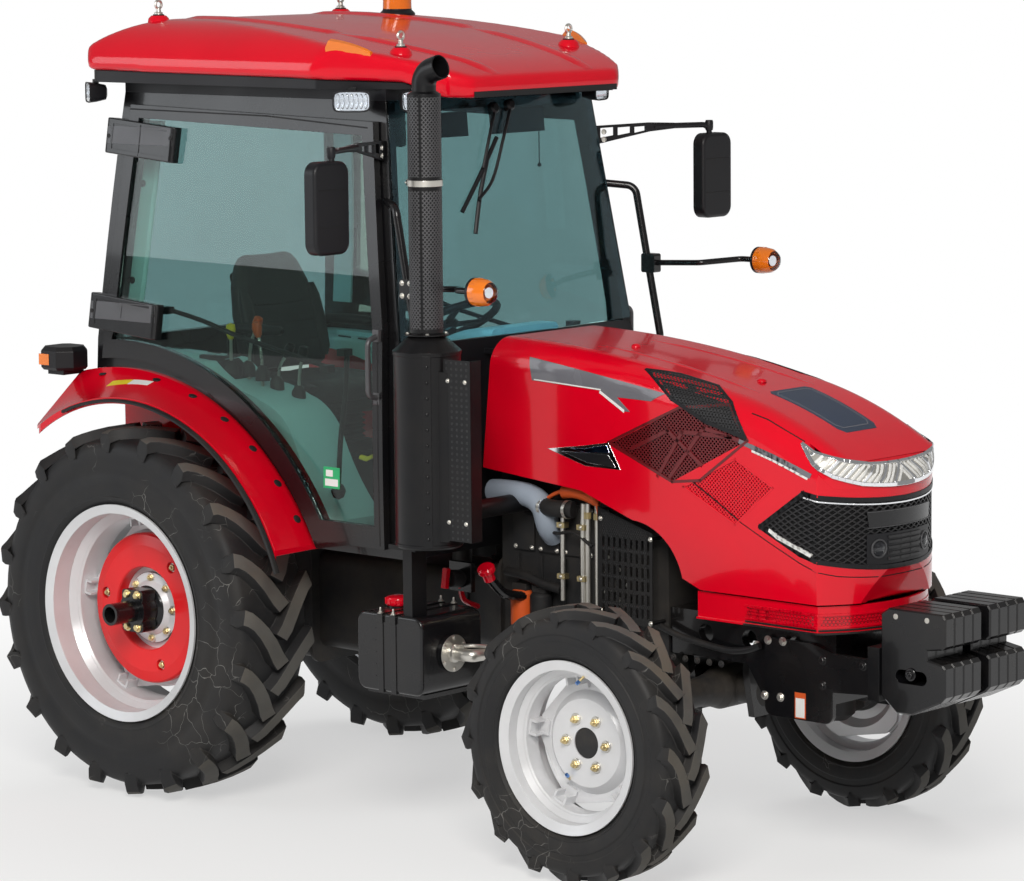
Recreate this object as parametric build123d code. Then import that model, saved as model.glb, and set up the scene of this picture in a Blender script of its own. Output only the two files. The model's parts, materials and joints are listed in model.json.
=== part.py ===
from build123d import *
import os
from math import sqrt

# Compact cab tractor, four-wheel drive, about 45 kW.  Millimetres, +X forward, +Y to the
# driver's left, +Z up.  Everything is laid out from the rear axle (x = 0) on the ground (z = 0);
# export() moves the finished nodes so that the origin is at the middle of the overall length.
# Outlines in the XZ plane are lists of (x, z).  Side pieces are drawn for the right side (y < 0)
# and mirrored for the left.

# ---------------------------------------------------------------- driving dimensions
WHEELBASE = 2060
GAP = 0.3                    # seat clearance between pieces that do not touch face to face
RUN = 6.0                    # running clearance between bodies
PIN_PLAY = 1                 # radial play of an eye on its pin

# rear wheels: 28 inch rim
REAR_TRACK = 660             # half track
REAR_R = 650                 # tyre radius over the lugs, and the axle height
REAR_SECTION = 345
REAR_TREAD = 62              # rubber at the crown
REAR_RIM_R = 381             # flange radius
REAR_RIM_W = 330
REAR_HUB_R = 38
REAR_BAR_END = 865           # |y| of the outer end of the bar axle
RING = {"outer": 265, "inner": 146, "thick": 46}
# front wheels: 20 inch rim
FRONT_TRACK = 729
FRONT_R = 445
FRONT_SECTION = 210
FRONT_TREAD = 44
FRONT_RIM_R = 279.4
FRONT_RIM_W = 188
FRONT_HUB_R = 50
# rim section, below the flange radius
SEAT_DROP = 25.4
WELL_DROP = 52
RIM_T = 7

# front axle
KINGPIN_Y = 575              # |y| of the steering axis
PORTAL_RISE = 80             # axle tube above the wheel centre
AXLE_TUBE_R = 48
PIVOT_TUBE_R = 50
AXLE_CASE_R = 70
STEER_ARM = 150              # kingpin to tie rod, rearward
STEER_ROD_R = 12
BEAM_Z = FRONT_R + PORTAL_RISE
STEER_ROD_Z = FRONT_R + 20

# cab
FLOOR_T = 20
FLOOR_Z = 950
BELT_Z = 1700
EAVES_Z = 2440
CAB_HALF = {"floor": 622, "belt": 590, "eaves": 515}     # half width at three heights
DOOR_T = 28
FRAME_IN, FRAME_OUT = -46, -6      # side frame, measured from the side surface
FIREWALL_X = 1190
SEAT_Z = 1150                # platform under the seat
CAB_BASE_Z = FLOOR_Z - FLOOR_T
LINER_Z = EAVES_Z + 38       # underside of the roof overhang
PILLAR_FOOT = (FIREWALL_X - 52, BELT_Z - 58)     # front edge of the front pillar
PILLAR_HEAD = (1020, EAVES_Z)
REAR_HEAD = (-246, EAVES_Z)  # rear edge of the rear pillar, top and bottom
REAR_FOOT = (-330, 1570)
DOOR_BORDER = 46             # width of the door frame around its glass
DOOR_LIFT = 34               # door edge above the fender circle
DOOR_REAR = [(-262, 1600), (-178, EAVES_Z - 40)]
DOOR_FRONT = [(1000, EAVES_Z - 68), (1092, BELT_Z - 10), (1118, FLOOR_Z + 12)]
DOOR_PIN_R = 9
HINGE_OUT = 34               # pin centre outboard of the side surface
HINGES = [(-304, BELT_Z - 24), (-256, EAVES_Z - 150)]     # x, z of the two door hinges
COVER = {"front": 330, "half": 62, "out": 22}             # hinge cover around the pin

# fender arch over the rear wheel: inner edge circle and outer edge circle in the XZ plane
ARCH_T = 8
ARCH_IN = {"x": -155, "z": REAR_R - 212, "r": REAR_R + 384, "y": 620, "rear": -393,
           "front": REAR_R + 107}
ARCH_OUT = {"x": 45, "z": REAR_R - 50, "r": REAR_R + 150, "y": 822, "rear": 175 - REAR_R,
            "front": REAR_R + 125}
ARCH_CORNER = 130            # plan radius of the rear outer corner
WELL_Y = 464                 # inner wall of the wheel well

# hood and nose
HOOD_W = 300                 # half width
HOOD_T = 12
HOOD_SHOULDER = 90
HOOD_REAR = (FIREWALL_X + 100, 1650)
HOOD_HINGE = (HOOD_REAR[0] + 15, HOOD_REAR[1] - 50)
HOOD_PIN_R = 8
NOSE_X = WHEELBASE + 718
NOSE_R = 430                 # plan radius of the nose
CHIN_TOP = 895
CHIN_BOTTOM = 806

# drive line and front end
ENGINE_X = (FIREWALL_X + 40, WHEELBASE - 100)
ENGINE_Z = (560, 1200)
ENGINE_HALF = 190
PIVOT_X = (WHEELBASE - 75, WHEELBASE + 130)      # ends of the axle pivot tube
SUPPORT_END = WHEELBASE + 580
SUPPORT_HALF = 180
SUPPORT_Z = (650, 800)
WEIGHT_X = (WHEELBASE + 782, WHEELBASE + 1030)
WEIGHT_COUNT = 4             # suitcase weights in each of the two packs
WEIGHT_T = 48
LINK_END_X = -930            # lower link ball centres
LINK_BALL_Y = 360
LINK_BORE_R = 14.3
PTO_R = 17.5

REAR_END_X = LINK_END_X - 40
ORIGIN_X = (WEIGHT_X[1] + REAR_END_X) / 2


# ---------------------------------------------------------------- helpers
def block(x, y, z):
    """Box between the pairs x, y and z."""
    return Pos((x[0] + x[1]) / 2, (y[0] + y[1]) / 2, (z[0] + z[1]) / 2) * Box(
        x[1] - x[0], y[1] - y[0], z[1] - z[0])


def side_plate(points, y0, y1):
    """Polygon of (x, z) points, extruded from y0 to y1."""
    face = make_face(Polyline(*[(x, 0, z) for x, z in points], close=True))
    return Pos(0, y0, 0) * extrude(face, amount=y1 - y0, dir=(0, 1, 0))


def rod(p, q, radius):
    """Round bar from p to q."""
    axis = Vector(*q) - Vector(*p)
    return Plane(origin=p, z_dir=axis) * Cylinder(radius, axis.length,
                                                   align=(Align.CENTER, Align.CENTER, Align.MIN))


def bent_tube(points, radius, bend):
    """Round bar along a path with rounded corners."""
    path = FilletPolyline(*points, radius=bend)
    start = Plane(origin=path @ 0, z_dir=path % 0)
    return sweep(start * Circle(radius), path=path)


def turned(profile, x, y, z):
    """Closed profile of (radius, offset along +Y) turned about the wheel axis at x, y, z."""
    face = make_face(Polyline(*[(r, o, 0) for r, o in profile], close=True))
    return Pos(x, y, z) * revolve(face, Axis.Y)


def upright(profile, x, y):
    """Closed profile of (radius, z) turned about the vertical axis at x, y."""
    face = make_face(Polyline(*[(r, 0, z) for r, z in profile], close=True))
    return Pos(x, y, 0) * revolve(face, Axis.Z)


def other_side(shape):
    """The same piece on the other side of the tractor."""
    return mirror(shape, Plane.XZ)


def sided(right, side):
    """A right-hand piece (y < 0) as it is on the named side."""
    return right if side == "right" else other_side(right)


def side_y(z):
    """Half width of the cab side at height z."""
    z0, z1 = CAB_BASE_Z, EAVES_Z + 30
    low, mid, top = CAB_HALF["floor"], CAB_HALF["belt"], CAB_HALF["eaves"]
    t = (z - z0) / (z1 - z0)
    bow = mid - (low + top) / 2
    return low + (top - low) * t + 4 * bow * t * (1 - t)


def side_surface(inner, outer, x=(-500, 1400)):
    """Right side wall of the cab between two offsets from its curved surface."""
    z0, z2 = CAB_BASE_Z, EAVES_Z + 30
    z1 = (z0 + z2) / 2
    arcs = [ThreePointArc(*[(0, -(side_y(z) + o), z) for z in (z0, z1, z2)])
            for o in (inner, outer)]
    ends = [Line(arcs[0] @ k, arcs[1] @ k) for k in (0, 1)]
    return Pos(x[0], 0, 0) * extrude(make_face(arcs + ends), amount=x[1] - x[0], dir=(1, 0, 0))


def circle_z(arc, x, grow=0):
    """Height of a fender circle at x."""
    return arc["z"] + sqrt((arc["r"] + grow) ** 2 - (x - arc["x"]) ** 2)


def circle_x(arc, z, grow=0):
    """Front crossing of a fender circle with height z."""
    return arc["x"] + sqrt((arc["r"] + grow) ** 2 - (z - arc["z"]) ** 2)


def arch_curve(arc, x0, x1, grow=0):
    """Part of a fender circle between two x values, in the XZ plane."""
    mid = (x0 + x1) / 2
    return ThreePointArc(*[(x, 0, circle_z(arc, x, grow)) for x in (x0, mid, x1)])


def outline(edges, y0, y1):
    """Closed chain of edges in the XZ plane, extruded from y0 to y1."""
    return Pos(0, y0, 0) * extrude(make_face(edges), amount=y1 - y0, dir=(0, 1, 0))


def chain(points):
    """Open chain of lines through (x, z) points."""
    return [Line((a[0], 0, a[1]), (b[0], 0, b[1])) for a, b in zip(points, points[1:])]


def bowed(p, q, bow):
    """Arc in the XZ plane from p to q, bowed to the left of its travel (upward if p is ahead)."""
    a, b = Vector(p[0], 0, p[1]), Vector(q[0], 0, q[1])
    along = b - a
    left = Vector(-along.Z, 0, along.X).normalized()
    return ThreePointArc(a, (a + b) * 0.5 + left * bow, b)


def across(face, y0=-800, y1=-300):
    """Face in the XZ plane, extruded through the right side of the cab."""
    return Pos(0, y0, 0) * extrude(face, amount=y1 - y0, dir=(0, 1, 0))


# ---------------------------------------------------------------- wheels
def tyre(radius, section, tread, rim_r, rim_w, x, y):
    """Tyre with its beads on the rim; the outside is the envelope over the lugs."""
    half, bead, seat = section / 2, rim_w / 2 - 12, rim_r - SEAT_DROP + 1.4
    depth = radius - rim_r
    shoulder = (radius - depth * 0.24, half - 4)
    edge = (radius - depth * 0.07, half * 0.93)
    toe = bead - 22
    def mirrored(p):
        return (p[0], -p[1])
    lip, belly = (rim_r + 3, bead), (rim_r + depth * 0.42, half)
    edges = [Line((seat, toe), (seat, bead)), Line((seat, bead), lip),
             ThreePointArc(lip, belly, shoulder), Line(shoulder, edge),
             ThreePointArc(edge, (radius, 0), mirrored(edge)),
             Line(mirrored(edge), mirrored(shoulder)),
             ThreePointArc(mirrored(shoulder), mirrored(belly), mirrored(lip)),
             Line(mirrored(lip), (seat, -bead)), Line((seat, -bead), (seat, -toe)),
             ThreePointArc((seat, -toe), (radius - tread, 0), (seat, toe))]
    return Pos(x, y, radius) * revolve(make_face(edges), Axis.Y)


def rim(rim_r, rim_w, x, y, z):
    """Rim with two flanges, bead seats and a drop centre."""
    half, seat, well = rim_w / 2, rim_r - SEAT_DROP, rim_r - WELL_DROP
    outside = [(rim_r, half), (rim_r, half - 8), (seat, half - 12), (seat, half * 0.55),
               (well, half * 0.35)]
    inside = [(well - RIM_T, half * 0.3), (seat - RIM_T, half * 0.5), (seat - RIM_T, half - 10)]
    profile = outside + [(r, -o) for r, o in reversed(outside)]
    profile += [(r, -o) for r, o in reversed(inside)] + inside
    return turned(profile, x, y, z)


def wheel_disc(rim_r, centre_r, rise, bore, bolts, pitch_r, x, y, z):
    """Five-pointed disc with its centre raised outboard (-Y), and the rim lugs at its points."""
    reach, t = rim_r - WELL_DROP - RIM_T - 3, 12
    base = centre_r + rise
    dish = turned([(bore, -rise), (centre_r, -rise), (base, 0), (reach, 0), (reach, t),
                   (base, t), (centre_r, t - rise), (bore, t - rise)], 0, 0, 0)
    star = Circle(base + 8) + RegularPolygon(reach + 22, 5, rotation=100)
    star &= Circle(reach)
    star -= PolarLocations(pitch_r, bolts) * Circle(7)
    disc = dish & Pos(0, rise, 0) * Rot(90, 0, 0) * extrude(star, amount=2 * rise + 2 * t,
                                                             both=True)
    lug_r = reach - 44
    for k in range(5):
        lug = block((lug_r, reach + 5), (-10, 0), (-26, 26))
        lug += block((reach - 4, reach + 6), (-52, 0), (-26, 26))
        for dz in (-26, 18):
            lug += block((lug_r + 16, reach + 5), (-52, 0), (dz, dz + 8))
        disc += Rot(0, -100 - 72 * k, 0) * lug
    return Pos(x, y, z) * disc


def rear_wheel(side):
    """Rear wheel pieces on one side: tyre, rim with disc, ring weight, bar axle with clamp hub."""
    y, z = -REAR_TRACK, REAR_R
    disc_y, rise = y + 22, 12
    face_y = disc_y - rise
    pieces = {"tyre": tyre(REAR_R, REAR_SECTION, REAR_TREAD, REAR_RIM_R, REAR_RIM_W, 0, y)}
    disc = wheel_disc(REAR_RIM_R, RING["outer"] - 2, rise, 70, 8, 102.5, 0, disc_y, z)
    pieces["rim"] = rim(REAR_RIM_R, REAR_RIM_W, 0, y, z) + disc
    outer, inner, thick = RING["outer"], RING["inner"], RING["thick"]
    ring = turned([(inner, 0), (inner, 4 - thick), (inner + 4, -thick), (outer - 42, -thick),
                   (outer - 6, 8 - thick), (outer, 16 - thick), (outer, 0)], 0, face_y, z)
    for k in range(3):
        spot = Pos(0, face_y, z) * Rot(0, 70 + 120 * k, 0)
        ring -= spot * rod(((outer + inner) / 2, 0, 0), ((outer + inner) / 2, -thick, 0), 8)
        ring -= spot * rod(((outer + inner) / 2, 14 - thick, 0),
                           ((outer + inner) / 2, -thick, 0), 20)
    pieces["weight"] = ring
    hub = rod((0, -WELL_Y + 54, z), (0, -REAR_BAR_END, z), REAR_HUB_R)
    hub += turned([(0, 12), (69.5, 12), (69.5, 0), (125, 0), (125, -14), (96, -18), (74, -40),
                   (62, -46), (62, -112), (0, -112)], 0, face_y, z)
    clamp = block((-52, 52), (face_y - 108, face_y - 48), (z - 74, z + 74))
    hub += fillet(clamp.edges().filter_by(Axis.Y), 14)
    hub -= rod((0, -REAR_BAR_END, z), (0, -REAR_BAR_END + 60, z), REAR_HUB_R - 10)
    pieces["axle"] = hub
    return {k: sided(s, side) for k, s in pieces.items()}


def front_wheel(side):
    """Front wheel pieces on one side: tyre and rim with dished disc."""
    x, y, z = WHEELBASE, -FRONT_TRACK, FRONT_R
    rise = 26
    disc = wheel_disc(FRONT_RIM_R, 142, rise, FRONT_HUB_R, 6, 84, x, y + 12 + rise - 2, z)
    pieces = {"tyre": tyre(FRONT_R, FRONT_SECTION, FRONT_TREAD, FRONT_RIM_R, FRONT_RIM_W, x, y),
              "rim": rim(FRONT_RIM_R, FRONT_RIM_W, x, y, z) + disc}
    return {k: sided(s, side) for k, s in pieces.items()}


# ---------------------------------------------------------------- drive line
CASE = {"half": 175, "low": 430, "top": 860}      # rear axle centre housing
BOX = {"half": 150, "low": 470, "top": 820, "front": 700}    # gearbox with its drop case
BELL = {"half": 190, "low": ENGINE_Z[0], "top": 880, "length": 190}
CASE_X = (-275, 300)
TRUMPET_END = 296


def cross_section(x, part):
    """Rounded section of the housing across X."""
    low, top = part["low"], part["top"]
    plane = Plane(origin=(x, 0, (low + top) / 2), x_dir=(0, 1, 0), z_dir=(1, 0, 0))
    return plane * RectangleRounded(2 * part["half"], top - low, 45)


def transmission():
    """Clutch bell, gearbox and rear axle centre housing with its trumpets and cab mounts."""
    x_rear, x_front = CASE_X
    bell_x = ENGINE_X[0] - BELL["length"]
    neck = {"half": BOX["half"], "low": BELL["low"], "top": BOX["top"]}
    case = extrude(cross_section(x_rear, CASE), amount=x_front - x_rear, dir=(1, 0, 0))
    case += extrude(cross_section(x_front, BOX), amount=BOX["front"] - x_front, dir=(1, 0, 0))
    case += extrude(cross_section(x_front, neck), amount=bell_x - x_front, dir=(1, 0, 0))
    case += loft([cross_section(bell_x, neck), cross_section(ENGINE_X[0], BELL)], ruled=True)
    for x, part in ((x_front, CASE), (ENGINE_X[0] - 14, BELL), (bell_x - 14, neck)):
        flange = {"half": part["half"] + 12, "low": part["low"] - 12, "top": part["top"] + 12}
        case += extrude(cross_section(x, flange), amount=14, dir=(1, 0, 0))
    case += block((x_rear, 160), (-140, 140), (CASE["top"] - 20, CASE["top"] + 70))
    case += rod((x_rear - 15, 0, 600), (x_rear + 20, 0, 600), 80)
    case += block((x_rear - 22, x_rear), (-70, 70), (700, 820))
    for s in (-1, 1):
        trumpet = turned([(0, 0), (135, 0), (135, 22), (112, 34), (84, 90), (78, 240), (84, 262),
                          (112, 268), (112, TRUMPET_END), (0, TRUMPET_END)],
                         0, CASE["half"] - 10, REAR_R)
        for k in range(4):
            rib = block((70, 108), (28, 268), (-5, 5))
            trumpet += Pos(0, CASE["half"] - 10, REAR_R) * Rot(0, 45 + 90 * k, 0) * rib
        trumpet -= rod((0, WELL_Y - 60, REAR_R), (0, WELL_Y + 60, REAR_R), REAR_HUB_R + GAP)
        case += trumpet if s > 0 else other_side(trumpet)
        for x, top in ((40, CASE["top"]), (970, BOX["top"])):
            case += rod((x, s * 110, top - 15), (x, s * 110, top + 15), 46)
            case += rod((x, s * 110, top), (x, s * 110, CAB_BASE_Z if x > 400 else top + 20), 34)
    return case


def engine():
    """Plain engine block at its real place and size."""
    return block(ENGINE_X, (-ENGINE_HALF, ENGINE_HALF), ENGINE_Z)


def front_support():
    """Cast support ahead of the engine, with the axle pivot brackets."""
    (low, top), half, x0, front = SUPPORT_Z, SUPPORT_HALF, ENGINE_X[1], SUPPORT_END
    wall, drop = 30, 90
    x_drop = PIVOT_X[1] + 90
    body = side_plate([(x0, low), (x0, top), (front, top), (front, low - drop),
                       (x_drop + 60, low - drop), (x_drop, low)], -half, half)
    body -= side_plate([(x0 + 60, low - 20), (x0 + 60, top - 40), (front - 60, top - 40),
                        (front - 60, low - drop - 20), (x_drop + 80, low - drop - 20),
                        (x_drop + 20, low - 20)], wall - half, half - wall)
    for x in (x0 + 150, x0 + 330, front - 160):
        for s in (-1, 1):
            body -= rod((x, s * (half - wall - 5), low + 80), (x, s * (half + 5), low + 80), 30)
    x0, x1 = PIVOT_X
    for x in (x0 - 25, x1):
        ear = side_plate([(-90, low + 30), (90, low + 30), (90, low - 60), (60, BEAM_Z - 80),
                          (-60, BEAM_Z - 80), (-90, low - 60)], 0, 25)
        body += Pos(x + 25, 0, 0) * Rot(0, 0, 90) * ear
        body += block((x, x + 25), (-half + wall, half - wall), (low, low + 30))
    return body - rod((x0 - 30, 0, BEAM_Z), (x1 + 30, 0, BEAM_Z), PIVOT_TUBE_R + GAP)


CYLINDER = {"half": 165, "r": 30, "mount": 128}


def front_axle():
    """Driven front axle with its centre case, pivot tube, steering barrel and shaft cover."""
    x, (p0, p1) = WHEELBASE, PIVOT_X
    flange, housing = KINGPIN_Y - 105, KINGPIN_Y - 55
    half = [(0, 0), (AXLE_CASE_R, 0), (AXLE_CASE_R, 60), (AXLE_CASE_R - 12, 95),
            (AXLE_TUBE_R + 4, 130), (AXLE_TUBE_R, 170), (AXLE_TUBE_R, flange),
            (AXLE_TUBE_R + 18, flange), (AXLE_TUBE_R + 18, flange + 14), (AXLE_TUBE_R, flange + 14),
            (AXLE_TUBE_R, housing), (0, housing)]
    arm = turned(half, x, 0, BEAM_Z)
    beam = arm + other_side(arm) + rod((p0 - 25, 0, BEAM_Z), (p1 + 25, 0, BEAM_Z), PIVOT_TUBE_R)
    for s in (-1, 1):
        beam += upright([(0, FRONT_R + 10 + GAP), (64, FRONT_R + 10 + GAP), (64, FRONT_R + 34),
                         (54, FRONT_R + 44), (54, BEAM_Z + 62), (44, BEAM_Z + 74),
                         (22, BEAM_Z + 74), (22, BEAM_Z + 86), (0, BEAM_Z + 86)],
                        x, s * KINGPIN_Y)
    rod_x, r, mount = x - STEER_ARM, CYLINDER["r"], CYLINDER["mount"]
    barrel = rod((rod_x, -CYLINDER["half"], STEER_ROD_Z), (rod_x, CYLINDER["half"], STEER_ROD_Z), r)
    for s in (-1, 1):
        barrel += block((rod_x, x - 20), (s * mount - 12, s * mount + 12),
                        (STEER_ROD_Z - 20, BEAM_Z - 10))
        barrel += rod((rod_x - r - 14, s * mount, STEER_ROD_Z), (rod_x, s * mount, STEER_ROD_Z), 9)
    barrel -= rod((rod_x, -200, STEER_ROD_Z), (rod_x, 200, STEER_ROD_Z), STEER_ROD_R + PIN_PLAY)
    shaft = rod((BOX["front"] + GAP, 0, BEAM_Z), (p0 - 25 - GAP, 0, BEAM_Z), 22)
    for end in (BOX["front"] + GAP, p0 - 25 - GAP - 60):
        shaft += rod((end, 0, BEAM_Z), (end + 60, 0, BEAM_Z), 28)
    return [beam + barrel, shaft]


def steering_rod():
    """Rod of the steering cylinder with a tie rod and a ball eye at each end."""
    x, z, r = WHEELBASE - STEER_ARM, STEER_ROD_Z, STEER_ROD_R
    bar = rod((x, -KINGPIN_Y + 10, z), (x, KINGPIN_Y - 10, z), r)
    for s in (-1, 1):
        bar += upright([(0, z - 12), (20, z - 12), (24, z - 6), (24, z + 6), (20, z + 12),
                        (0, z + 12)], x, s * KINGPIN_Y)
        bar += rod((x, s * (KINGPIN_Y - 75), z), (x, s * (KINGPIN_Y - 110), z), r + 6)
    return bar


def knuckle(side):
    """Final drive case that turns about the kingpin and carries the front wheel."""
    x, top, y = WHEELBASE, FRONT_R + 10, -KINGPIN_Y
    face, neck = 22 - FRONT_TRACK - y, -73
    case = upright([(0, FRONT_R - 122), (40, FRONT_R - 122), (66, FRONT_R - 100), (72, top - 30),
                    (64, top), (0, top)], x, y)
    arm = block((x - 60, x + 60), (y + neck - 4, y), (FRONT_R - 100, top))
    case += fillet(arm.edges().filter_by(Axis.Y), 24)
    case += turned([(0, neck), (90, neck), (104, neck - 9), (104, neck - 27), (92, neck - 33),
                    (112, face + 14), (112, face), (FRONT_HUB_R - GAP, face),
                    (FRONT_HUB_R - GAP, face - 8), (0, face - 8)], x, y, FRONT_R)
    eye = x - STEER_ARM
    lever = Pos(0, 0, FRONT_R - 32) * extrude(
        make_face(Polyline((x, y - 30), (x, y + 30), (eye, y + 20), (eye, y - 20), close=True)),
        amount=24)
    lever += rod((eye, y, FRONT_R - 32), (eye, y, FRONT_R - 8), 24)
    lever += rod((eye, y, FRONT_R - 8), (eye, y, STEER_ROD_Z - 12 - RUN), 10)
    return sided(case + lever, side)


# ---------------------------------------------------------------- front end
def weight_bracket():
    """Two side plates, a cross plate and the bar that the front weights hang on."""
    y0, back = SUPPORT_HALF, WEIGHT_X[0] - 45
    front = SUPPORT_END
    plate = side_plate([(front - 274, 748), (front - 80, 748), (front, 725), (back, 722),
                        (back, 610), (front, 600), (front, 496), (front - 274, 496)], y0, y0 + 16)
    plate = fillet(plate.edges().filter_by(Axis.Y).sort_by(Axis.Z)[:2], 30)
    bar = block((back, WEIGHT_X[0] - GAP), (-222, 222), (600, 770))
    bar -= block((back + 14, WEIGHT_X[0] - 14), (-190, 190), (590, 756))
    bar += block((front + 40, back + 5), (-190, 190), (610, 626))
    return plate + other_side(plate) + bar


def front_weights():
    """Two packs of suitcase weights, each with an upper and a lower nose and a hand hole."""
    back, front = WEIGHT_X
    profile = [(back, 620), (back, 880), (back + 30, 900), (front - 10, 900), (front, 885),
               (front, 800), (front - 14, 788), (front - 70, 780), (front - 70, 752),
               (front - 12, 742), (front, 730), (front, 640), (front - 20, 620), (front - 130, 570),
               (back + 60, 570)]
    hand_hole = Pos(back + 118, 0, 690) * Rot(-90, 0, 0) * SlotOverall(120, 44)
    solids = []
    for k in range(WEIGHT_COUNT):
        y0 = 22 + k * (WEIGHT_T + GAP)
        plate = side_plate(profile, y0, y0 + WEIGHT_T)
        plate = chamfer(plate.faces().sort_by(Axis.Y)[0].edges(), 5)
        plate = chamfer(plate.faces().sort_by(Axis.Y)[-1].edges(), 5)
        plate -= extrude(Pos(0, y0 - 1, 0) * hand_hole, amount=WEIGHT_T + 2, dir=(0, 1, 0))
        solids += [plate, other_side(plate)]
    return solids


def radiator():
    """Radiator with side frames, tank and fan shroud, and the battery ahead of it."""
    x, half, (low, high) = WHEELBASE + 90, 230, (SUPPORT_Z[1], 1400)
    core = block((x, x + 60), (-half, half), (low + 20, high))
    for s in (-1, 1):
        core += block((x - 6, x + 86), (s * half - 6, s * half + 6), (low, high + 10))
    core += block((x - 10, x + 90), (-half - 6, half + 6), (high, high + 30))
    core += block((x - 10, x + 90), (-half - 6, half + 6), (low, low + 24))
    shroud = rod((x - 70, 0, 1080), (x + 5, 0, 1080), 205)
    core += shroud - rod((x - 80, 0, 1080), (x + 2, 0, 1080), 198)
    battery = block((x + 170, x + 470), (-160, 160), (CHIN_BOTTOM + 12, 1020))
    battery = fillet(battery.edges().filter_by(Axis.Z), 12)
    for s in (-1, 1):
        battery += rod((x + 210, s * 110, 1015), (x + 210, s * 110, 1040), 12)
    return [core, battery]


def side_screens():
    """Slotted screens on both sides of the engine bay, on stand-offs from the engine."""
    x0, x1 = ENGINE_X[1] - 245, ENGINE_X[1] - 10
    y = HOOD_W - 44
    plate = side_plate([(x0, 740), (x0, 1120), (x1, 1050), (x1, 740)], -y - 3, -y)
    for i in range(9):
        for k in range(6):
            x, z = x0 + 20 + 24 * i, 765 + 45 * k
            plate -= block((x, x + 10), (-y - 6, -y + 6), (z, z + 32))
    for x, z in ((x0 + 13, 775), (x0 + 13, 1080), (x1 - 8, 752), (x1 - 8, 1030)):
        plate += rod((x, -y, z), (x, -ENGINE_HALF, z), 7)
    return [plate, other_side(plate)]


def engine_pipes():
    """Intake hose, two coolant pipes and a breather on the right side of the engine."""
    y, x = -ENGINE_HALF, ENGINE_X[0]
    hose = bent_tube([(x + 240, y, 1060), (x + 240, y - 72, 1060), (x + 375, y - 72, 1130),
                      (x + 375, y, 1130)], 30, 34)
    pipes = [hose]
    for k in range(2):
        px = x + 425 + 42 * k
        pipes.append(bent_tube([(px, y, 1120), (px, y - 48, 1120), (px, y - 48, 690),
                                (px, y, 690)], 10, 30))
    pipes.append(bent_tube([(x + 60, y, 860), (x + 60, y - 40, 860), (x + 300, y - 40, 820),
                            (x + 300, y, 820)], 16, 30))
    return pipes


# ---------------------------------------------------------------- sides of the chassis
TANK = {"x": (FIREWALL_X - 107, FIREWALL_X + 189), "y": (-750, -460), "z": (511, 771)}
MUFFLER = {"x": FIREWALL_X + 180, "y": -700, "r": 110, "z": (1007, 1650), "inlet": 1100}
STACK_R = 53


def fuel_tank():
    """Fuel tank with two straps, a bracket from the transmission, and a flanged outlet pipe."""
    (x0, x1), (y0, y1), (z0, z1) = TANK["x"], TANK["y"], TANK["z"]
    tank = block(TANK["x"], TANK["y"], TANK["z"])
    tank = fillet(tank.edges().filter_by(Axis.Y), 36)
    tank = fillet(tank.edges().filter_by(GeomType.LINE).filter_by(Axis.X), 10)
    band = block((x0 + 100, x0 + 122), (y0 - 3, y1 + 3), (z0 - 3, z1 + 3))
    tank += band
    tank += Pos(58, 0, 0) * band
    y_engine, x_engine = -ENGINE_HALF, ENGINE_X[0] + 10
    tank += block((x0 + 20, x1 - 20), (y0 + 30, y_engine), (z0 - 14, z0 + 1))
    tank += block((x_engine, x1 - 20), (y_engine - 12, y_engine), (z0 - 14, 640))
    y, z = (y0 + y1) / 2 - 5, (z0 + z1) / 2
    tank += rod((x1 - 4, y, z), (x1 + 12, y, z), 62)
    pipe = bent_tube([(x1, y, z), (x1 + 96, y, z), (x1 + 96, y + 110, z)], 20, 32)
    tank += pipe + rod((x1 + 96, y + 96, z), (x1 + 96, y + 124, z), 27)
    return tank + upright([(0, z1 - 5), (38, z1 - 5), (38, z1 + 14), (0, z1 + 14)], x0 + 60, y)


def left_step():
    """Two-tread step and battery box on the left, on a bracket from the transmission."""
    x0, x1 = FIREWALL_X - 390, FIREWALL_X - 10
    box = block((x0 + 100, x1), (420, 600), (560, 780))
    box = fillet(box.edges().filter_by(Axis.Z), 16)
    box += block((x0 + 100, x1), (420, 605), (546, 562))
    box += block((x0 + 100, x0 + 210), (BOX["half"], 430), (546, 600))
    box += block((x0, x1), (600, 612), (546, 620))
    for z in (450, 700):
        tread = block((x0, x1), (610, 726), (z, z + 22)) - block((x0 + 14, x1 - 14), (622, 714),
                                                                (z - 5, z + 12))
        for k in range(7):
            x = x0 + 30 + 48 * k
            tread -= block((x, x + 30), (630, 706), (z - 5, z + 30))
        box += tread
    for x in (x0, x1 - 12):
        box += block((x, x + 12), (600, 726), (450, 800))
    return box


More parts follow.
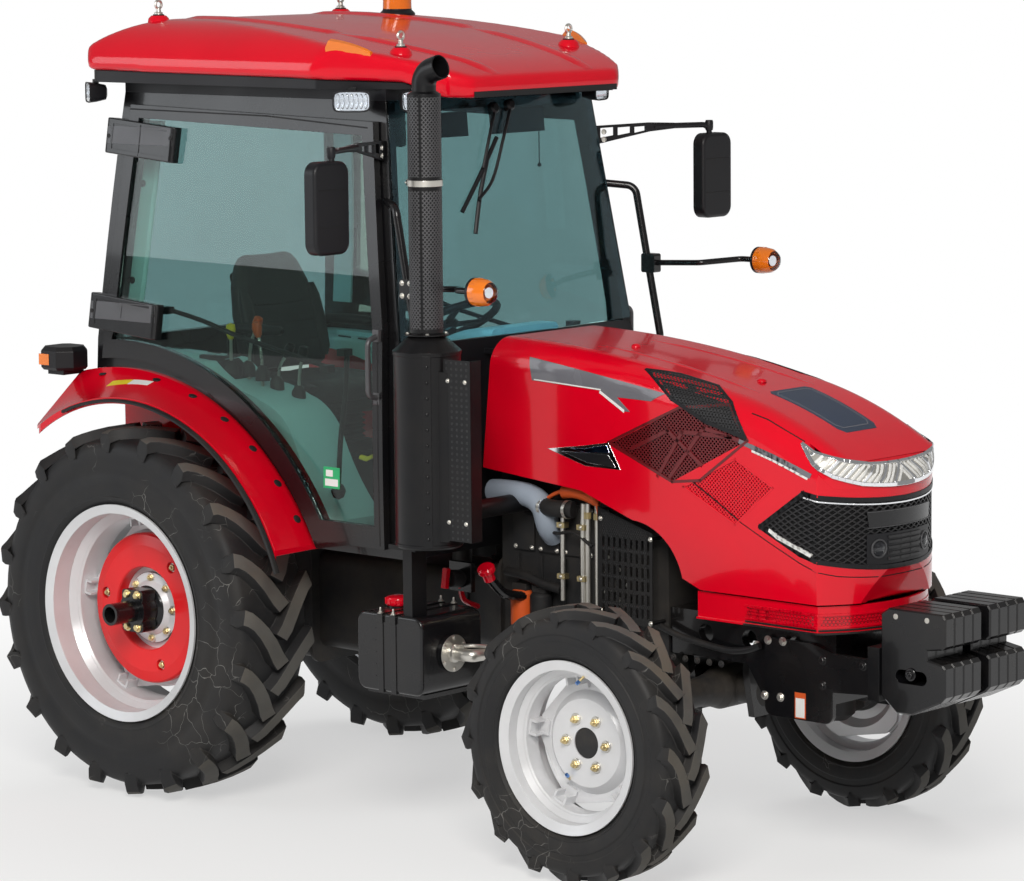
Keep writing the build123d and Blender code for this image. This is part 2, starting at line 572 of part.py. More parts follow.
def muffler():
    """Muffler can with seam, cone, inlet pipe, legs on the tank and a heat shield."""
    x, y, r, (z0, z1) = MUFFLER["x"], MUFFLER["y"], MUFFLER["r"], MUFFLER["z"]
    can = upright([(0, z0), (r - 6, z0), (r, z0 + 6), (r, z1 - 4), (r + 3, z1 - 4), (r + 3, z1),
                   (56, z1 + 50), (56, z1 + 56), (0, z1 + 56)], x, y)
    can += rod((x, -ENGINE_HALF, MUFFLER["inlet"]), (x, y, MUFFLER["inlet"]), 32)
    can += rod((x, -ENGINE_HALF, MUFFLER["inlet"]), (x, -ENGINE_HALF - 14, MUFFLER["inlet"]), 52)
    leg_x = x - 67
    can += block((leg_x - 20, leg_x + 20), (y - 35, y + 35), (TANK["z"][1], z0 + 1))
    can += block((leg_x - 60, leg_x + 60), (y - 60, y + 60), (z0 - 14, z0 + 1))
    seam = Pos(x, y, 0) * Rot(0, 0, -48) * block((r - 2, r + 4), (-14, 14), (z0 + 8, z1 - 8))
    shield = block((20, r + 10), (-72, -66), (z0 + 30, z1 - 60))
    shield += block((r - 4, r + 10), (-72, 72), (z0 + 30, z1 - 60))
    return can + seam + Pos(x, y, 0) * Rot(0, 0, 12) * shield


def exhaust_stack():
    """Upright stack with its shield tube, band clamp and curved mouth."""
    x, y, z0 = MUFFLER["x"], MUFFLER["y"], MUFFLER["z"][1] + 56
    top = EAVES_Z + 40
    tube = upright([(0, z0), (STACK_R, z0), (STACK_R, top), (42, top + 8), (0, top + 8)], x, y)
    tube += bent_tube([(x, y, top), (x, y, top + 65), (x + 75, y, top + 88)], 40, 52)
    tube -= bent_tube([(x, y, top - 70), (x, y, top + 65), (x + 76, y, top + 88.5)], 36, 52)
    z = EAVES_Z - 258
    return tube + rod((x, y, z), (x, y, z + 22), STACK_R + 4) + block(
        (x - 66, x - 50), (y - 20, y + 20), (z + 2, z + 20))


# ---------------------------------------------------------------- cab
def door_face(inset=0):
    """Door outline in the XZ plane: straight edges and the arc that follows the fender."""
    (rx0, rz0), (rx1, rz1) = DOOR_REAR
    (fx0, fz0), (fx1, fz1), (fx2, fz2) = DOOR_FRONT
    grow = ARCH_T + DOOR_LIFT + inset * 1.4
    base = fz2 + inset * 1.6
    start_x = rx0 - 8 + inset
    corner = circle_x(ARCH_IN, base, grow)
    edges = chain([(start_x, circle_z(ARCH_IN, start_x, grow)), (rx0 + inset, rz0),
                   (rx1 + inset, rz1 - inset), (fx0 - inset, fz0 - inset), (fx1 - inset, fz1),
                   (fx2 - inset, base), (corner, base)])
    edges.append(arch_curve(ARCH_IN, corner, start_x, grow))
    return make_face(edges)


def hinge_plane(x, z):
    """Plane on the tilted hinge axis at the hinge x, z: its Z runs up the axis."""
    (x0, z0), (x1, z1) = HINGES
    low, top = [Vector(a, -(side_y(b) + HINGE_OUT), b) for a, b in HINGES]
    return Plane(origin=(x, -(side_y(z) + HINGE_OUT), z), x_dir=(1, 0, (x0 - x1) / (z1 - z0)),
                 z_dir=top - low)


EYE = {"r": 17, "half": 30}                   # door eye on the pin
LEAF = {"r": 13, "from": 31, "to": 40}        # cab bracket leaves above and below the eye


def hinge_arm(x, z, glass_cut):
    """Hinge arm with its eye, inside a cover that is open to the rear and inboard."""
    plane, out, half = hinge_plane(x, z), COVER["out"], COVER["half"]
    cover = block((-16, COVER["front"]), (-out, 80), (-half, half))
    cover = fillet(cover.edges().filter_by(Axis.Z), 18)
    cover = fillet(cover.edges().filter_by(GeomType.PLANE, reverse=True).group_by(Axis.Y)[0], 5)
    cover -= block((24, COVER["front"] - 30), (-out - 1, 2 - out), (18 - half, half - 18))
    cover -= block((-40, 34), (6 - out, 90), (6 - half, half - 6))
    cover -= block((-40, -x + DOOR_REAR[0][0] - 10), (25, 90), (-half - 1, half + 1))
    arm = cover + Cylinder(EYE["r"], 2 * EYE["half"]) + block((0, 40), (-14, 8), (-28, 28))
    arm = plane * arm
    return arm - glass_cut, plane * Cylinder(DOOR_PIN_R + PIN_PLAY, 4 * EYE["half"])


def door(side):
    """Door frame with its hinge arms and covers, its glass, and the pull handle."""
    opening = door_face(DOOR_BORDER)
    frame = side_surface(0, DOOR_T) & across(door_face())
    frame -= across(opening)
    glass = side_surface(11, 17) & across(opening)
    inboard = (side_surface(-150, 17 + GAP) & across(opening)) + side_surface(-150, 0)
    for x, z in HINGES:
        arm, bore = hinge_arm(x, z, inboard)
        frame = frame + arm - bore
    x, z0, z1 = DOOR_FRONT[1][0] - DOOR_BORDER / 2 + 5, 1462, 1672
    y = -side_y((z0 + z1) / 2) - DOOR_T
    handle = bent_tube([(x, y + 10, z0), (x, y - 44, z0 + 12), (x, y - 44, z1 - 12),
                        (x, y + 10, z1)], 9, 26)
    for z in (z0, z1):
        handle += block((x - 14, x + 14), (y - 7, y + 20), (z - 20, z + 20))
    handle = handle - frame - glass
    return sided(frame, side), sided(glass, side), sided(handle, side)


def hinge_pins():
    """Fixed hinge pins between their bracket leaves on the right rear pillar."""
    out = []
    for x, z in HINGES:
        pin = Cylinder(DOOR_PIN_R, 2 * LEAF["to"] + 12)
        for s in (-1, 1):
            z0, z1 = sorted((s * LEAF["from"], s * LEAF["to"]))
            leaf = Pos(0, 0, (z0 + z1) / 2) * Cylinder(LEAF["r"], z1 - z0)
            pin += leaf + block((-LEAF["r"], LEAF["r"]), (0, HINGE_OUT - FRAME_OUT + 5), (z0, z1))
        out.append(hinge_plane(x, z) * pin)
    return out


def cab_frame():
    """Side frames with pillars, joined by the front, rear and floor cross rails."""
    grow = ARCH_T + GAP
    base = CAB_BASE_Z
    x_rear = REAR_FOOT[0]
    corner = circle_x(ARCH_IN, base, grow)
    edges = chain([(x_rear, circle_z(ARCH_IN, x_rear, grow)), REAR_FOOT, REAR_HEAD, PILLAR_HEAD,
                   PILLAR_FOOT, (FIREWALL_X, 1400), (FIREWALL_X, base), (corner, base)])
    edges.append(arch_curve(ARCH_IN, corner, x_rear, grow))
    frame = side_surface(FRAME_IN, FRAME_OUT) & across(make_face(edges))
    frame -= across(door_face(30))
    for pin in hinge_pins():
        frame += pin
    frame += other_side(frame)
    y = side_y(EAVES_Z) + FRAME_IN + 6
    x_head, x_rear_head = PILLAR_HEAD[0], REAR_HEAD[0]
    frame += block((x_head - 45, x_head), (-y, y), (EAVES_Z - 45, EAVES_Z))
    frame += block((x_rear_head + 6, x_rear_head + 46), (-y, y), (EAVES_Z - 45, EAVES_Z))
    y = side_y(1540) + FRAME_IN + 6
    return frame + block((x_rear, x_rear + 40), (-y, y), (1520, 1570))


def cab_floor():
    """Floor pan, seat platform, firewall and lower rear wall."""
    y = side_y(FLOOR_Z) + FRAME_IN - GAP
    x0, x_rear, inner = circle_x(ARCH_IN, CAB_BASE_Z, ARCH_T) + 1, REAR_FOOT[0], 300
    pan = block((x0, FIREWALL_X), (-y, y), (CAB_BASE_Z, FLOOR_Z))
    pan += block((380, x0), (-inner, inner), (CAB_BASE_Z, FLOOR_Z))
    pan += block((380, 396), (-inner, inner), (CAB_BASE_Z, SEAT_Z))
    pan += block((x_rear, 396), (-inner, inner), (SEAT_Z - 16, SEAT_Z))
    pan += block((x_rear, x_rear + 16), (-inner, inner), (SEAT_Z - 16, 1520 - GAP))
    pan += block((140, 160), (-130, 130), (CAB_BASE_Z, SEAT_Z))
    for x in (790, 890, 990, 1090):
        for s in (-1, 1):
            rib = block((x, x + 60), (s * 300 - 110, s * 300 + 110), (FLOOR_Z - 1, FLOOR_Z + 5))
            pan += fillet(rib.edges().filter_by(Axis.Z), 20)
    y = side_y(1400) + FRAME_IN - 14
    wall = block((FIREWALL_X - 20, FIREWALL_X), (-y, y), (CAB_BASE_Z, PILLAR_FOOT[1] - 2))
    return pan + fillet(wall.edges().filter_by(Axis.X).group_by(Axis.Z)[-1], 60)


def cab_consoles():
    """Moulded consoles over the wheel wells on both sides of the seat."""
    grow = ARCH_T + 1
    x0, x1 = REAR_FOOT[0] + 18, circle_x(ARCH_IN, FLOOR_Z + GAP, grow)
    top = [bowed((x0, 1519), (130, 1512), 4), bowed((130, 1512), (250, 1440), -6),
           bowed((250, 1440), (440, 1398), 8), bowed((440, 1398), (600, 1262), 26),
           bowed((600, 1262), (x1 + 20, FLOOR_Z + 60), -14)]
    edges = chain([(x0, circle_z(ARCH_IN, x0, grow)), (x0, 1519)]) + top
    edges += chain([(x1 + 20, FLOOR_Z + 60), (x1 + 20, FLOOR_Z + GAP), (x1, FLOOR_Z + GAP)])
    edges.append(arch_curve(ARCH_IN, x1, x0, grow))
    inner, outer = 300 + GAP, 540
    console = outline(edges, -outer, -inner)
    ridge = [e for e in console.edges() if abs(e.center().Y + inner) < 1 and e.center().Z > 1490]
    console = fillet(ridge, 14)
    console -= block((-200, 60), (-480, -380), (1502, 1530))
    return [console, other_side(console)]


def windscreen():
    """Bowed windscreen ahead of the front pillars."""
    bow, t = 50, 6

    def sheet(x, y, z):
        arcs = [ThreePointArc((x + o, -y, z), (x + bow + o, 0, z), (x + o, y, z)) for o in (0, t)]
        return make_face(arcs + [Line(arcs[0] @ k, arcs[1] @ k) for k in (0, 1)])
    (x0, z0), (x1, z1) = PILLAR_FOOT, PILLAR_HEAD
    return loft([sheet(x0 + 1, side_y(z0) - 8, z0), sheet(x1 + 1, side_y(z1) - 8, z1)])


def rear_window():
    """Flat rear window behind the rear pillars."""
    ends = [Plane(origin=(x - 4, 0, z)) * Rectangle(6, 2 * (side_y(z) - 12))
            for x, z in (REAR_FOOT, REAR_HEAD)]
    return loft(ends)


ROOF_HALF = 640
ROOF_X = (-372, 1290)


def roof_plan(inset, z, height):
    """Roof outline with rounded corners, seen from above, as a solid from z up."""
    w, (x0, x1) = ROOF_HALF - inset, ROOF_X
    pts = [(x0 + inset, 70 - w), (x0 + 72, -w), (800, -w), (x1 - 60, inset - 430),
           (x1 - 10 - inset, inset - 370)]
    pts += [(x, -y) for x, y in reversed(pts)]
    face = make_face(Polyline(*[(x, y, 0) for x, y in pts], close=True))
    return Pos(0, 0, z) * extrude(fillet(face.vertices(), 45), amount=height)


def cab_roof():
    """Moulded roof: side profile crossed with a rounded cross-section and the plan outline."""
    e, w, (x0, x1) = EAVES_Z, ROOF_HALF + 1, ROOF_X
    x_rear = x0 - 8                                 # the plan outline cuts the rear end
    top = [ThreePointArc((x_rear, 0, e + 132), (x0 + 160, 0, e + 226), (0, 0, e + 258)),
           ThreePointArc((0, 0, e + 258), (560, 0, e + 222), (1080, 0, e + 140)),
           ThreePointArc((1080, 0, e + 140), (1200, 0, e + 108), (x1, 0, e + 72))]
    low = chain([(x1, e + 72), (x1, e + 6), (x1 - 100, e + 12), (1080, e + 60), (700, e + 72),
                 (x_rear, e + 80), (x_rear, e + 132)])
    profile = outline(top + low, -w, w)
    bows = [ThreePointArc((0, s * w, e + 116), (0, s * 560, e + 214), (0, s * 420, e + 256))
            for s in (-1, 1)]
    section = make_face([*bows, Line(bows[0] @ 1, bows[1] @ 1), Line((0, -w, e), (0, w, e)),
                         *[Line((0, s * w, e), (0, s * w, e + 116)) for s in (-1, 1)]])
    roof = profile & Pos(x_rear, 0, 0) * extrude(section, amount=x1 - x_rear, dir=(1, 0, 0))
    return roof & roof_plan(0, e - 20, 400)


def roof_liner():
    """Black underside of the roof, on the cab frame."""
    e, half = EAVES_Z, ROOF_HALF + 60
    slab = roof_plan(25, LINER_Z, 60)
    keep = side_plate([(-365, LINER_Z), (-365, e + 79.5), (700, e + 71.5), (1078, e + 59.5),
                       (1122, LINER_Z)], -half, half)
    y = side_y(EAVES_Z) + FRAME_OUT
    return (slab & keep) + block((REAR_HEAD[0], PILLAR_HEAD[0]), (-y, y), (EAVES_Z, LINER_Z))


def arch_band(arc, low, high):
    """Band of a fender circle between two radial offsets."""
    x0, x1 = arc["rear"], arc["front"]
    inside, outside = arch_curve(arc, x0, x1, low), arch_curve(arc, x1, x0, high)
    return make_face([inside, Line(inside @ 1, outside @ 0), outside, Line(outside @ 1, inside @ 0)])


def fenders():
    """Rear fender on each side: flared arch with its lip, inner arch and wheel-well wall."""
    y_in, y_out, r = ARCH_IN["y"], ARCH_OUT["y"], ARCH_CORNER
    inner_face = arch_band(ARCH_IN, 0, ARCH_T)
    flare = loft([Pos(0, -y_in, 0) * inner_face, Pos(0, -y_out, 0) * arch_band(ARCH_OUT, 0, ARCH_T)],
                 ruled=True)
    flare += Pos(0, -y_out, 0) * extrude(arch_band(ARCH_OUT, -14, ARCH_T), amount=6, dir=(0, 1, 0))
    x0, x1 = ARCH_OUT["rear"] - 5, ARCH_OUT["front"] + 5
    y_wide, y_narrow = y_out + 5, y_in - 5
    plan = block((x0, x1), (-y_wide, -y_narrow), (0, 2 * REAR_R + 400))
    corner = plan.edges().filter_by(Axis.Z).group_by(Axis.X)[0].sort_by(Axis.Y)[0]
    flare &= fillet(corner, r)
    arch = Pos(0, -y_in, 0) * extrude(inner_face, amount=y_in - WELL_Y, dir=(0, 1, 0))
    x0, low = REAR_FOOT[0], CAB_BASE_Z + 10
    x1 = circle_x(ARCH_IN, low, 2)
    wall = chain([(x0, circle_z(ARCH_IN, x0, 2)), (x0, 1000), (0, low), (x1, low)])
    wall.append(arch_curve(ARCH_IN, x1, x0, 2))
    well = outline(wall, -WELL_Y - 6, -WELL_Y)
    fender = flare + arch + well
    return [fender, other_side(fender)]


def seat():
    """Driver's seat on its suspension base."""
    base = block((0, 320), (-150, 150), (SEAT_Z, SEAT_Z + 40))
    base += block((30, 290), (-120, 120), (SEAT_Z + 30, 1310))
    base += block((-10, 340), (-160, 160), (1290, 1325))
    cushion = block((-60, 400), (-235, 235), (1320, 1430))
    cushion = fillet(cushion.edges().filter_by(Axis.Z), 60)
    cushion = fillet(cushion.edges().group_by(Axis.Z)[-1], 28)
    back = side_plate([(-60, 1380), (60, 1430), (-20, 1860), (-90, 1870), (-140, 1800)], -225, 225)
    back = fillet(back.edges().filter_by(Axis.Y), 20)
    back = fillet([e for e in back.edges() if abs(e.center().Y) > 224 and e.center().Z > 1600], 16)
    return base + cushion + back


COLUMN_TOP = (800, 0, 1640)      # steering wheel hub
COLUMN_FOOT = (1010, 0, 1250)


def dash():
    """Dash pod with the steering column, from the floor to the firewall."""
    x1 = FIREWALL_X - 20 - GAP
    edges = chain([(x1, FLOOR_Z), (930, FLOOR_Z), (930, 1250), (865, 1500)])
    edges += [bowed((865, 1500), (930, 1612), 14), bowed((930, 1612), (x1, 1660), 16),
              Line((x1, 0, 1660), (x1, 0, FLOOR_Z))]
    pod = outline(edges, -170, 170)
    pod = fillet([e for e in pod.edges() if abs(e.center().Y) > 169 and e.center().Z > 1640], 20)
    axis = (Vector(*COLUMN_TOP) - Vector(*COLUMN_FOOT)).normalized()
    end, collar = Vector(*COLUMN_TOP) - axis * 20, Vector(*COLUMN_TOP) - axis * 90
    pod += rod(COLUMN_FOOT, (end.X, end.Y, end.Z), 26)
    return pod + rod(COLUMN_FOOT, (collar.X, collar.Y, collar.Z), 40)


def steering_wheel():
    """Three-spoke steering wheel with a dished hub."""
    axis = (Vector(*COLUMN_TOP) - Vector(*COLUMN_FOOT)).normalized()
    hub = upright([(0, -19), (36, -19), (48, -8), (44, 4), (0, 8)], 0, 0)
    wheel = Torus(190, 14) + hub
    for k in range(3):
        spoke = Rot(0, 0, 90 + 120 * k) * Pos(108, 0, -3) * Box(156, 26, 10)
        wheel += fillet(spoke.edges().filter_by(Axis.Z), 4)
    return Plane(origin=COLUMN_TOP, z_dir=axis) * wheel


# ---------------------------------------------------------------- cab outside
MIRROR = (1200, -976, 2120)


def mirrors():
    """Mirror heads on pierced arms from the front pillars."""
    x, y, z = MIRROR
    head = block((x - 24, x + 24), (y - 80, y + 80), (z - 150, z + 150))
    head = fillet(head.edges().filter_by(Axis.X), 40)
    head = fillet(head.edges().group_by(Axis.X)[-1], 12)
    root = Vector(1020, -side_y(2280) + 16, 2275)
    reach = Vector(x, y + 20, 2275) - root
    plane = Plane(origin=root, x_dir=reach, z_dir=(reach.Y, -reach.X, 0))
    plate = make_face(Polyline((0, -34), (0, 34), (230, 40), (330, 36), (330, 16), (230, 8),
                               close=True))
    for x0, x1 in ((36, 90), (104, 156), (170, 214)):
        low = 10 - 22 * (1 - x0 / 230)
        plate -= make_face(Polyline((x0, low), (x0, 26), (x1, 28), (x1, low + 8), close=True))
    plate = plane * Pos(0, 0, -5) * extrude(plate, amount=10)
    start = root + reach.normalized() * 250 + Vector(0, 0, 26)
    arm = bent_tube([(start.X, start.Y, start.Z), (x, y + 20, 2300), (x, y + 20, z + 140)], 10, 28)
    mirror_arm = head + plate + arm
    return [mirror_arm, other_side(mirror_arm)]


def handrails():
    """Grab rails along the front pillars with the turn signal arms."""
    rail = bent_tube([(1050, -side_y(2111) + 10, 2111), (1150, -608, 2100), (1262, -612, 1560),
                      (1148, -side_y(1500) + 14, 1500)], 13, 40)
    rail += bent_tube([(1206, -612, 1833), (1440, -608, 1845), (1530, -726, 1855),
                       (1590, -726, 1855)], 10, 30)
    clamp = block((1185, 1245), (-632, -596), (1800, 1866))
    rail += fillet(clamp.edges().filter_by(Axis.Y), 8)
    return [rail, other_side(rail)]


def signal_lamps():
    """Turn signals at the ends of their arms, and the tail lamps on the fenders."""
    lamp = upright([(0, 0), (24, 0), (34, 10), (46, 16), (46, 46), (42, 72), (28, 94), (0, 102)],
                   0, 0)
    lamp = Pos(1590, -726, 1855) * Rot(0, 90, 0) * lamp
    base = 2 * REAR_R + 162
    tail = block((-498, -352), (-735, -590), (base, base + 83))
    tail = chamfer(tail.edges().filter_by(Axis.Z), 24)
    tail = chamfer(tail.edges().group_by(Axis.Z)[-1], 14)
    tail += block((-470, -380), (-715, -610), (base - 17, base + 2))
    tail -= fenders()[0]
    tail = tail.solids().sort_by(SortBy.VOLUME)[-1]
    return [lamp, other_side(lamp), tail, other_side(tail)]


def work_lamps():
    """Work lamps under the corners of the roof."""
    lamps = []
    for x, y, turn in ((930, -574, -55), (1088, -450, -20), (-318, -574, 235)):
        lamp = block((-34, 34), (-46, 46), (LINER_Z - 68, LINER_Z - 8))
        lamp = fillet(lamp.edges().filter_by(Axis.X), 10)
        lamp += rod((-24, 0, LINER_Z - 12), (-24, 0, LINER_Z), 10)
        lamp = Pos(x, y, 0) * Rot(0, 0, turn) * lamp
        lamps += [lamp, other_side(lamp)]
    return lamps


def beacon():
    """Rotating beacon on its base, left of the roof's middle."""
    z = EAVES_Z + 228
    return upright([(0, z), (64, z), (64, z + 26), (56, z + 34), (52, z + 40), (50, z + 112),
                    (40, z + 126), (0, z + 132)], 180, 430)


# ---------------------------------------------------------------- rear hitch
def hitch():
    """Three-point hitch: lift arms, lift rods, lower links with ball ends, and the top link."""
    pieces = []
    for s in (-1, 1):
        link = rod((-245, s * 230, 480), (LINK_END_X, s * LINK_BALL_Y, 420), 16)
        link += rod((LINK_END_X, s * (LINK_BALL_Y - 22), 420),
                    (LINK_END_X, s * (LINK_BALL_Y + 22), 420), 40)
        link += rod((-230, s * CASE["half"], 480), (-230, s * 252, 480), 22)
        link += rod((-230, s * 208, 480), (-230, s * 252, 480), 36)
        link -= rod((LINK_END_X, s * (LINK_BALL_Y - 30), 420),
                    (LINK_END_X, s * (LINK_BALL_Y + 30), 420), LINK_BORE_R)
        y0, y1 = sorted((s * 205, s * 230))
        arm = side_plate([(-170, 870), (-170, 950), (-230, 955), (-500, 930), (-520, 905),
                          (-500, 880), (-230, 872)], y0, y1)
        arm += rod((-200, s * 140, 912), (-200, s * 231, 912), 26)
        top, foot = Vector(-500, s * 246, 905), Vector(-560, s * 287, 464)
        arm += rod((-500, s * 205, 905), (-500, s * 262, 905), 13)
        arm += rod((top.X, top.Y, top.Z), (foot.X, foot.Y, foot.Z), 11)
        barrel = [top + (foot - top) * t for t in (0.3, 0.72)]
        arm += rod(*[(p.X, p.Y, p.Z) for p in barrel], 19)
        pieces.append(link + arm)
    top_link = rod((-290, 0, 760), (-790, 0, 700), 13)
    top_link += rod((-400, 0, 747), (-660, 0, 716), 21)
    for x, z in ((-790, 700), (-325, 756)):
        top_link += rod((x, -24, z), (x, 24, z), 27)
    return pieces + [top_link - block((CASE_X[0] - 22, -200), (-80, 80), (680, 830))]


def drawbar():
    """Fixed drawbar with a pin hole at its rear end."""
    low, top = 400, CASE["low"]
    bar = block((-560, -200), (-35, 35), (low, top))
    bar = fillet(bar.edges().filter_by(Axis.Z).group_by(Axis.X)[0], 30)
    bar += block((-280, -120), (-60, 60), (low + 6, top))
    return bar - rod((-520, 0, low - 10), (-520, 0, top + 10), 13)


def pto_shaft():
    """Power take-off stub at the rear of the transmission."""
    x = CASE_X[0] - 15
    return rod((x, 0, 600), (x - 80, 0, 600), PTO_R)


# ---------------------------------------------------------------- hood
def nose_plan(inset, x_rear, margin=0):
    """Plan of the nose from x_rear forward: straight sides, a margin wider, and a round front."""
    w, r, cx = HOOD_W - inset + margin, NOSE_R - inset, NOSE_X - NOSE_R
    x_arc = cx + sqrt(r ** 2 - w ** 2)
    return make_face([Line((x_rear, -w, 0), (x_arc, -w, 0)),
                      ThreePointArc((x_arc, -w, 0), (cx + r, 0, 0), (x_arc, w, 0)),
                      Line((x_arc, w, 0), (x_rear, w, 0)), Line((x_rear, w, 0), (x_rear, -w, 0))])


def hood_solid(inset=0, floor=0):
    """Outer or inner form of the hood: side profile with round shoulders, crossed with its plan."""
    t, w, f = inset, HOOD_W - inset, WHEELBASE
    (x0, z0), chin_z = HOOD_REAR, CHIN_TOP - floor
    a, b = (x0 - t, z0 - t), (f + 183, 1538 - t)
    c, d = (f + 675 - t, 1340 - t), (NOSE_X + 3 - t, 1240)     # the tip is cut by the plan
    h, i = (f + 50, 925 - floor), (f - 160, 1095 - floor)
    edges = [bowed(a, b, 24), bowed(b, c, 25), bowed(c, d, 8)]
    edges += chain([d, (NOSE_X - t - 6, 1000), (NOSE_X - t - 40, chin_z), (f + 125, chin_z), h])
    edges += [bowed(h, i, -45)]
    edges += chain([i, (f - 380, 1172 - floor), (FIREWALL_X + 55 - t, 1212 - floor), a])
    body = outline(edges, -w - 20, w + 20) & block((1000, NOSE_X + 100), (-w, w), (500, 2000))
    shoulders = [e for e in body.edges() if abs(abs(e.center().Y) - w) < 1 and e.center().Z > 1250
                 and e.geom_type == GeomType.CIRCLE and e.bounding_box().size.X > 30]
    body = fillet(shoulders, HOOD_SHOULDER - t)
    return body & Pos(0, 0, 500) * extrude(nose_plan(inset, 1000, 5), amount=1500)


GRILLE = [(WHEELBASE + 372, 1126), (WHEELBASE + 543, 1245), (WHEELBASE + 840, 1195),
          (WHEELBASE + 840, 968), (WHEELBASE + 530, 1050)]
HEADLAMP = [(WHEELBASE + 540, 1398), (WHEELBASE + 640, 1345), (WHEELBASE + 840, 1325),
            (WHEELBASE + 840, 1242), (WHEELBASE + 630, 1262)]
WINDOWS = ([(-75, 1560), (230, 1500), (320, 1394), (9, 1236), (-260, 1341)],
           [(269, 1331), (55, 1223), (268, 1120), (422, 1252)])
WINDOW_Y = 215                   # the side windows lie outboard of this


def hood():
    """Hood shell split into shell, grille, headlamps and side windows."""
    shell = hood_solid() - hood_solid(HOOD_T, 60)
    grille_zone = side_plate(GRILLE, -400, 400)
    lamp_zone = side_plate(HEADLAMP, -400, 400)
    window_zone = [side_plate([(WHEELBASE + x, z) for x, z in w], s * WINDOW_Y, s * 400)
                   for w in WINDOWS for s in (-1, 1)]
    grille = shell & grille_zone
    lamps = shell & lamp_zone
    windows = [shell & zone for zone in window_zone]
    for zone in [grille_zone, lamp_zone] + window_zone:
        shell -= zone
    x, z = HOOD_HINGE
    for s in (-1, 1):
        ear = block((x - 14, x + 14), (s * 200 - 6, s * 200 + 6), (z - 20, z + 60))
        shell += ear & hood_solid(HOOD_T - 1, 60)
    shell -= rod((x, -230, z), (x, 230, z), HOOD_PIN_R + PIN_PLAY)
    return {"hood_shell": shell, "hood_grille": grille, "headlamps": lamps,
            "hood_windows": windows}


def hood_pins():
    """Hinge pins and brackets that carry the hood, on the firewall."""
    x, z = HOOD_HINGE
    out = []
    for s in (-1, 1):
        pin = rod((x, s * 190, z), (x, s * 240, z), HOOD_PIN_R)
        bracket = [(FIREWALL_X, z - 14), (FIREWALL_X, z + 4), (x - 18, z + 4), (x - 8, z + 14),
                   (x + 12, z + 14), (x + 12, z - 14)]
        pin += side_plate(bracket, s * 222 - 5, s * 222 + 5)
        out.append(pin)
    return out


def chin():
    """Fixed lower panel of the nose, on the front support."""
    low, x0 = SUPPORT_Z[1], WHEELBASE + 105
    panel = Pos(0, 0, CHIN_BOTTOM) * extrude(nose_plan(12, x0), amount=CHIN_TOP - RUN - CHIN_BOTTOM)
    panel -= Pos(0, 0, CHIN_BOTTOM + 12) * extrude(nose_plan(24, x0), amount=200)
    panel += Pos(0, 0, low) * extrude(nose_plan(4, x0), amount=CHIN_BOTTOM - low)
    return panel - block((x0 - 65, x0 + 80), (-262, 262), (low - 10, CHIN_TOP + 5))


# ---------------------------------------------------------------- export
def export(nodes):
    """Write one STEP file per node, with the origin at the middle of the overall length."""
    os.makedirs("parts", exist_ok=True)
    for name, shape in nodes.items():
        pieces = shape if isinstance(shape, list) else [shape]
        solids = [s for piece in pieces for s in piece.solids()]
        moved = [Pos(-ORIGIN_X, 0, 0) * s for s in solids]
        export_step(Compound(children=moved) if len(moved) > 1 else moved[0], f"parts/{name}.step")


def build():
    """All nodes by name."""
    frame, roof = cab_frame(), cab_roof()
    nodes = {"engine_block": engine(), "transmission_housing": transmission(),
             "front_support": front_support(), "front_axle_beam": front_axle(),
             "steering_rod": steering_rod(), "weight_bracket": weight_bracket(),
             "front_weights": front_weights(), "radiator": radiator(),
             "engine_side_screens": side_screens(), "engine_pipes": engine_pipes(),
             "fuel_tank": fuel_tank(), "left_step": left_step(), "exhaust_muffler": muffler(),
             "exhaust_stack": exhaust_stack(), "cab_frame": frame,
             "cab_floor": [cab_floor()] + hood_pins(), "cab_consoles": cab_consoles(),
             "windscreen": windscreen(), "rear_window": rear_window(), "cab_roof": roof,
             "roof_liner": roof_liner(), "rear_fenders": fenders(), "driver_seat": seat(),
             "dash_console": dash(), "mirrors": [piece - frame for piece in mirrors()],
             "handrails": [piece - frame for piece in handrails()],
             "signal_lamps": signal_lamps(), "work_lamps": work_lamps(),
             "beacon": beacon() - roof, "hitch_links": hitch(), "drawbar": drawbar(),
             "pto_shaft": pto_shaft(), "hood_chin": chin(), "steering_wheel": steering_wheel(),
             **hood()}
    for side in ("right", "left"):
        frame, glass, handle = door(side)
        nodes[f"door_frame_{side}"] = frame
        nodes[f"door_glass_{side}"] = glass
        nodes[f"door_handle_{side}"] = handle
        nodes[f"knuckle_{side}"] = knuckle(side)
        for name, shape in rear_wheel(side).items():
            nodes[f"rear_{name}_{side}"] = shape
        for name, shape in front_wheel(side).items():
            nodes[f"front_{name}_{side}"] = shape
    return nodes


if __name__ == "__main__":
    export(build())
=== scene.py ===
"""Compact cab tractor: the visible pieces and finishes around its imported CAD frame.

Lengths are millimetres from the rear axle on the ground where a name ends in _mm or a docstring
says so, as the part is laid out; everything handed to Blender is in metres in the CAD frame
(+X forward, +Y to the driver's left, +Z up).
"""

import json
import logging
import math
from dataclasses import dataclass, field
from enum import Enum
from functools import cache
from typing import Any, Callable, Iterable, Sequence

import bmesh
import bpy
from mathutils import Matrix, Vector
from mathutils.bvhtree import BVHTree

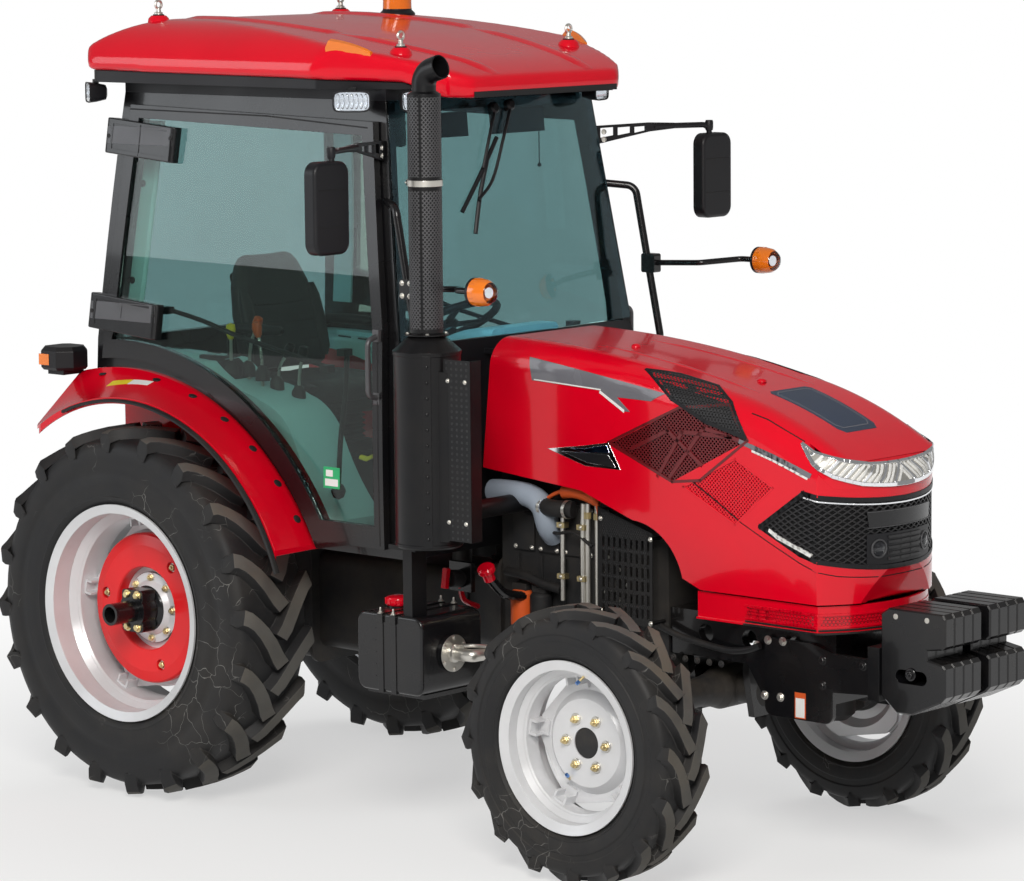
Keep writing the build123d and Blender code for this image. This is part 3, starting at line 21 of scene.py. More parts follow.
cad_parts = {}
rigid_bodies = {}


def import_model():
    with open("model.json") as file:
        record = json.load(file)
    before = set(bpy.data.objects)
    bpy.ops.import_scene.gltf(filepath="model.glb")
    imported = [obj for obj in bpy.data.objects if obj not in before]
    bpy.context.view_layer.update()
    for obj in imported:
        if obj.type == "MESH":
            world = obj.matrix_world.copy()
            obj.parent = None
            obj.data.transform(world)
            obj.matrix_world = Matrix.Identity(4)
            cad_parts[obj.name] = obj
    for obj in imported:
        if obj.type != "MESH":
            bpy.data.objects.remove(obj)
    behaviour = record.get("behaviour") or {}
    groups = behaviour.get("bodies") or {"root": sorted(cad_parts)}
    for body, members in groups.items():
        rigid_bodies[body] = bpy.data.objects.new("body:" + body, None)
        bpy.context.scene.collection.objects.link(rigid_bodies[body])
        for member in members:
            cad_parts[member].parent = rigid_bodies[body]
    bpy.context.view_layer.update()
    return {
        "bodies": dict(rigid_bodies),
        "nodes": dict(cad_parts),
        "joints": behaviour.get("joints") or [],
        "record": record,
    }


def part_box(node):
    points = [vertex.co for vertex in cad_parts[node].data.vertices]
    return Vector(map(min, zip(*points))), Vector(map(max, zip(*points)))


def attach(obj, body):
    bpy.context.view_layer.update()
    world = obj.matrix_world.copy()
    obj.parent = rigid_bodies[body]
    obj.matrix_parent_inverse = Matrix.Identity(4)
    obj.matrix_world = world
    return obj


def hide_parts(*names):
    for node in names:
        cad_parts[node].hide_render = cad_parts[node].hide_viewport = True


LOG = logging.getLogger("tractor")
MM = 0.001
RGB = tuple[float, float, float]
Point = Sequence[float]
SCRATCH_GREY: RGB = (0.45, 0.44, 0.42)


class Body(str, Enum):
    """Bodies of the frame that pieces ride on."""

    CHASSIS = "chassis"
    HOOD = "hood_assembly"
    WHEEL = "steering_wheel_body"


class Side(Enum):
    """Right (-Y) or left (+Y) of the driver, with the sign of Y."""

    RIGHT = -1
    LEFT = 1

    @property
    def word(self) -> str:
        """The side's name as the nodes and bodies end in it."""
        return self.name.lower()


# ------------------------------------------------------------------ layout
@cache
def rear_axle() -> float:
    """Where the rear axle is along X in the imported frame, in metres."""
    low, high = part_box("rear_rim_right")
    return (low.x + high.x) / 2


def at(x: float, y: float, z: float) -> Vector:
    """A point of the CAD frame.

    Args:
        x: millimetres ahead of the rear axle.
        y: millimetres to the driver's left.
        z: millimetres above the ground.

    Returns:
        The point in metres.
    """
    return Vector((rear_axle() + x * MM, y * MM, z * MM))


def facing(place: Vector, normal: Point, up: Point = (0, 0, 1)) -> Matrix:
    """A frame that stands on a surface.

    Args:
        place: its origin.
        normal: direction of its local Z.
        up: direction that its local Y leans towards.

    Returns:
        The frame as a matrix.
    """
    z = Vector(normal).normalized()
    x = Vector(up).cross(z)
    if x.length < 1e-4:
        x = Vector((1, 0, 0)).cross(z)
    x.normalize()
    turn = Matrix((x, z.cross(x), z)).transposed().to_4x4()
    return Matrix.Translation(place) @ turn


def spin(x: float, y: float, z: float, degrees: float = 0.0) -> Matrix:
    """A frame at a layout point, turned about the vertical."""
    return Matrix.Translation(at(x, y, z)) @ Matrix.Rotation(math.radians(degrees), 4, "Z")


def beside(x: float, y: float, z: float, sign: int) -> Matrix:
    """A frame at a layout point on one side, mirrored by the sign, with its Z outward."""
    return facing(at(x, sign * y, z), (0, sign, 0))


def shift(x: float, y: float, z: float) -> Matrix:
    """A move by millimetres along a frame's own axes."""
    return Matrix.Translation(Vector((x, y, z)) * MM)


def squared(value: float, power: float) -> float:
    """A sine or cosine drawn out towards a square's corner."""
    return math.copysign(abs(value) ** power, value)


def turns(count: int, share: float = 0.0) -> list[float]:
    """Angles evenly round a circle, in radians, starting at a share of a step."""
    return [2 * math.pi * (k + share) / count for k in range(count)]


def rect(x0: float, y0: float, x1: float, y1: float) -> list[Point]:
    """Outline of a rectangle between two corners."""
    return [(x0, y0), (x1, y0), (x1, y1), (x0, y1)]


def smooth_path(points: Sequence[Point], steps: int = 6) -> list[Vector]:
    """Points along a smooth curve through the given ones.

    Args:
        points: points that the curve passes through.
        steps: points made for each run.

    Returns:
        The curve's points, ends included.
    """
    p = [Vector(q) for q in points]
    p = [2 * p[0] - p[1]] + p + [2 * p[-1] - p[-2]]
    out = []
    for a, b, c, d in zip(p, p[1:], p[2:], p[3:]):
        for k in range(steps):
            t = k / steps
            out.append(0.5 * (2 * b + (c - a) * t + (2 * a - 5 * b + 4 * c - d) * t * t
                              + (3 * b - a - 3 * c + d) * t ** 3))
    return out + [p[-2]]


def bend(*points: Point, steps: int = 5) -> list[Vector]:
    """A smooth path through layout points."""
    return smooth_path([at(*p) for p in points], steps)


# ------------------------------------------------------------------ node trees
class Nodes:
    """Short calls for the nodes and links of one node tree."""

    def __init__(self, tree: bpy.types.NodeTree) -> None:
        """Wrap a node tree."""
        self.tree = tree

    def add(self, kind: str, *values: Any, props: dict[str, Any] | None = None,
            **named: Any) -> bpy.types.Node:
        """Add a node and feed its inputs.

        Args:
            kind: node type without its ShaderNode prefix.
            values: sockets or plain values for the inputs in order; None leaves one alone.
            props: settings of the node itself.
            named: sockets or plain values by input name, spaces written as underscores.

        Returns:
            The new node.
        """
        node = self.tree.nodes.new(f"ShaderNode{kind}")
        for key, value in (props or {}).items():
            setattr(node, key, value)
        for socket, value in zip(node.inputs, values):
            self.feed(socket, value)
        for key, value in named.items():
            self.feed(node.inputs[key.replace("_", " ")], value)
        return node

    def feed(self, socket: bpy.types.NodeSocket, value: Any) -> None:
        """Link a socket to another, or set its plain value."""
        if isinstance(value, bpy.types.NodeSocket):
            self.tree.links.new(value, socket)
        elif value is not None:
            if socket.type == "RGBA" and len(value) == 3:
                value = (*value, 1.0)
            socket.default_value = value

    def math(self, operation: str, *values: Any, clamp: bool = False) -> bpy.types.NodeSocket:
        """Result of a Math node."""
        return self.add("Math", *values, props={"operation": operation, "use_clamp": clamp}).outputs[0]

    def span(self, value: Any, low: float, high: float, to_low: float = 0.0,
             to_high: float = 1.0) -> bpy.types.NodeSocket:
        """Value carried from one range to another, held inside it."""
        return self.add("MapRange", value, low, high, to_low, to_high).outputs[0]

    def blend(self, share: Any, first: Any, second: Any) -> bpy.types.NodeSocket:
        """Mix of two colours by a share."""
        node = self.add("Mix", props={"data_type": "RGBA"})
        for index, value in ((0, share), (6, first), (7, second)):
            self.feed(node.inputs[index], value)
        return node.outputs[2]

    def noise(self, scale: Any, detail: float = 4.0, rough: float = 0.55) -> bpy.types.NodeSocket:
        """Noise factor over the piece's own coordinates."""
        return self.add("TexNoise", Vector=self.place(), Scale=scale, Detail=detail,
                        Roughness=rough).outputs[0]

    def place(self) -> bpy.types.NodeSocket:
        """The piece's own coordinates."""
        return self.add("TexCoord").outputs["Object"]


def group(name: str, inputs: dict[str, float], outputs: dict[str, str],
          fill: Callable[[Nodes, Any], dict[str, Any]]) -> bpy.types.NodeTree:
    """Make a shared node group.

    Args:
        name: the group's name.
        inputs: its inputs with their defaults.
        outputs: its outputs with their socket types.
        fill: makes its nodes from the group's input sockets and returns what each output gets.

    Returns:
        The group.
    """
    tree = bpy.data.node_groups.new(name, "ShaderNodeTree")
    for key, value in inputs.items():
        socket = tree.interface.new_socket(key, in_out="INPUT", socket_type="NodeSocketFloat")
        socket.default_value = value
    for key, kind in outputs.items():
        tree.interface.new_socket(key, in_out="OUTPUT", socket_type=kind)
    nodes = Nodes(tree)
    entry = tree.nodes.new("NodeGroupInput")
    leave = tree.nodes.new("NodeGroupOutput")
    for key, value in fill(nodes, entry.outputs).items():
        nodes.feed(leave.inputs[key], value)
    return tree


FLOAT, VECTOR = "NodeSocketFloat", "NodeSocketVector"


class Shared:
    """The effects that more than one material places, each built once."""

    @staticmethod
    @cache
    def edges() -> bpy.types.NodeTree:
        """Rounded edge normals and a mask of rubbed edges."""
        def fill(n: Nodes, given: Any) -> dict[str, Any]:
            bevel = n.add("Bevel", Radius=given["Radius"], props={"samples": 4}).outputs[0]
            flat = n.add("NewGeometry").outputs["Normal"]
            same = n.add("VectorMath", bevel, flat, props={"operation": "DOT_PRODUCT"}).outputs[1]
            edge = n.span(n.math("SUBTRACT", 1.0, same), 0.02, 0.22)
            rub = n.span(n.noise(given["Scale"], 5.0), 0.45, 0.7)
            rub = n.math("MULTIPLY", rub, given["Amount"])
            return {"Normal": bevel, "Mask": n.math("MULTIPLY", edge, rub, clamp=True)}
        return group("edge_wear", {"Radius": 0.002, "Amount": 0.5, "Scale": 30.0},
                     {"Normal": VECTOR, "Mask": FLOAT}, fill)

    @staticmethod
    @cache
    def dust() -> bpy.types.NodeTree:
        """Mask of dust and dried mud, thickest on upward faces and near the ground."""
        def fill(n: Nodes, given: Any) -> dict[str, Any]:
            coordinate = n.add("TexCoord")
            rise = n.add("SeparateXYZ", coordinate.outputs["Normal"]).outputs[2]
            height = n.add("SeparateXYZ", coordinate.outputs["Object"]).outputs[2]
            lie = n.span(rise, -0.3, 1.0, 0.25, 1.0)
            near = n.span(height, 0.2, 1.6, 1.0, 0.35)
            cloud = n.span(n.noise(given["Scale"], 7.0, 0.65), 0.42, 0.72)
            mask = n.math("MULTIPLY", n.math("MULTIPLY", lie, near), cloud)
            return {"Mask": n.math("MULTIPLY", mask, given["Amount"], clamp=True)}
        return group("settled_dust", {"Amount": 0.5, "Scale": 4.0}, {"Mask": FLOAT}, fill)

    @staticmethod
    @cache
    def grain() -> bpy.types.NodeTree:
        """Fine surface height, with a slow unevenness for colour and roughness."""
        def fill(n: Nodes, given: Any) -> dict[str, Any]:
            return {"Height": n.noise(given["Scale"], 3.0, 0.6),
                    "Cloud": n.span(n.noise(given["Cloud Scale"], 4.0), 0.3, 0.7)}
        return group("surface_grain", {"Scale": 300.0, "Cloud Scale": 3.0},
                     {"Height": FLOAT, "Cloud": FLOAT}, fill)

    @staticmethod
    @cache
    def scratches() -> bpy.types.NodeTree:
        """Mask of thin wandering scratches that come in patches."""
        def fill(n: Nodes, given: Any) -> dict[str, Any]:
            place = n.place()
            bend = n.add("TexNoise", Vector=place, Scale=9.0, Detail=2.0).outputs[1]
            bent = n.add("VectorMath", bend, (0.12, 0.12, 0.12), place,
                         props={"operation": "MULTIPLY_ADD"}).outputs[0]
            cells = n.add("TexVoronoi", props={"feature": "DISTANCE_TO_EDGE"}, Vector=bent,
                          Scale=given["Scale"]).outputs[0]
            line = n.math("LESS_THAN", cells, given["Width"])
            patch = n.span(n.noise(4.0, 3.0), 0.52, 0.62)
            return {"Mask": n.math("MULTIPLY", line, patch)}
        return group("scratches", {"Scale": 11.0, "Width": 0.009}, {"Mask": FLOAT}, fill)


# ------------------------------------------------------------------ finishes
class Finish:
    """A surface finish that knows how to make its material."""

    name: str

    def shade(self, n: Nodes) -> bpy.types.NodeSocket:
        """Build the nodes and return the surface socket."""
        raise NotImplementedError

    @cache
    def material(self) -> bpy.types.Material:
        """The finish's material, made once."""
        made = bpy.data.materials.new(self.name)
        made.use_nodes = True
        made.node_tree.nodes.clear()
        n = Nodes(made.node_tree)
        n.add("OutputMaterial", self.shade(n))
        return made


@dataclass(frozen=True)
class Coat(Finish):
    """Paint, plastic, rubber or metal with grain, edge wear, scratches and dust.

    Attributes:
        name: material name.
        color: base colour.
        rough: roughness where clean.
        metal: metallic share.
        clear: clear coat weight.
        grain: size of the fine grain, as noise scale.
        depth: height of the grain in millimetres.
        cloud: how much the colour wanders over the piece.
        wear: how much the edges are rubbed.
        bare: colour under the rubbed edges.
        dust: how much dust lies on it.
        soil: the dust's colour.
        scratch: strength of the scratches.
        edge_mm: radius of the rounded edges.
        shine: how much light the surface mirrors, 0.5 for a common plastic.
    """

    name: str
    color: RGB
    rough: float = 0.35
    metal: float = 0.0
    clear: float = 0.0
    grain: float = 260.0
    depth: float = 0.02
    cloud: float = 0.12
    wear: float = 0.25
    bare: RGB = (0.16, 0.15, 0.14)
    dust: float = 0.25
    soil: RGB = (0.20, 0.16, 0.115)
    scratch: float = 0.0
    edge_mm: float = 2.0
    shine: float = 0.3

    def shade(self, n: Nodes) -> bpy.types.NodeSocket:
        """Build the nodes and return the surface socket."""
        grain = n.add("Group", props={"node_tree": Shared.grain()}, Scale=self.grain)
        edges = n.add("Group", props={"node_tree": Shared.edges()}, Radius=self.edge_mm * MM,
                      Amount=self.wear)
        dust = n.add("Group", props={"node_tree": Shared.dust()}, Amount=self.dust)
        dark = tuple(c * (1 - self.cloud) for c in self.color)
        light = tuple(min(1.0, c * (1 + self.cloud)) for c in self.color)
        color = n.blend(grain.outputs["Cloud"], dark, light)
        rough = n.span(grain.outputs["Cloud"], 0, 1, self.rough * 0.85, self.rough * 1.15)
        if self.scratch:
            marks = n.add("Group", props={"node_tree": Shared.scratches()}).outputs[0]
            marks = n.math("MULTIPLY", marks, self.scratch)
            color = n.blend(marks, color, SCRATCH_GREY)
        color = n.blend(edges.outputs["Mask"], color, self.bare)
        color = n.blend(dust.outputs["Mask"], color, self.soil)
        rough = n.math("MULTIPLY_ADD", dust.outputs["Mask"], 0.5, rough, clamp=True)
        bump = n.add("Bump", Strength=0.6, Distance=self.depth * MM,
                     Height=grain.outputs["Height"], Normal=edges.outputs["Normal"])
        shader = n.add("BsdfPrincipled", Base_Color=color, Roughness=rough, Metallic=self.metal,
                       Coat_Weight=self.clear, Coat_Roughness=0.06, Normal=bump.outputs[0],
                       Specular_IOR_Level=0.5 if self.metal > 0.5 else self.shine)
        return shader.outputs[0]


@dataclass(frozen=True)
class Glass(Finish):
    """Tinted or clear glazing that lets lamp light through.

    Attributes:
        name: material name.
        color: tint.
        rough: roughness.
        ior: index of refraction.
        haze: how much dust dulls it.
    """

    name: str
    color: RGB
    rough: float = 0.0
    ior: float = 1.45
    haze: float = 0.0

    def shade(self, n: Nodes) -> bpy.types.NodeSocket:
        """Build the nodes and return the surface socket."""
        cloud = n.span(n.noise(2.0, 5.0), 0.35, 0.75, 1.0, 1.0 - self.haze)
        color = n.add("Mix", props={"data_type": "RGBA", "blend_type": "MULTIPLY"})
        n.feed(color.inputs[0], 1.0)
        n.feed(color.inputs[6], self.color)
        n.feed(color.inputs[7], cloud)
        shader = n.add("BsdfPrincipled", Base_Color=color.outputs[2], Roughness=self.rough,
                       Transmission_Weight=1.0, IOR=self.ior)
        clear = n.add("BsdfTransparent", tuple(c ** 0.5 for c in self.color))
        lamp = n.add("LightPath").outputs["Is Shadow Ray"]
        return n.add("MixShader", lamp, shader.outputs[0], clear.outputs[0]).outputs[0]


@dataclass(frozen=True)
class Glow(Finish):
    """Plain pale surround that looks white to the camera, mirrors and glass.

    Attributes:
        name: material name.
        color: diffuse colour where it is lit.
        fade: distances from the middle between which it turns into plain white, in metres.
    """

    name: str
    color: RGB
    fade: tuple[float, float]

    def shade(self, n: Nodes) -> bpy.types.NodeSocket:
        """Build the nodes and return the surface socket."""
        lit = n.add("BsdfDiffuse", self.color)
        white = n.add("Emission", (1.0, 1.0, 1.0), 1.0)
        path = n.add("LightPath").outputs
        seen = n.math("ADD", path["Is Camera Ray"], path["Is Glossy Ray"], clamp=True)
        seen = n.math("ADD", seen, path["Is Transmission Ray"], clamp=True)
        reach = n.add("VectorMath", n.place(), props={"operation": "LENGTH"}).outputs[1]
        far = n.span(reach, *self.fade, 0.55, 1.0)
        share = n.math("MULTIPLY", seen, far)
        return n.add("MixShader", share, lit.outputs[0], white.outputs[0]).outputs[0]


RED = Coat("red_gloss", (0.72, 0.0, 0.014), 0.22, clear=0.5, shine=0.15, depth=0.006, wear=0.05,
           dust=0.06, grain=90.0, cloud=0.05, bare=(0.5, 0.02, 0.02))
RED_CAST = Coat("red_casting", (0.80, 0.008, 0.012), 0.32, clear=0.2, depth=0.08, wear=0.15,
                dust=0.12, grain=120.0)
SILVER = Coat("wheel_silver", (0.70, 0.705, 0.72), 0.34, metal=0.25, depth=0.02, wear=0.12,
              dust=0.14, grain=200.0, cloud=0.08)
BLACK = Coat("chassis_black", (0.005, 0.005, 0.006), 0.26, clear=0.3, wear=0.10, dust=0.10)
BLACK_SATIN = Coat("satin_black", (0.006, 0.006, 0.007), 0.34, metal=0.1, wear=0.15, dust=0.12,
                   depth=0.03)
CAST = Coat("cast_black", (0.020, 0.020, 0.021), 0.5, depth=0.15, grain=160.0, wear=0.3, dust=0.5)
PLASTIC = Coat("black_plastic", (0.008, 0.008, 0.010), 0.42, depth=0.05, grain=420.0, wear=0.05,
               dust=0.12)
MESH_BLACK = Coat("black_mesh", (0.028, 0.028, 0.030), 0.4, wear=0.1, dust=0.1)
# Matte black. Behind the grille, the shoulder mesh and the engine side screens it is a painted shade
# sheet that stands for the dark cavity seen through the holes. Along the hood's seams it is the dark
# panel gaps.
GAP_BLACK_AND_PAINTED_SHADE = Coat("deep_black", (0.006, 0.006, 0.007), 0.8, wear=0.0, dust=0.1)
TEAL = Coat("blue_grey_trim", (0.46, 0.74, 0.78), 0.45, depth=0.04, grain=350.0, wear=0.0,
            dust=0.05, cloud=0.06)
ZINC = Coat("zinc_plate", (0.62, 0.60, 0.55), 0.32, metal=0.9, wear=0.1, dust=0.15, cloud=0.2)
BRASS = Coat("yellow_zinc", (0.62, 0.50, 0.26), 0.3, metal=0.85, wear=0.1, dust=0.1, cloud=0.35)
CHROME = Coat("chrome", (0.80, 0.81, 0.83), 0.08, metal=1.0, wear=0.0, dust=0.03, depth=0.002)
SOFT_GREY = Coat("grey_wrap", (0.30, 0.35, 0.42), 0.7, depth=0.6, grain=60.0, dust=0.4)
ORANGE = Coat("orange_rubber", (0.65, 0.10, 0.02), 0.45, dust=0.15)
WHITE = Coat("white_label", (0.82, 0.82, 0.80), 0.4, dust=0.1, wear=0.0)
LABEL = Coat("yellow_label", (0.80, 0.62, 0.03), 0.4, dust=0.05, wear=0.0)
GREEN = Coat("green_label", (0.03, 0.42, 0.16), 0.4, dust=0.03, wear=0.0)
GREY_STRIPE = Coat("grey_stripe", (0.16, 0.16, 0.18), 0.25, clear=0.5, wear=0.0, dust=0.03)
VINYL = Coat("seat_vinyl", (0.020, 0.021, 0.024), 0.55, depth=0.25, grain=520.0, wear=0.1, dust=0.08)
SEAL = Coat("rubber_seal", (0.012, 0.012, 0.013), 0.55, wear=0.0, dust=0.2)
PANE = Glass("tinted_glass", (0.34, 0.52, 0.58), ior=1.35, haze=0.08)
LENS = Glass("clear_lens", (0.90, 0.93, 0.96))
AMBER = Coat("amber_lens", (0.85, 0.20, 0.01), 0.12, clear=0.8, wear=0.0, dust=0.05, depth=0.2,
             grain=60.0)
RED_LENS = Coat("red_lens", (0.60, 0.01, 0.01), 0.12, clear=0.8, wear=0.0, dust=0.05)
RUBBER = Coat("tyre_rubber", (0.014, 0.014, 0.015), 0.55, depth=0.25, grain=120.0, wear=0.4,
              bare=(0.075, 0.068, 0.06), dust=0.42, soil=(0.11, 0.095, 0.075), scratch=0.35,
              edge_mm=5.0)
# Lug faces in a light tan, partly dust and wear and partly painted light: the sunlit look of the lug
# tops, given to every lug.
TREAD_DUST_AND_PAINTED_LIGHT = Coat("lug_face", (0.085, 0.082, 0.076), 0.75, depth=0.7, grain=90.0, wear=0.5,
             bare=(0.16, 0.14, 0.11), dust=0.8, soil=(0.17, 0.135, 0.09), cloud=0.4, edge_mm=4.0)
# Dark red: the upper window's mesh, its ribs and edges. As a sheet under the lower window's red mesh
# and under the chin's perforated band it is painted shade seen through the holes.
DARK_RED = Coat("dark_red_mesh", (0.13, 0.004, 0.007), 0.3, clear=0.4, wear=0.0, dust=0.05)
# Near-black red sheet behind the hood's windows: painted shade of the engine bay seen through them.
PAINTED_SHADE_BACKING = Coat("smoked_backing", (0.016, 0.003, 0.004), 0.25, clear=0.6, wear=0.0, dust=0.0)
PANEL_BLACK = Coat("hood_panel_black", (0.035, 0.050, 0.085), 0.42, wear=0.0, dust=0.05)
# Blue metal. On the hood blade it is a painted reflection of the sky in the chrome; the valve caps take
# the same blue.
BLUE_METAL_AND_PAINTED_SKY = Coat("blue_chrome", (0.16, 0.34, 0.75), 0.12, metal=1.0, wear=0.0, dust=0.0)
GUNMETAL = Coat("gunmetal", (0.10, 0.10, 0.105), 0.38, metal=0.5, wear=0.1, dust=0.1)
# Door glass, darker and greener than the other panes: partly its own tint, partly a painted reflection
# of the dark landscape.
DOOR_TINT_AND_PAINTED_REFLECTION = Glass("door_glass", (0.31, 0.41, 0.37), ior=1.35, haze=0.06)


# ------------------------------------------------------------------ geometry
class Form:
    """Geometry of one piece, gathered in a bmesh with a finish for each face."""

    def __init__(self) -> None:
        """Start an empty piece."""
        self.mesh = bmesh.new()
        self.finishes: list[Finish] = []

    def add(self, points: Iterable[Point], faces: Iterable[Sequence[int]], finish: Finish,
            place: Matrix | None = None) -> list[Any]:
        """Add faces over new points.

        Args:
            points: the points in the local frame, in metres.
            faces: tuples of indices into the points.
            finish: the faces' finish.
            place: the local frame, the CAD frame if None.

        Returns:
            The new faces.
        """
        if finish not in self.finishes:
            self.finishes.append(finish)
        index = self.finishes.index(finish)
        place = place or Matrix()
        made = [self.mesh.verts.new(place @ Vector(p)) for p in points]
        out = []
        for loop in faces:
            face = self.mesh.faces.new([made[i] for i in loop])
            face.material_index = index
            out.append(face)
        return out

    def box(self, low: Point, high: Point, finish: Finish, place: Matrix | None = None) -> None:
        """Add a block between two corners, in millimetres of its frame or else of the layout."""
        (x0, y0, z0), (x1, y1, z1) = low, high
        self.plate(rect(x0, y0, x1, y1), z0, z1, finish, place)

    def plate(self, outline: Sequence[Point], low: float, high: float, finish: Finish,
              place: Matrix | None = None) -> None:
        """Add a flat plate.

        Args:
            outline: its outline in the local XY plane in millimetres, counter-clockwise.
            low: local Z of its back, in millimetres.
            high: local Z of its front.
            finish: its finish.
            place: the local frame, the layout's own if None.
        """
        count = len(outline)
        points = [Vector((*p, z)) * MM for z in (low, high) for p in outline]
        faces = [tuple(reversed(range(count))), tuple(range(count, 2 * count))]
        faces += [(i, (i + 1) % count, count + (i + 1) % count, count + i) for i in range(count)]
        self.add(points, faces, finish, place or spin(0, 0, 0))

    def lathe(self, profile: Sequence[Point], finish: Finish, place: Matrix, steps: int = 32,
              closed: bool = False) -> None:
        """Add a turned form.

        Args:
            profile: (radius, local Z) pairs in millimetres, from the bottom outside to the top.
            finish: its finish.
            place: the local frame, whose Z is the axis.
            steps: segments round the axis.
            closed: True joins the profile's last point to its first.
        """
        points: list[Point] = []
        rings: list[list[int]] = []
        for radius, height in profile:
            count = 1 if radius < 1e-6 else steps
            rings.append(list(range(len(points), len(points) + count)))
            for k in range(count):
                angle = 2 * math.pi * k / steps
                points.append(Vector((radius * math.cos(angle), radius * math.sin(angle), height)) * MM)
        faces: list[tuple[int, ...]] = []
        pairs = list(zip(rings, rings[1:])) + ([(rings[-1], rings[0])] if closed else [])
        for low, high in pairs:
            for k in range(steps):
                a, b = low[k % len(low)], low[(k + 1) % len(low)]
                d, c = high[k % len(high)], high[(k + 1) % len(high)]
                loop = tuple(dict.fromkeys((a, b, c, d)))
                if len(loop) > 2:
                    faces.append(loop)
        self.add(points, faces, finish, place)

    def tube(self, points: Sequence[Point], radius: float, finish: Finish, steps: int = 10,
             squash: float = 1.0, taper: float = 1.0) -> None:
        """Add a round bar along a path.

        Args:
            points: the path, in metres.
            radius: the bar's radius, in millimetres.
            finish: its finish.
            steps: segments round it.
            squash: thickness across the path's plane as a share of the radius.
            taper: radius at the far end as a share of that at the near end.
        """
        path = [Vector(p) for p in points]
        last = len(path) - 1
        along = [(path[min(i + 1, last)] - path[max(i - 1, 0)]).normalized() for i in range(last + 1)]
        side = along[0].orthogonal().normalized()
        rings: list[Vector] = []
        for i, (p, t) in enumerate(zip(path, along)):
            side = (side - t * side.dot(t)).normalized()
            other = t.cross(side)
            r = radius * MM * (1 + (taper - 1) * i / last)
            for k in range(steps):
                angle = 2 * math.pi * k / steps
                rings.append(p + side * (r * math.cos(angle)) + other * (r * squash * math.sin(angle)))
        faces = [tuple(reversed(range(steps))), tuple(range(last * steps, (last + 1) * steps))]
        for i in range(last):
            for k in range(steps):
                a, b = i * steps + k, i * steps + (k + 1) % steps
                faces.append((a, b, b + steps, a + steps))
        self.add(rings, faces, finish)

    def bolt(self, place: Matrix, size: float, finish: Finish, washer: Finish | None = None,
             stud: float = 0.0) -> None:
        """Add a hexagon head on a washer.

        Args:
            place: frame on the surface, Z outward.
            size: width across the corners, in millimetres.
            finish: finish of the head.
            washer: finish of the washer, the head's own if None.
            stud: length of a stud end that stands out of the head.
        """
        r, h = size / 2, size * 0.38
        self.lathe([(r * 1.45, 0), (r * 1.45, h * 0.25), (r * 1.3, h * 0.4), (0, h * 0.4)],
                   washer or finish, place, 16)
        self.lathe([(r, h * 0.3), (r, h * 1.2), (r * 0.82, h * 1.4), (0, h * 1.4)], finish, place, 6)
        if stud:
            self.lathe([(r * 0.5, h), (r * 0.5, h * 1.4 + stud * 0.85), (r * 0.38, h * 1.4 + stud),
                        (0, h * 1.4 + stud)], finish, place, 12)

    def sweep(self, rows: Sequence[Sequence[Point]], finish: Finish, closed: bool = False,
              loop: bool = False, lids: Sequence[Finish] = ()) -> None:
        """Add a skin over rows of points.

        Args:
            rows: rows of equally many points.
            finish: its finish.
            closed: True joins the ends of each row.
            loop: True joins the last row to the first.
            lids: finishes of the faces over the first and the last row.
        """
        width = len(rows[0])
        points = [p for row in rows for p in row]
        faces = []
        for i in range(len(rows) - (0 if loop else 1)):
            j = (i + 1) % len(rows)
            for k in range(width - (0 if closed else 1)):
                m = (k + 1) % width
                faces.append((i * width + k, i * width + m, j * width + m, j * width + k))
        self.add(points, faces, finish)
        for row, lid in zip((rows[0], rows[-1]), lids):
            self.add(row, [tuple(range(width))], lid)

    def done(self, name: str, slot: str, body: str = Body.CHASSIS, bevel_mm: float = 0.0,
             angle: float = 35.0, replaces: Sequence[str] = (), weld: bool = False) -> bpy.types.Object:
        """Turn the gathered geometry into a piece of the model, and start on the next one.

        Args:
            name: the piece's name.
            slot: the record's material slot it belongs to; not used.
            body: the body it rides on.
            bevel_mm: width of the bevel on its edges.
            angle: edges sharper than this, in degrees, stay sharp or get the bevel.
            replaces: CAD nodes it stands for.
            weld: True joins points that coincide.

        Returns:
            The new object.
        """
        if weld:
            bmesh.ops.remove_doubles(self.mesh, verts=self.mesh.verts, dist=1e-5)
        bmesh.ops.recalc_face_normals(self.mesh, faces=self.mesh.faces)
        for face in self.mesh.faces:
            face.smooth = True
        data = bpy.data.meshes.new(name)
        self.mesh.to_mesh(data)
        self.mesh.clear()
        data.set_sharp_from_angle(angle=math.radians(angle))
        for finish in self.finishes:
            data.materials.append(finish.material())
        self.finishes = []
        piece = bpy.data.objects.new(name, data)
        bpy.context.scene.collection.objects.link(piece)
        if bevel_mm:
            edge = piece.modifiers.new("edge", "BEVEL")
            edge.width = bevel_mm * MM
            edge.segments = 2
            edge.angle_limit = math.radians(angle)
            edge.harden_normals = True
        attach(piece, body)
        if replaces:
            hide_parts(*replaces)
        LOG.info("%s rides on %s, %d faces", name, body, len(data.polygons))
        return piece


class Skin:
    """Surface of a CAD node that details are laid on."""

    def __init__(self, *nodes: str) -> None:
        """Gather the nodes' triangles."""
        points: list[Vector] = []
        faces: list[tuple[int, ...]] = []
        for node in nodes:
            data = bpy.data.objects[node].data
            base = len(points)
            points += [v.co.copy() for v in data.vertices]
            faces += [tuple(base + i for i in p.vertices) for p in data.polygons]
        self.tree = BVHTree.FromPolygons(points, faces)

    def hit(self, start: Point, direction: Point) -> tuple[Vector, Vector] | None:
        """First point of the surface along a ray, with the normal towards the ray's start."""
        way = Vector(direction).normalized()
        place, normal, _, _ = self.tree.ray_cast(Vector(start), way)
        if place is None:
            return None
        return place, normal if normal.dot(way) < 0 else -normal


def inside(outline: Sequence[Point], u: float, v: float) -> bool:
    """True if the point (u, v) is inside the outline."""
    found = False
    for (u0, v0), (u1, v1) in zip(outline, [*outline[1:], outline[0]]):
        if (v0 > v) != (v1 > v) and u < (u1 - u0) * (v - v0) / (v1 - v0) + u0:
            found = not found
    return found


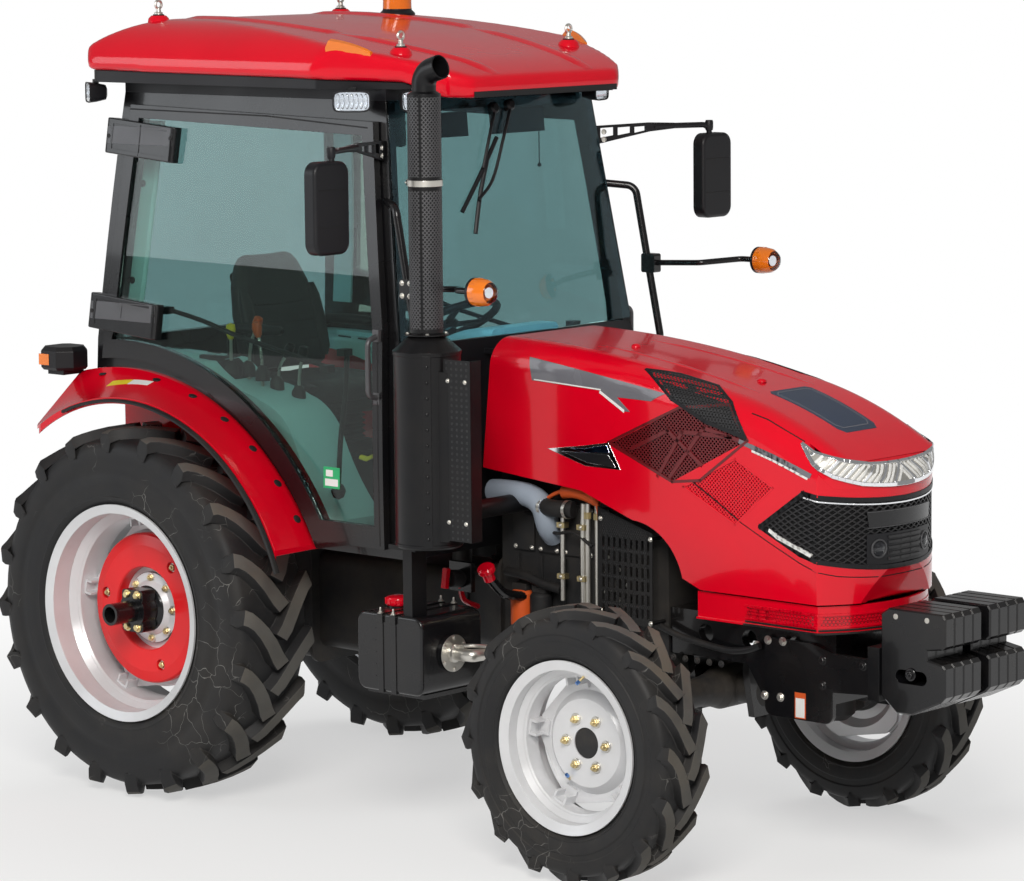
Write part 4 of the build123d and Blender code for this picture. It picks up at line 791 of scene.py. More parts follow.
@dataclass
class Projection:
    """Lays flat outlines on a curved CAD surface.

    Attributes:
        skin: the surface.
        start: gives the ray's start for flat coordinates in millimetres.
        way: gives the ray's direction for them.
    """

    skin: Skin
    start: Callable[[float, float], Vector]
    way: Callable[[float, float], Vector]

    def point(self, u: float, v: float, lift: float) -> Vector | None:
        """Point of the surface for (u, v), raised by lift millimetres along the normal."""
        found = self.skin.hit(self.start(u, v), self.way(u, v))
        return None if found is None else found[0] + found[1] * lift * MM

    def patch(self, form: Form, outline: Sequence[Point], finish: Finish, low: float = -2.0,
              high: float = 0.8, cell: float = 25.0) -> None:
        """Add a thin panel that follows the surface.

        Args:
            form: the piece to add it to.
            outline: the panel's outline in flat coordinates, in millimetres.
            finish: its finish.
            low: height of its back over the surface, in millimetres.
            high: height of its front.
            cell: spacing of the points over the surface.
        """
        mesh = bmesh.new()
        mesh.faces.new([mesh.verts.new((*p, 0)) for p in outline])
        for axis in (0, 1):
            values = [p[axis] for p in outline]
            cut = math.floor(min(values) / cell) * cell + cell
            while cut < max(values):
                where, normal = [0.0, 0.0, 0.0], [0.0, 0.0, 0.0]
                where[axis], normal[axis] = cut, 1.0
                bmesh.ops.bisect_plane(mesh, geom=[*mesh.verts, *mesh.edges, *mesh.faces],
                                       plane_co=where, plane_no=normal, dist=1e-3)
                cut += cell
        mesh.verts.index_update()
        flat = [tuple(v.co[:2]) for v in mesh.verts]
        loops = [tuple(v.index for v in f.verts) for f in mesh.faces]
        rim = [tuple(v.index for v in e.verts) for e in mesh.edges if e.is_boundary]
        mesh.free()
        raised = [(self.point(u, v, low), self.point(u, v, high)) for u, v in flat]
        good = [a is not None and b is not None for a, b in raised]
        count = len(flat)
        points = [a or Vector() for a, _ in raised] + [b or Vector() for _, b in raised]
        faces = [tuple(count + i for i in loop) for loop in loops if all(good[i] for i in loop)]
        faces += [(a, b, count + b, count + a) for a, b in rim if good[a] and good[b]]
        made = form.add(points, faces, finish)
        if not made:
            LOG.warning("a panel of %s missed its surface", finish.name)

    def line(self, form: Form, points: Sequence[Point], width: float, finish: Finish,
             high: float = 0.8, low: float = -2.0) -> None:
        """Add a strip of the given width, in millimetres, along a flat path."""
        for (u0, v0), (u1, v1) in zip(points, points[1:]):
            length = math.hypot(u1 - u0, v1 - v0)
            du, dv = (u1 - u0) / length * width / 2, (v1 - v0) / length * width / 2
            self.patch(form, [(u0 - du + dv, v0 - dv - du), (u1 + du + dv, v1 + dv - du),
                              (u1 + du - dv, v1 + dv + du), (u0 - du - dv, v0 - dv + du)],
                       finish, low, high)

    def screen(self, form: Form, outline: Sequence[Point], pitch: Point, hole: Point, finish: Finish,
               sides: int = 4, low: float = -0.5, high: float = 1.5, stagger: bool = True) -> None:
        """Add a perforated sheet that follows the surface.

        Args:
            form: the piece to add it to.
            outline: the sheet's outline, in flat millimetres.
            pitch: spacing of the holes along u and v.
            hole: radii of a hole along u and v.
            finish: its finish.
            sides: corners of a hole.
            low: height of its back.
            high: height of its front.
            stagger: True shifts every second row by half a pitch.
        """
        du, dv = pitch
        us, vs = [p[0] for p in outline], [p[1] for p in outline]
        for row in range(math.floor(min(vs) / dv), math.ceil(max(vs) / dv) + 1):
            slip = du / 2 if stagger and row % 2 else 0.0
            for column in range(math.floor(min(us) / du) - 1, math.ceil(max(us) / du) + 1):
                u, v = column * du + slip, row * dv
                if inside(outline, u, v):
                    self._cell(form, (u, v), pitch, hole, finish, sides, low, high)

    def _cell(self, form: Form, centre: Point, pitch: Point, hole: Point, finish: Finish,
              sides: int, low: float, high: float) -> None:
        """Add one cell of a perforated sheet around its hole."""
        (u, v), (du, dv), (hu, hv) = centre, pitch, hole
        ring_in, ring_out = [], []
        for k in range(sides):
            angle = 2 * math.pi * (k + (0.0 if sides == 4 else 0.5)) / sides
            c, s = math.cos(angle), math.sin(angle)
            ring_in.append((u + hu * c, v + hv * s))
            if sides == 4:
                ring_out.append((u + du * c / 2, v + dv * s))
            else:
                reach = 1 / max(abs(c), abs(s))
                ring_out.append((u + du / 2 * c * reach, v + dv / 2 * s * reach))
        flat = ring_in + ring_out
        points = [self.point(a, b, h) for h in (low, high) for a, b in flat]
        if any(p is None for p in points):
            return
        n, m = sides, 2 * sides
        faces = []
        for k in range(n):
            j = (k + 1) % n
            faces += [(m + k, m + j, m + n + j, m + n + k), (k, n + k, n + j, j), (k, j, m + j, m + k)]
        form.add(points, faces, finish)


# ------------------------------------------------------------------ wheels
@dataclass
class Tyre:
    """Bar-tread tyre that stands for a CAD tyre.

    Attributes:
        node: the CAD tyre.
        body: the body it rides on.
        rim_mm: flange radius of the rim.
        rim_width_mm: width of the rim.
        lugs: lugs on each half.
        lug_mm: height of a lug.
        sweep: angle from a lug's middle end to its shoulder end, in degrees.
        bar_mm: width of a lug's face at its middle.
        turn: where the first lug starts, in degrees.
    """

    node: str
    body: str
    rim_mm: float
    rim_width_mm: float
    lugs: int
    lug_mm: float
    sweep: float
    bar_mm: float
    turn: float = 0.0

    def __post_init__(self) -> None:
        """Read the tyre's size and place from the frame."""
        low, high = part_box(self.node)
        self.centre = (low + high) / 2
        self.radius = (high.z - low.z) / 2
        self.half = (high.y - low.y) / 2

    def at(self, radius: float, offset: float, angle: float) -> Vector:
        """Point at a radius, an offset along Y and an angle from +X, in metres and radians."""
        return self.centre + Vector((radius * math.cos(angle), offset, radius * math.sin(angle)))

    def carcass(self) -> list[Point]:
        """Half section from the bead to the crown, as (radius, offset) in metres."""
        seat, bead = (self.rim_mm - 24) * MM, (self.rim_width_mm / 2 - 12) * MM
        lip, base = (self.rim_mm + 3) * MM, self.radius - self.lug_mm * MM
        wall = self.radius - self.rim_mm * MM
        rib = 0.0035
        side = [(seat, bead - 0.022), (seat, bead), (lip, bead), (lip + wall * 0.04, bead + 0.010),
                (lip + wall * 0.06, bead + 0.010 + rib), (lip + wall * 0.09, bead + 0.014 + rib),
                (lip + wall * 0.10, bead + 0.015), (lip + wall * 0.20, self.half * 0.965),
                (lip + wall * 0.34, self.half * 0.99), (lip + wall * 0.36, self.half * 0.99 - rib),
                (lip + wall * 0.47, self.half * 0.985 - rib), (lip + wall * 0.49, self.half * 0.98),
                (base - wall * 0.16, self.half * 0.955), (base - wall * 0.07, self.half * 0.90),
                (base - wall * 0.02, self.half * 0.78)]
        return side + [(base, self.half * 0.5), (base + 0.002, self.half * 0.2)]

    def build(self) -> None:
        """Make the carcass and the lugs as one piece."""
        form = Form()
        right = self.carcass()
        inner = [(self.radius - (self.lug_mm + 22) * MM, -self.half * 0.5),
                 (self.radius - (self.lug_mm + 22) * MM, self.half * 0.5)]
        profile = right + [(r, -o) for r, o in reversed(right)] + inner
        steps = 96
        rows = [[self.at(r, o, 2 * math.pi * k / steps) for r, o in profile] for k in range(steps)]
        form.sweep(rows, RUBBER, closed=True, loop=True)
        for hand in (-1, 1):
            for k in range(self.lugs):
                half = 0.5 if hand > 0 else 0.0
                start = math.radians(self.turn) + 2 * math.pi * (k + half) / self.lugs
                self.lug(form, hand, start)
        form.done(f"{self.node}_lugged", "tyre_rubber", self.body, bevel_mm=3.0, angle=40.0,
                  replaces=[self.node])

    def lug(self, form: Form, hand: int, start: float) -> None:
        """Add one curved lug.

        Args:
            form: the piece to add it to.
            hand: -1 or 1, the half of the tread.
            start: angle of its middle end, in radians.
        """
        half, top, base = self.half, self.radius, self.radius - self.lug_mm * MM
        wall, bar = top - self.rim_mm * MM, self.bar_mm * MM
        spine = [(-0.10, base - 0.004, -0.05, top, 1.0), (0.10, base - 0.004, 0.10, top, 1.0),
                 (0.30, base - 0.004, 0.30, top - 0.001, 0.95),
                 (0.50, base - 0.004, 0.50, top - 0.003, 0.90),
                 (0.68, base - 0.006, 0.68, top - 0.006, 0.86),
                 (0.82, base - 0.014, 0.84, top - 0.010, 0.93),
                 (0.88, base - wall * 0.06, 0.95, top - wall * 0.075, 0.98),
                 (0.91, base - wall * 0.12, 0.98, top - wall * 0.17, 0.92),
                 (0.93, base - wall * 0.19, 0.965, top - wall * 0.31, 0.76)]
        rows = []
        for low, r_low, high, r_high, share in spine:
            ring = []
            for across, radius, edge in ((low, r_low, -0.66), (high, r_high, -0.5),
                                         (high, r_high, 0.5), (low, r_low, 0.66)):
                s = max(0.0, min(1.0, across))
                turn = math.radians(self.sweep) * (1 - (1 - s) ** 1.55)
                slope = math.radians(self.sweep) * 1.55 * max(0.0, 1 - s) ** 0.55 * top / half
                lean = 1 / math.hypot(1.0, slope)
                shift = bar * share * edge
                angle = start + turn + shift * lean / top
                offset = hand * (across * half - shift * slope * lean)
                limit = half * 0.985
                ring.append(self.at(radius, max(-limit, min(limit, offset)), angle))
            rows.append(ring)
        points = [p for row in rows for p in row]
        last = len(rows) - 1
        tops, sides = [], [(0, 1, 2, 3), (last * 4 + 3, last * 4 + 2, last * 4 + 1, last * 4)]
        for i in range(last):
            for k in range(4):
                a, b = i * 4 + k, i * 4 + (k + 1) % 4
                (tops if k == 1 else sides).append((a, b, b + 4, a + 4))
        made = form.add(points, sides + tops, RUBBER)
        # the lug's outer faces get the light tan: dust and wear with painted light
        if TREAD_DUST_AND_PAINTED_LIGHT not in form.finishes:
            form.finishes.append(TREAD_DUST_AND_PAINTED_LIGHT)
        for face in made[len(sides):len(sides) + 6]:
            face.material_index = form.finishes.index(TREAD_DUST_AND_PAINTED_LIGHT)


@dataclass
class RearWheel:
    """Bolts and small parts on a rear wheel.

    Attributes:
        side: the wheel's side.
        bolts: bolts of the hub circle.
        circle_mm: radius of the hub circle.
    """

    side: Side
    bolts: int = 8
    circle_mm: float = 107.0

    def build(self) -> None:
        """Make the tyre, the bolts, the hub's silver disc and the bar axle's open end."""
        word, s = self.side.word, self.side.value
        body = f"rear_wheel_{word}"
        Tyre(f"rear_tyre_{word}", body, 381.0, 330.0, 20, 38.0, 17.0, 56.0, turn=6.0).build()
        axle = (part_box(f"rear_rim_{word}")[0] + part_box(f"rear_rim_{word}")[1]) / 2
        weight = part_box(f"rear_weight_{word}")
        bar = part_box(f"rear_axle_{word}")
        outer = weight[0].y if s < 0 else weight[1].y
        inner = weight[1].y if s < 0 else weight[0].y
        form = Form()
        for k in range(self.bolts):
            self.place(form, axle, inner + s * 0.0155, self.circle_mm, 360 / self.bolts * k, 24)
        form.lathe([(124, 8), (124, 14.6), (97, 18.7), (80, 35), (78, 30)], SILVER,
                   facing(Vector((axle.x, inner, axle.z)), (0, s, 0)), 48)
        for k in range(3):
            self.place(form, axle, outer - s * 0.014, 205.5, 50 + 120 * k, 24)
        clamp = inner + s * 0.108
        for x, z in ((-25, 56), (25, 56), (-25, -56), (25, -56)):
            where = Vector((axle.x + x * MM, clamp, axle.z + z * MM))
            form.bolt(facing(where, (0, s, 0)), 24, BRASS)
        tip = bar[0].y if s < 0 else bar[1].y
        end = facing(Vector((axle.x, tip, axle.z)), (0, s, 0))
        form.lathe([(37.5, -12), (37.5, -0.5), (29, -0.5), (28, -50), (0, -50)], BLACK, end, 24)
        form.done(f"rear_wheel_bolts_{word}", "zinc", body, bevel_mm=0.6)

    def place(self, form: Form, axle: Vector, y: float, radius: float, angle: float,
              size: float) -> None:
        """Add one bolt on a circle round the axle, sizes in millimetres."""
        turn = math.radians(angle)
        where = Vector((axle.x + radius * MM * math.cos(turn), y,
                        axle.z + radius * MM * math.sin(turn)))
        form.bolt(facing(where, (0, self.side.value, 0)), size, BRASS, ZINC, stud=6)


@dataclass
class FrontWheel:
    """Nuts and small parts on a front wheel.

    Attributes:
        side: the wheel's side.
        nuts: nuts of the hub circle.
        circle_mm: radius of the hub circle.
    """

    side: Side
    nuts: int = 6
    circle_mm: float = 84.0

    def build(self) -> None:
        """Make the tyre and the nuts."""
        word, s = self.side.word, self.side.value
        body = f"front_wheel_{word}"
        Tyre(f"front_tyre_{word}", body, 279.4, 188.0, 16, 30.0, 24.0, 43.0, turn=4.0).build()
        low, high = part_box(f"front_rim_{word}")
        axle = (low + high) / 2
        skin = Skin(f"front_rim_{word}")
        form = Form()
        for k in range(self.nuts):
            turn = math.radians(360 / self.nuts * k)
            start = Vector((axle.x + self.circle_mm * MM * math.cos(turn) + 0.009, s * 2.0,
                            axle.z + self.circle_mm * MM * math.sin(turn)))
            found = skin.hit(start, (0, -s, 0))
            if found:
                where = Vector((start.x - 0.009, found[0].y, start.z))
                form.bolt(facing(where, (0, s, 0)), 27, BRASS, ZINC, stud=10)
        form.done(f"front_wheel_nuts_{word}", "zinc", body, bevel_mm=0.6)


# ------------------------------------------------------------------ hood and nose
OUTER = ("hood_shell", "hood_windows", "hood_grille", "headlamps")


def from_side(skin: Skin, side: Side) -> Projection:
    """Projection along Y; flat coordinates are (x, z) of the layout."""
    s = side.value
    return Projection(skin, lambda u, v: at(u, s * 1200, v), lambda u, v: Vector((0, -s, 0)))


def from_above(skin: Skin) -> Projection:
    """Projection along Z; flat coordinates are (x, y) of the layout."""
    return Projection(skin, lambda u, v: at(u, v, 3200), lambda u, v: Vector((0, 0, -1)))


def from_shoulder(skin: Skin, side: Side) -> Projection:
    """Projection at 45 degrees onto a shoulder of the hood; v rises from (-300, 1450) in (y, z)."""
    s, k = side.value, math.sqrt(0.5)
    return Projection(skin, lambda u, v: at(u, s * (300 - v * k + 500 * k), 1450 + v * k + 500 * k),
                      lambda u, v: Vector((0, -s * k, -k)))


def level(path: Sequence[Point], u: float) -> float:
    """Height of a flat path at u."""
    for (u0, v0), (u1, v1) in zip(path, path[1:]):
        if min(u0, u1) <= u <= max(u0, u1) and u0 != u1:
            return v0 + (v1 - v0) * (u - u0) / (u1 - u0)
    return path[-1][1]


@dataclass
class Wrap:
    """Flat coordinates round the nose: distance from its tip along the plan, and height.

    Attributes:
        x_mm: middle of the nose's arc.
        radius_mm: its radius.
        half_mm: half width of the hood behind it.
    """

    x_mm: float = 2348.0
    radius_mm: float = 430.0
    half_mm: float = 300.0

    def u(self, x: float) -> float:
        """Distance from the tip of the point of the plan at x."""
        x = min(x, self.x_mm + self.radius_mm)
        y = min(self.half_mm, math.sqrt(max(0.0, self.radius_mm ** 2 - (x - self.x_mm) ** 2)))
        return self.radius_mm * math.atan2(y, x - self.x_mm)

    def run(self, points: Sequence[Point], hand: int = -1, step: float = 22.0) -> list[Point]:
        """Path of (x, z) points carried round the nose on one hand, with points between."""
        out: list[Point] = []
        for (x0, z0), (x1, z1) in zip(points, points[1:]):
            count = max(1, round(abs(self.u(x1) - self.u(x0)) / step))
            for k in range(count):
                t = k / count
                out.append((hand * self.u(x0 + (x1 - x0) * t), z0 + (z1 - z0) * t))
        x, z = points[-1]
        return [*out, (hand * self.u(x), z)]

    def across(self, upper: Sequence[Point], lower: Sequence[Point]) -> list[Point]:
        """Closed outline over both hands, from half outlines that run from the tip's side in."""
        top_right, top_left = self.run(upper, -1), self.run(upper, 1)
        low_right, low_left = self.run(lower, -1), self.run(lower, 1)
        return [*low_right, *reversed(low_left[:-1]), *top_left[1:], *reversed(top_right[1:-1])]

    def laid(self, skin: Skin) -> Projection:
        """The projection towards the nose's axis."""
        def way(u: float, v: float) -> Vector:
            angle = u / self.radius_mm
            return Vector((-math.cos(angle), -math.sin(angle), 0))
        return Projection(skin, lambda u, v: at(self.x_mm, 0, v) - 0.9 * way(u, v), way)


@dataclass
class Hood:
    """Everything that shows on the lifting hood.

    Attributes:
        wrap: flat coordinates round the nose.
        tip_x: x of the nose's tip.
    """

    wrap: Wrap = field(default_factory=Wrap)
    tip_x: float = 2778.0

    def build(self) -> None:
        """Make the grille, lamps, windows and trim."""
        self.skin = Skin(*OUTER)
        self.nose = self.wrap.laid(self.skin)
        self.grille()
        self.lamps()
        for side in Side:
            self.windows(side)
            self.trim(side)
        self.top()

    def both(self, form: Form, path: Sequence[Point], width: float, finish: Finish,
             high: float = 0.8, low: float = -3.0) -> None:
        """Add a strip along a path of (x, z) on both hands of the nose."""
        for hand in (-1, 1):
            self.nose.line(form, self.wrap.run(path, hand), width, finish, high, low)

    def grille(self) -> None:
        """Diamond mesh with its frame, lamp blades, lamp module and blank badge."""
        upper = [(2430, 1124), (2603, 1245), (self.tip_x, 1217)]
        lower = [(2430, 1124), (2590, 1051), (self.tip_x, 1001)]
        form = Form()
        outline = self.wrap.across(upper, lower)
        # matte black sheet behind the mesh: painted shade of the cavity behind the grille
        self.nose.patch(form, outline, GAP_BLACK_AND_PAINTED_SHADE, -11.0, -9.0, 30.0)
        self.nose.screen(form, outline, (33.0, 9.5), (13.0, 7.4), MESH_BLACK, 4, -6.0, -1.5)
        for path in (upper, lower):
            self.both(form, path, 15.0, PLASTIC, 2.0, -8.0)
        self.both(form, [(2606, 1232), (self.tip_x, 1203)], 5.0, CHROME, 1.5)
        form.done("grille_mesh", "grille_plastic", Body.HOOD, replaces=["hood_grille"])
        self.both(form, [(2470, 1114), (2500, 1096), (2628, 1052)], 11.0, WHITE, 3.0, -6.0)
        form.done("lamp_blades", "lamp_clear", Body.HOOD, bevel_mm=1.0)
        self.nose.patch(form, rect(-165, 1012, 165, 1112), PLASTIC, -9.0, 1.0)
        for z in (1028, 1046, 1064, 1082, 1098):
            self.nose.line(form, [(-78, z), (-26, z), (26, z), (78, z)], 9.0, MESH_BLACK, 5.0)
        self.nose.patch(form, [(-158, 1132), (158, 1132), (166, 1182), (-166, 1182)], BLACK, -9.0, 3.0)
        for z in (1132, 1182):
            self.nose.line(form, [(-162, z), (-54, z), (54, z), (162, z)], 3.0, GUNMETAL, 4.0)
        form.done("grille_module", "black_plastic", Body.HOOD, bevel_mm=1.0)
        for u in (-120, 120):
            place = self.nose.point(u, 1064, 0.5)
            if place:
                frame = facing(place, -self.nose.way(u, 1064))
                form.lathe([(31, -4), (31, 3), (26, 4), (25, -2), (18, -8), (0, -8)], GUNMETAL, frame,
                           24)
                form.lathe([(26, -1), (20, 4), (10, 7), (0, 8)], LENS, frame, 24)
        form.done("low_lamps", "lamp_clear", Body.HOOD)

    def lamps(self) -> None:
        """Headlamp strip: red well, zinc backing, slanted bright blades and chrome lips."""
        well = self.wrap.across([(2640, 1356), (2700, 1350), (self.tip_x, 1344)],
                                [(2628, 1258), (2700, 1250), (self.tip_x, 1242)])
        upper = [(2604, 1397), (2656, 1373), (2712, 1349), (2750, 1334), (self.tip_x, 1327)]
        lower = [(2604, 1393), (2646, 1340), (2690, 1302), (2740, 1274), (self.tip_x, 1262)]
        outline = self.wrap.across(upper, lower)
        form = Form()
        self.nose.patch(form, well, RED, -3.0, -0.2, 30.0)
        self.nose.patch(form, outline, ZINC, -1.0, 1.4, 15.0)
        self.both(form, lower, 12.0, CHROME, 6.0, -1.0)
        self.both(form, upper, 7.0, CHROME, 5.4, -1.0)
        count = 17
        for hand in (-1, 1):
            top, low = self.wrap.run(upper, hand), self.wrap.run(lower, hand)
            for k in range(count):
                u = top[0][0] + (top[-1][0] - top[0][0]) * (k + 1.2) / (count + 0.6)
                high, foot = level(top, u), level(low, u)
                slant = hand * (high - foot) * 0.34
                path = [(u + slant, foot + 10), (u - slant, high - 10)]
                self.nose.line(form, path, 8.5, WHITE if k % 3 else CHROME, 3.4 + 1.2 * (k % 2), 0.2)
        form.done("headlamp_strip", "lamp_clear", Body.HOOD, replaces=["headlamps"])

    def windows(self, side: Side) -> None:
        """Perforated windows in the hood's side, and the black mesh over its shoulder."""
        view, shoulder = from_side(self.skin, side), from_shoulder(self.skin, side)
        upper = [(1800, 1341), (2069, 1236), (2185, 1250), (2380, 1394), (2290, 1500), (2100, 1478),
                 (1950, 1410)]
        lower = [(2115, 1223), (2328, 1120), (2482, 1252), (2329, 1331)]
        form = Form()
        # a near-black sheet behind each window is painted shade of the engine bay
        for outline in (upper, lower):
            view.patch(form, outline, PAINTED_SHADE_BACKING, -11.0, -9.0, 30.0)
        view.screen(form, upper, (15.0, 7.5), (5.0, 5.0), DARK_RED, 4, -6.0, -3.0)
        # dark red sheet under the red diamond mesh: painted shade seen through its holes
        view.patch(form, lower, DARK_RED, -8.5, -7.0, 30.0)
        view.screen(form, lower, (14.0, 7.0), (4.1, 4.1), RED, 4, -6.0, -2.0)
        for path in ([(1900, 1330), (2050, 1400), (2190, 1300)],
                     [(2010, 1250), (2110, 1400), (2310, 1400)],
                     [(2060, 1252), (2200, 1420), (2350, 1390)]):
            view.line(form, path, 13.0, DARK_RED, 0.0, -8.0)
        edge = [*upper, upper[0]]
        view.line(form, edge, 9.0, DARK_RED, 1.2, -9.0)
        view.line(form, [*lower, lower[0]], 7.0, RED, 0.4, -9.0)
        form.done(f"hood_window_mesh_{side.word}", "red_mesh", Body.HOOD,
                  replaces=["hood_windows"] if side is Side.RIGHT else [])
        fill = [(1784, -86), (1950, -33), (2113, 22), (2074, 44), (1994, 97), (1934, 116)]
        shoulder.patch(form, fill, RED, -3.0, 0.2, 20.0)
        form.done(f"shoulder_panel_{side.word}", "red_paint", Body.HOOD)
        black = [(1925, 128), (2065, 40), (2203, -5), (2372, -34), (2290, 62), (2192, 128), (2043, 142)]
        # matte black sheet under the shoulder mesh: painted shade seen through its holes
        shoulder.patch(form, black, GAP_BLACK_AND_PAINTED_SHADE, -3.0, 0.5)
        shoulder.screen(form, black, (13.0, 13.0), (3.6, 3.6), MESH_BLACK, 6, 0.2, 1.4, stagger=False)
        shoulder.line(form, [*black, black[0]], 9.0, PLASTIC, 1.8)
        form.done(f"shoulder_mesh_{side.word}", "black_plastic", Body.HOOD)

    def trim(self, side: Side) -> None:
        """Chrome blade with a painted reflection of the sky along its top, side stripes and panel gaps.
        """
        view, hand = from_side(self.skin, side), side.value
        form = Form()
        view.patch(form, [(1537, 1300), (1700, 1256), (1853, 1255), (1800, 1341), (1690, 1322)], CHROME,
                   -2.0, 2.0)
        view.patch(form, [(1600, 1296), (1710, 1268), (1832, 1262), (1800, 1300)], PLASTIC, -2.0, 3.0)
        # blue band along the blade's top: painted reflection of the sky
        view.patch(form, [(1640, 1310), (1700, 1313), (1792, 1332), (1806, 1308), (1700, 1300)],
                   BLUE_METAL_AND_PAINTED_SKY, -2.0, 2.6)
        form.done(f"hood_blade_{side.word}", "chrome", Body.HOOD, bevel_mm=0.6)
        self.band(form, hand, [(2400, 1374), (2480, 1352), (2570, 1323), (2622, 1305)], 17.0,
                  GREY_STRIPE, 1.6)
        self.band(form, hand, [(2400, 1362), (2480, 1340), (2570, 1310), (2616, 1294)], 7.0, WHITE, 2.0)
        view.line(form, [(2352, 1388), (2400, 1374)], 15.0, GREY_STRIPE, 0.7)
        flank = from_shoulder(self.skin, side)
        for outline in ([(1451, 112), (1469, 51), (1765, 42), (1765, 80)],
                        [(1765, 80), (1765, 42), (1838, 30), (1982, 28), (2040, 52)],
                        [(1765, 42), (1859, -1), (1893, -1), (1838, 30)]):
            flank.patch(form, outline, GREY_STRIPE, -1.0, 1.4, 14.0)
        flank.line(form, [(1768, 38), (1866, 0)], 7.0, WHITE, 2.0, 0.0)
        flank.line(form, [(1480, 53), (1768, 44)], 3.0, WHITE, 2.0, 0.0)
        form.done(f"hood_stripes_{side.word}", "grille_plastic", Body.HOOD)
        view.line(form, [(2144, 1248), (2250, 1190), (2355, 1128)], 3.2, GAP_BLACK_AND_PAINTED_SHADE, 0.4)
        self.band(form, hand, [(2355, 1128), (2462, 1078), (2590, 1022), (2700, 985),
                               (self.tip_x, 972)], 3.2, GAP_BLACK_AND_PAINTED_SHADE, 0.4)
        self.band(form, hand, [(2612, 1404), (2450, 1462), (2380, 1478)], 3.2, GAP_BLACK_AND_PAINTED_SHADE, 0.4)
        form.done(f"hood_gaps_{side.word}", "grille_plastic", Body.HOOD)

    def band(self, form: Form, hand: int, points: Sequence[Point], width: float, finish: Finish,
             high: float) -> None:
        """Add a strip round the nose on one hand, along a path of (x, z) points."""
        self.nose.line(form, self.wrap.run(points, hand), width, finish, high)

    def top(self) -> None:
        """Black panel, two creases and washer nozzles on the hood's top."""
        view, form = from_above(self.skin), Form()
        view.patch(form, [(2320, -104), (2580, -96), (2604, -78), (2604, 78), (2580, 96), (2320, 104),
                          (2304, 88), (2304, -88)], PANEL_BLACK, -2.0, 1.0)
        view.line(form, [(2335, -88), (2560, -82), (2580, -64), (2580, 64), (2560, 82), (2335, 88),
                         (2322, 72), (2322, -72), (2335, -88)], 3.0, GREY_STRIPE, 1.8)
        form.done("hood_top_panel", "black_plastic", Body.HOOD, bevel_mm=0.5)
        for y in (-118, 118):
            rows = []
            for x, high in ((1640, 0.2), (1760, 3.0), (1980, 3.2), (2180, 3.0), (2300, 0.2)):
                drift = y * (1 + (x - 1640) / 3200)
                rows.append([view.point(x, drift + dy, lift) for dy, lift in
                             ((-16, -1.0), (-6, high), (6, high), (16, -1.0))])
            form.sweep(rows, RED)
        for x, y in ((1700, -40), (2215, -20)):
            place = view.point(x, y, 0.0)
            form.lathe([(16, -1), (15, 6), (8, 10), (0, 11)], RED, facing(place, (0, 0, 1)), 20)
        form.done("hood_top_creases", "red_paint", Body.HOOD, angle=60.0)


@dataclass
class Chin:
    """Perforated band and rubber lip of the fixed chin."""

    wrap: Wrap = field(default_factory=lambda: Wrap(radius_mm=418.0, half_mm=288.0))

    def build(self) -> None:
        """Make the chin's pieces."""
        nose = self.wrap.laid(Skin("hood_chin"))
        low, high = [(2362, 822), (2766, 822)], [(2362, 862), (2766, 862)]
        form = Form()
        outline = self.wrap.across(high, low)
        # dark red sheet under the perforated band: painted shade seen through its holes
        nose.patch(form, outline, DARK_RED, -3.0, 0.3, 30.0)
        nose.screen(form, outline, (13.0, 10.0), (3.2, 3.2), RED, 6, 0.1, 1.6)
        for side in Side:
            flat = from_side(Skin("hood_chin"), side)
            rear = rect(2368, 824, 2476, 860)
            # the same painted shade sheet under the band's rear ends
            flat.patch(form, rear, DARK_RED, -3.0, 0.3, 30.0)
            flat.screen(form, rear, (13.0, 10.0), (3.2, 3.2), RED, 6, 0.1, 1.6)
        for path in (low, high):
            for hand in (-1, 1):
                nose.line(form, self.wrap.run(path, hand), 7.0, RED, 2.4)
        form.done("chin_band", "red_paint")
        for z, lift in ((812, 2.0), (803, 4.0), (801, 2.0)):
            for hand in (-1, 1):
                nose.line(form, self.wrap.run([(2362, z), (2766, z)], hand), 6.0, SEAL, lift)
        form.done("chin_lip", "black_plastic")


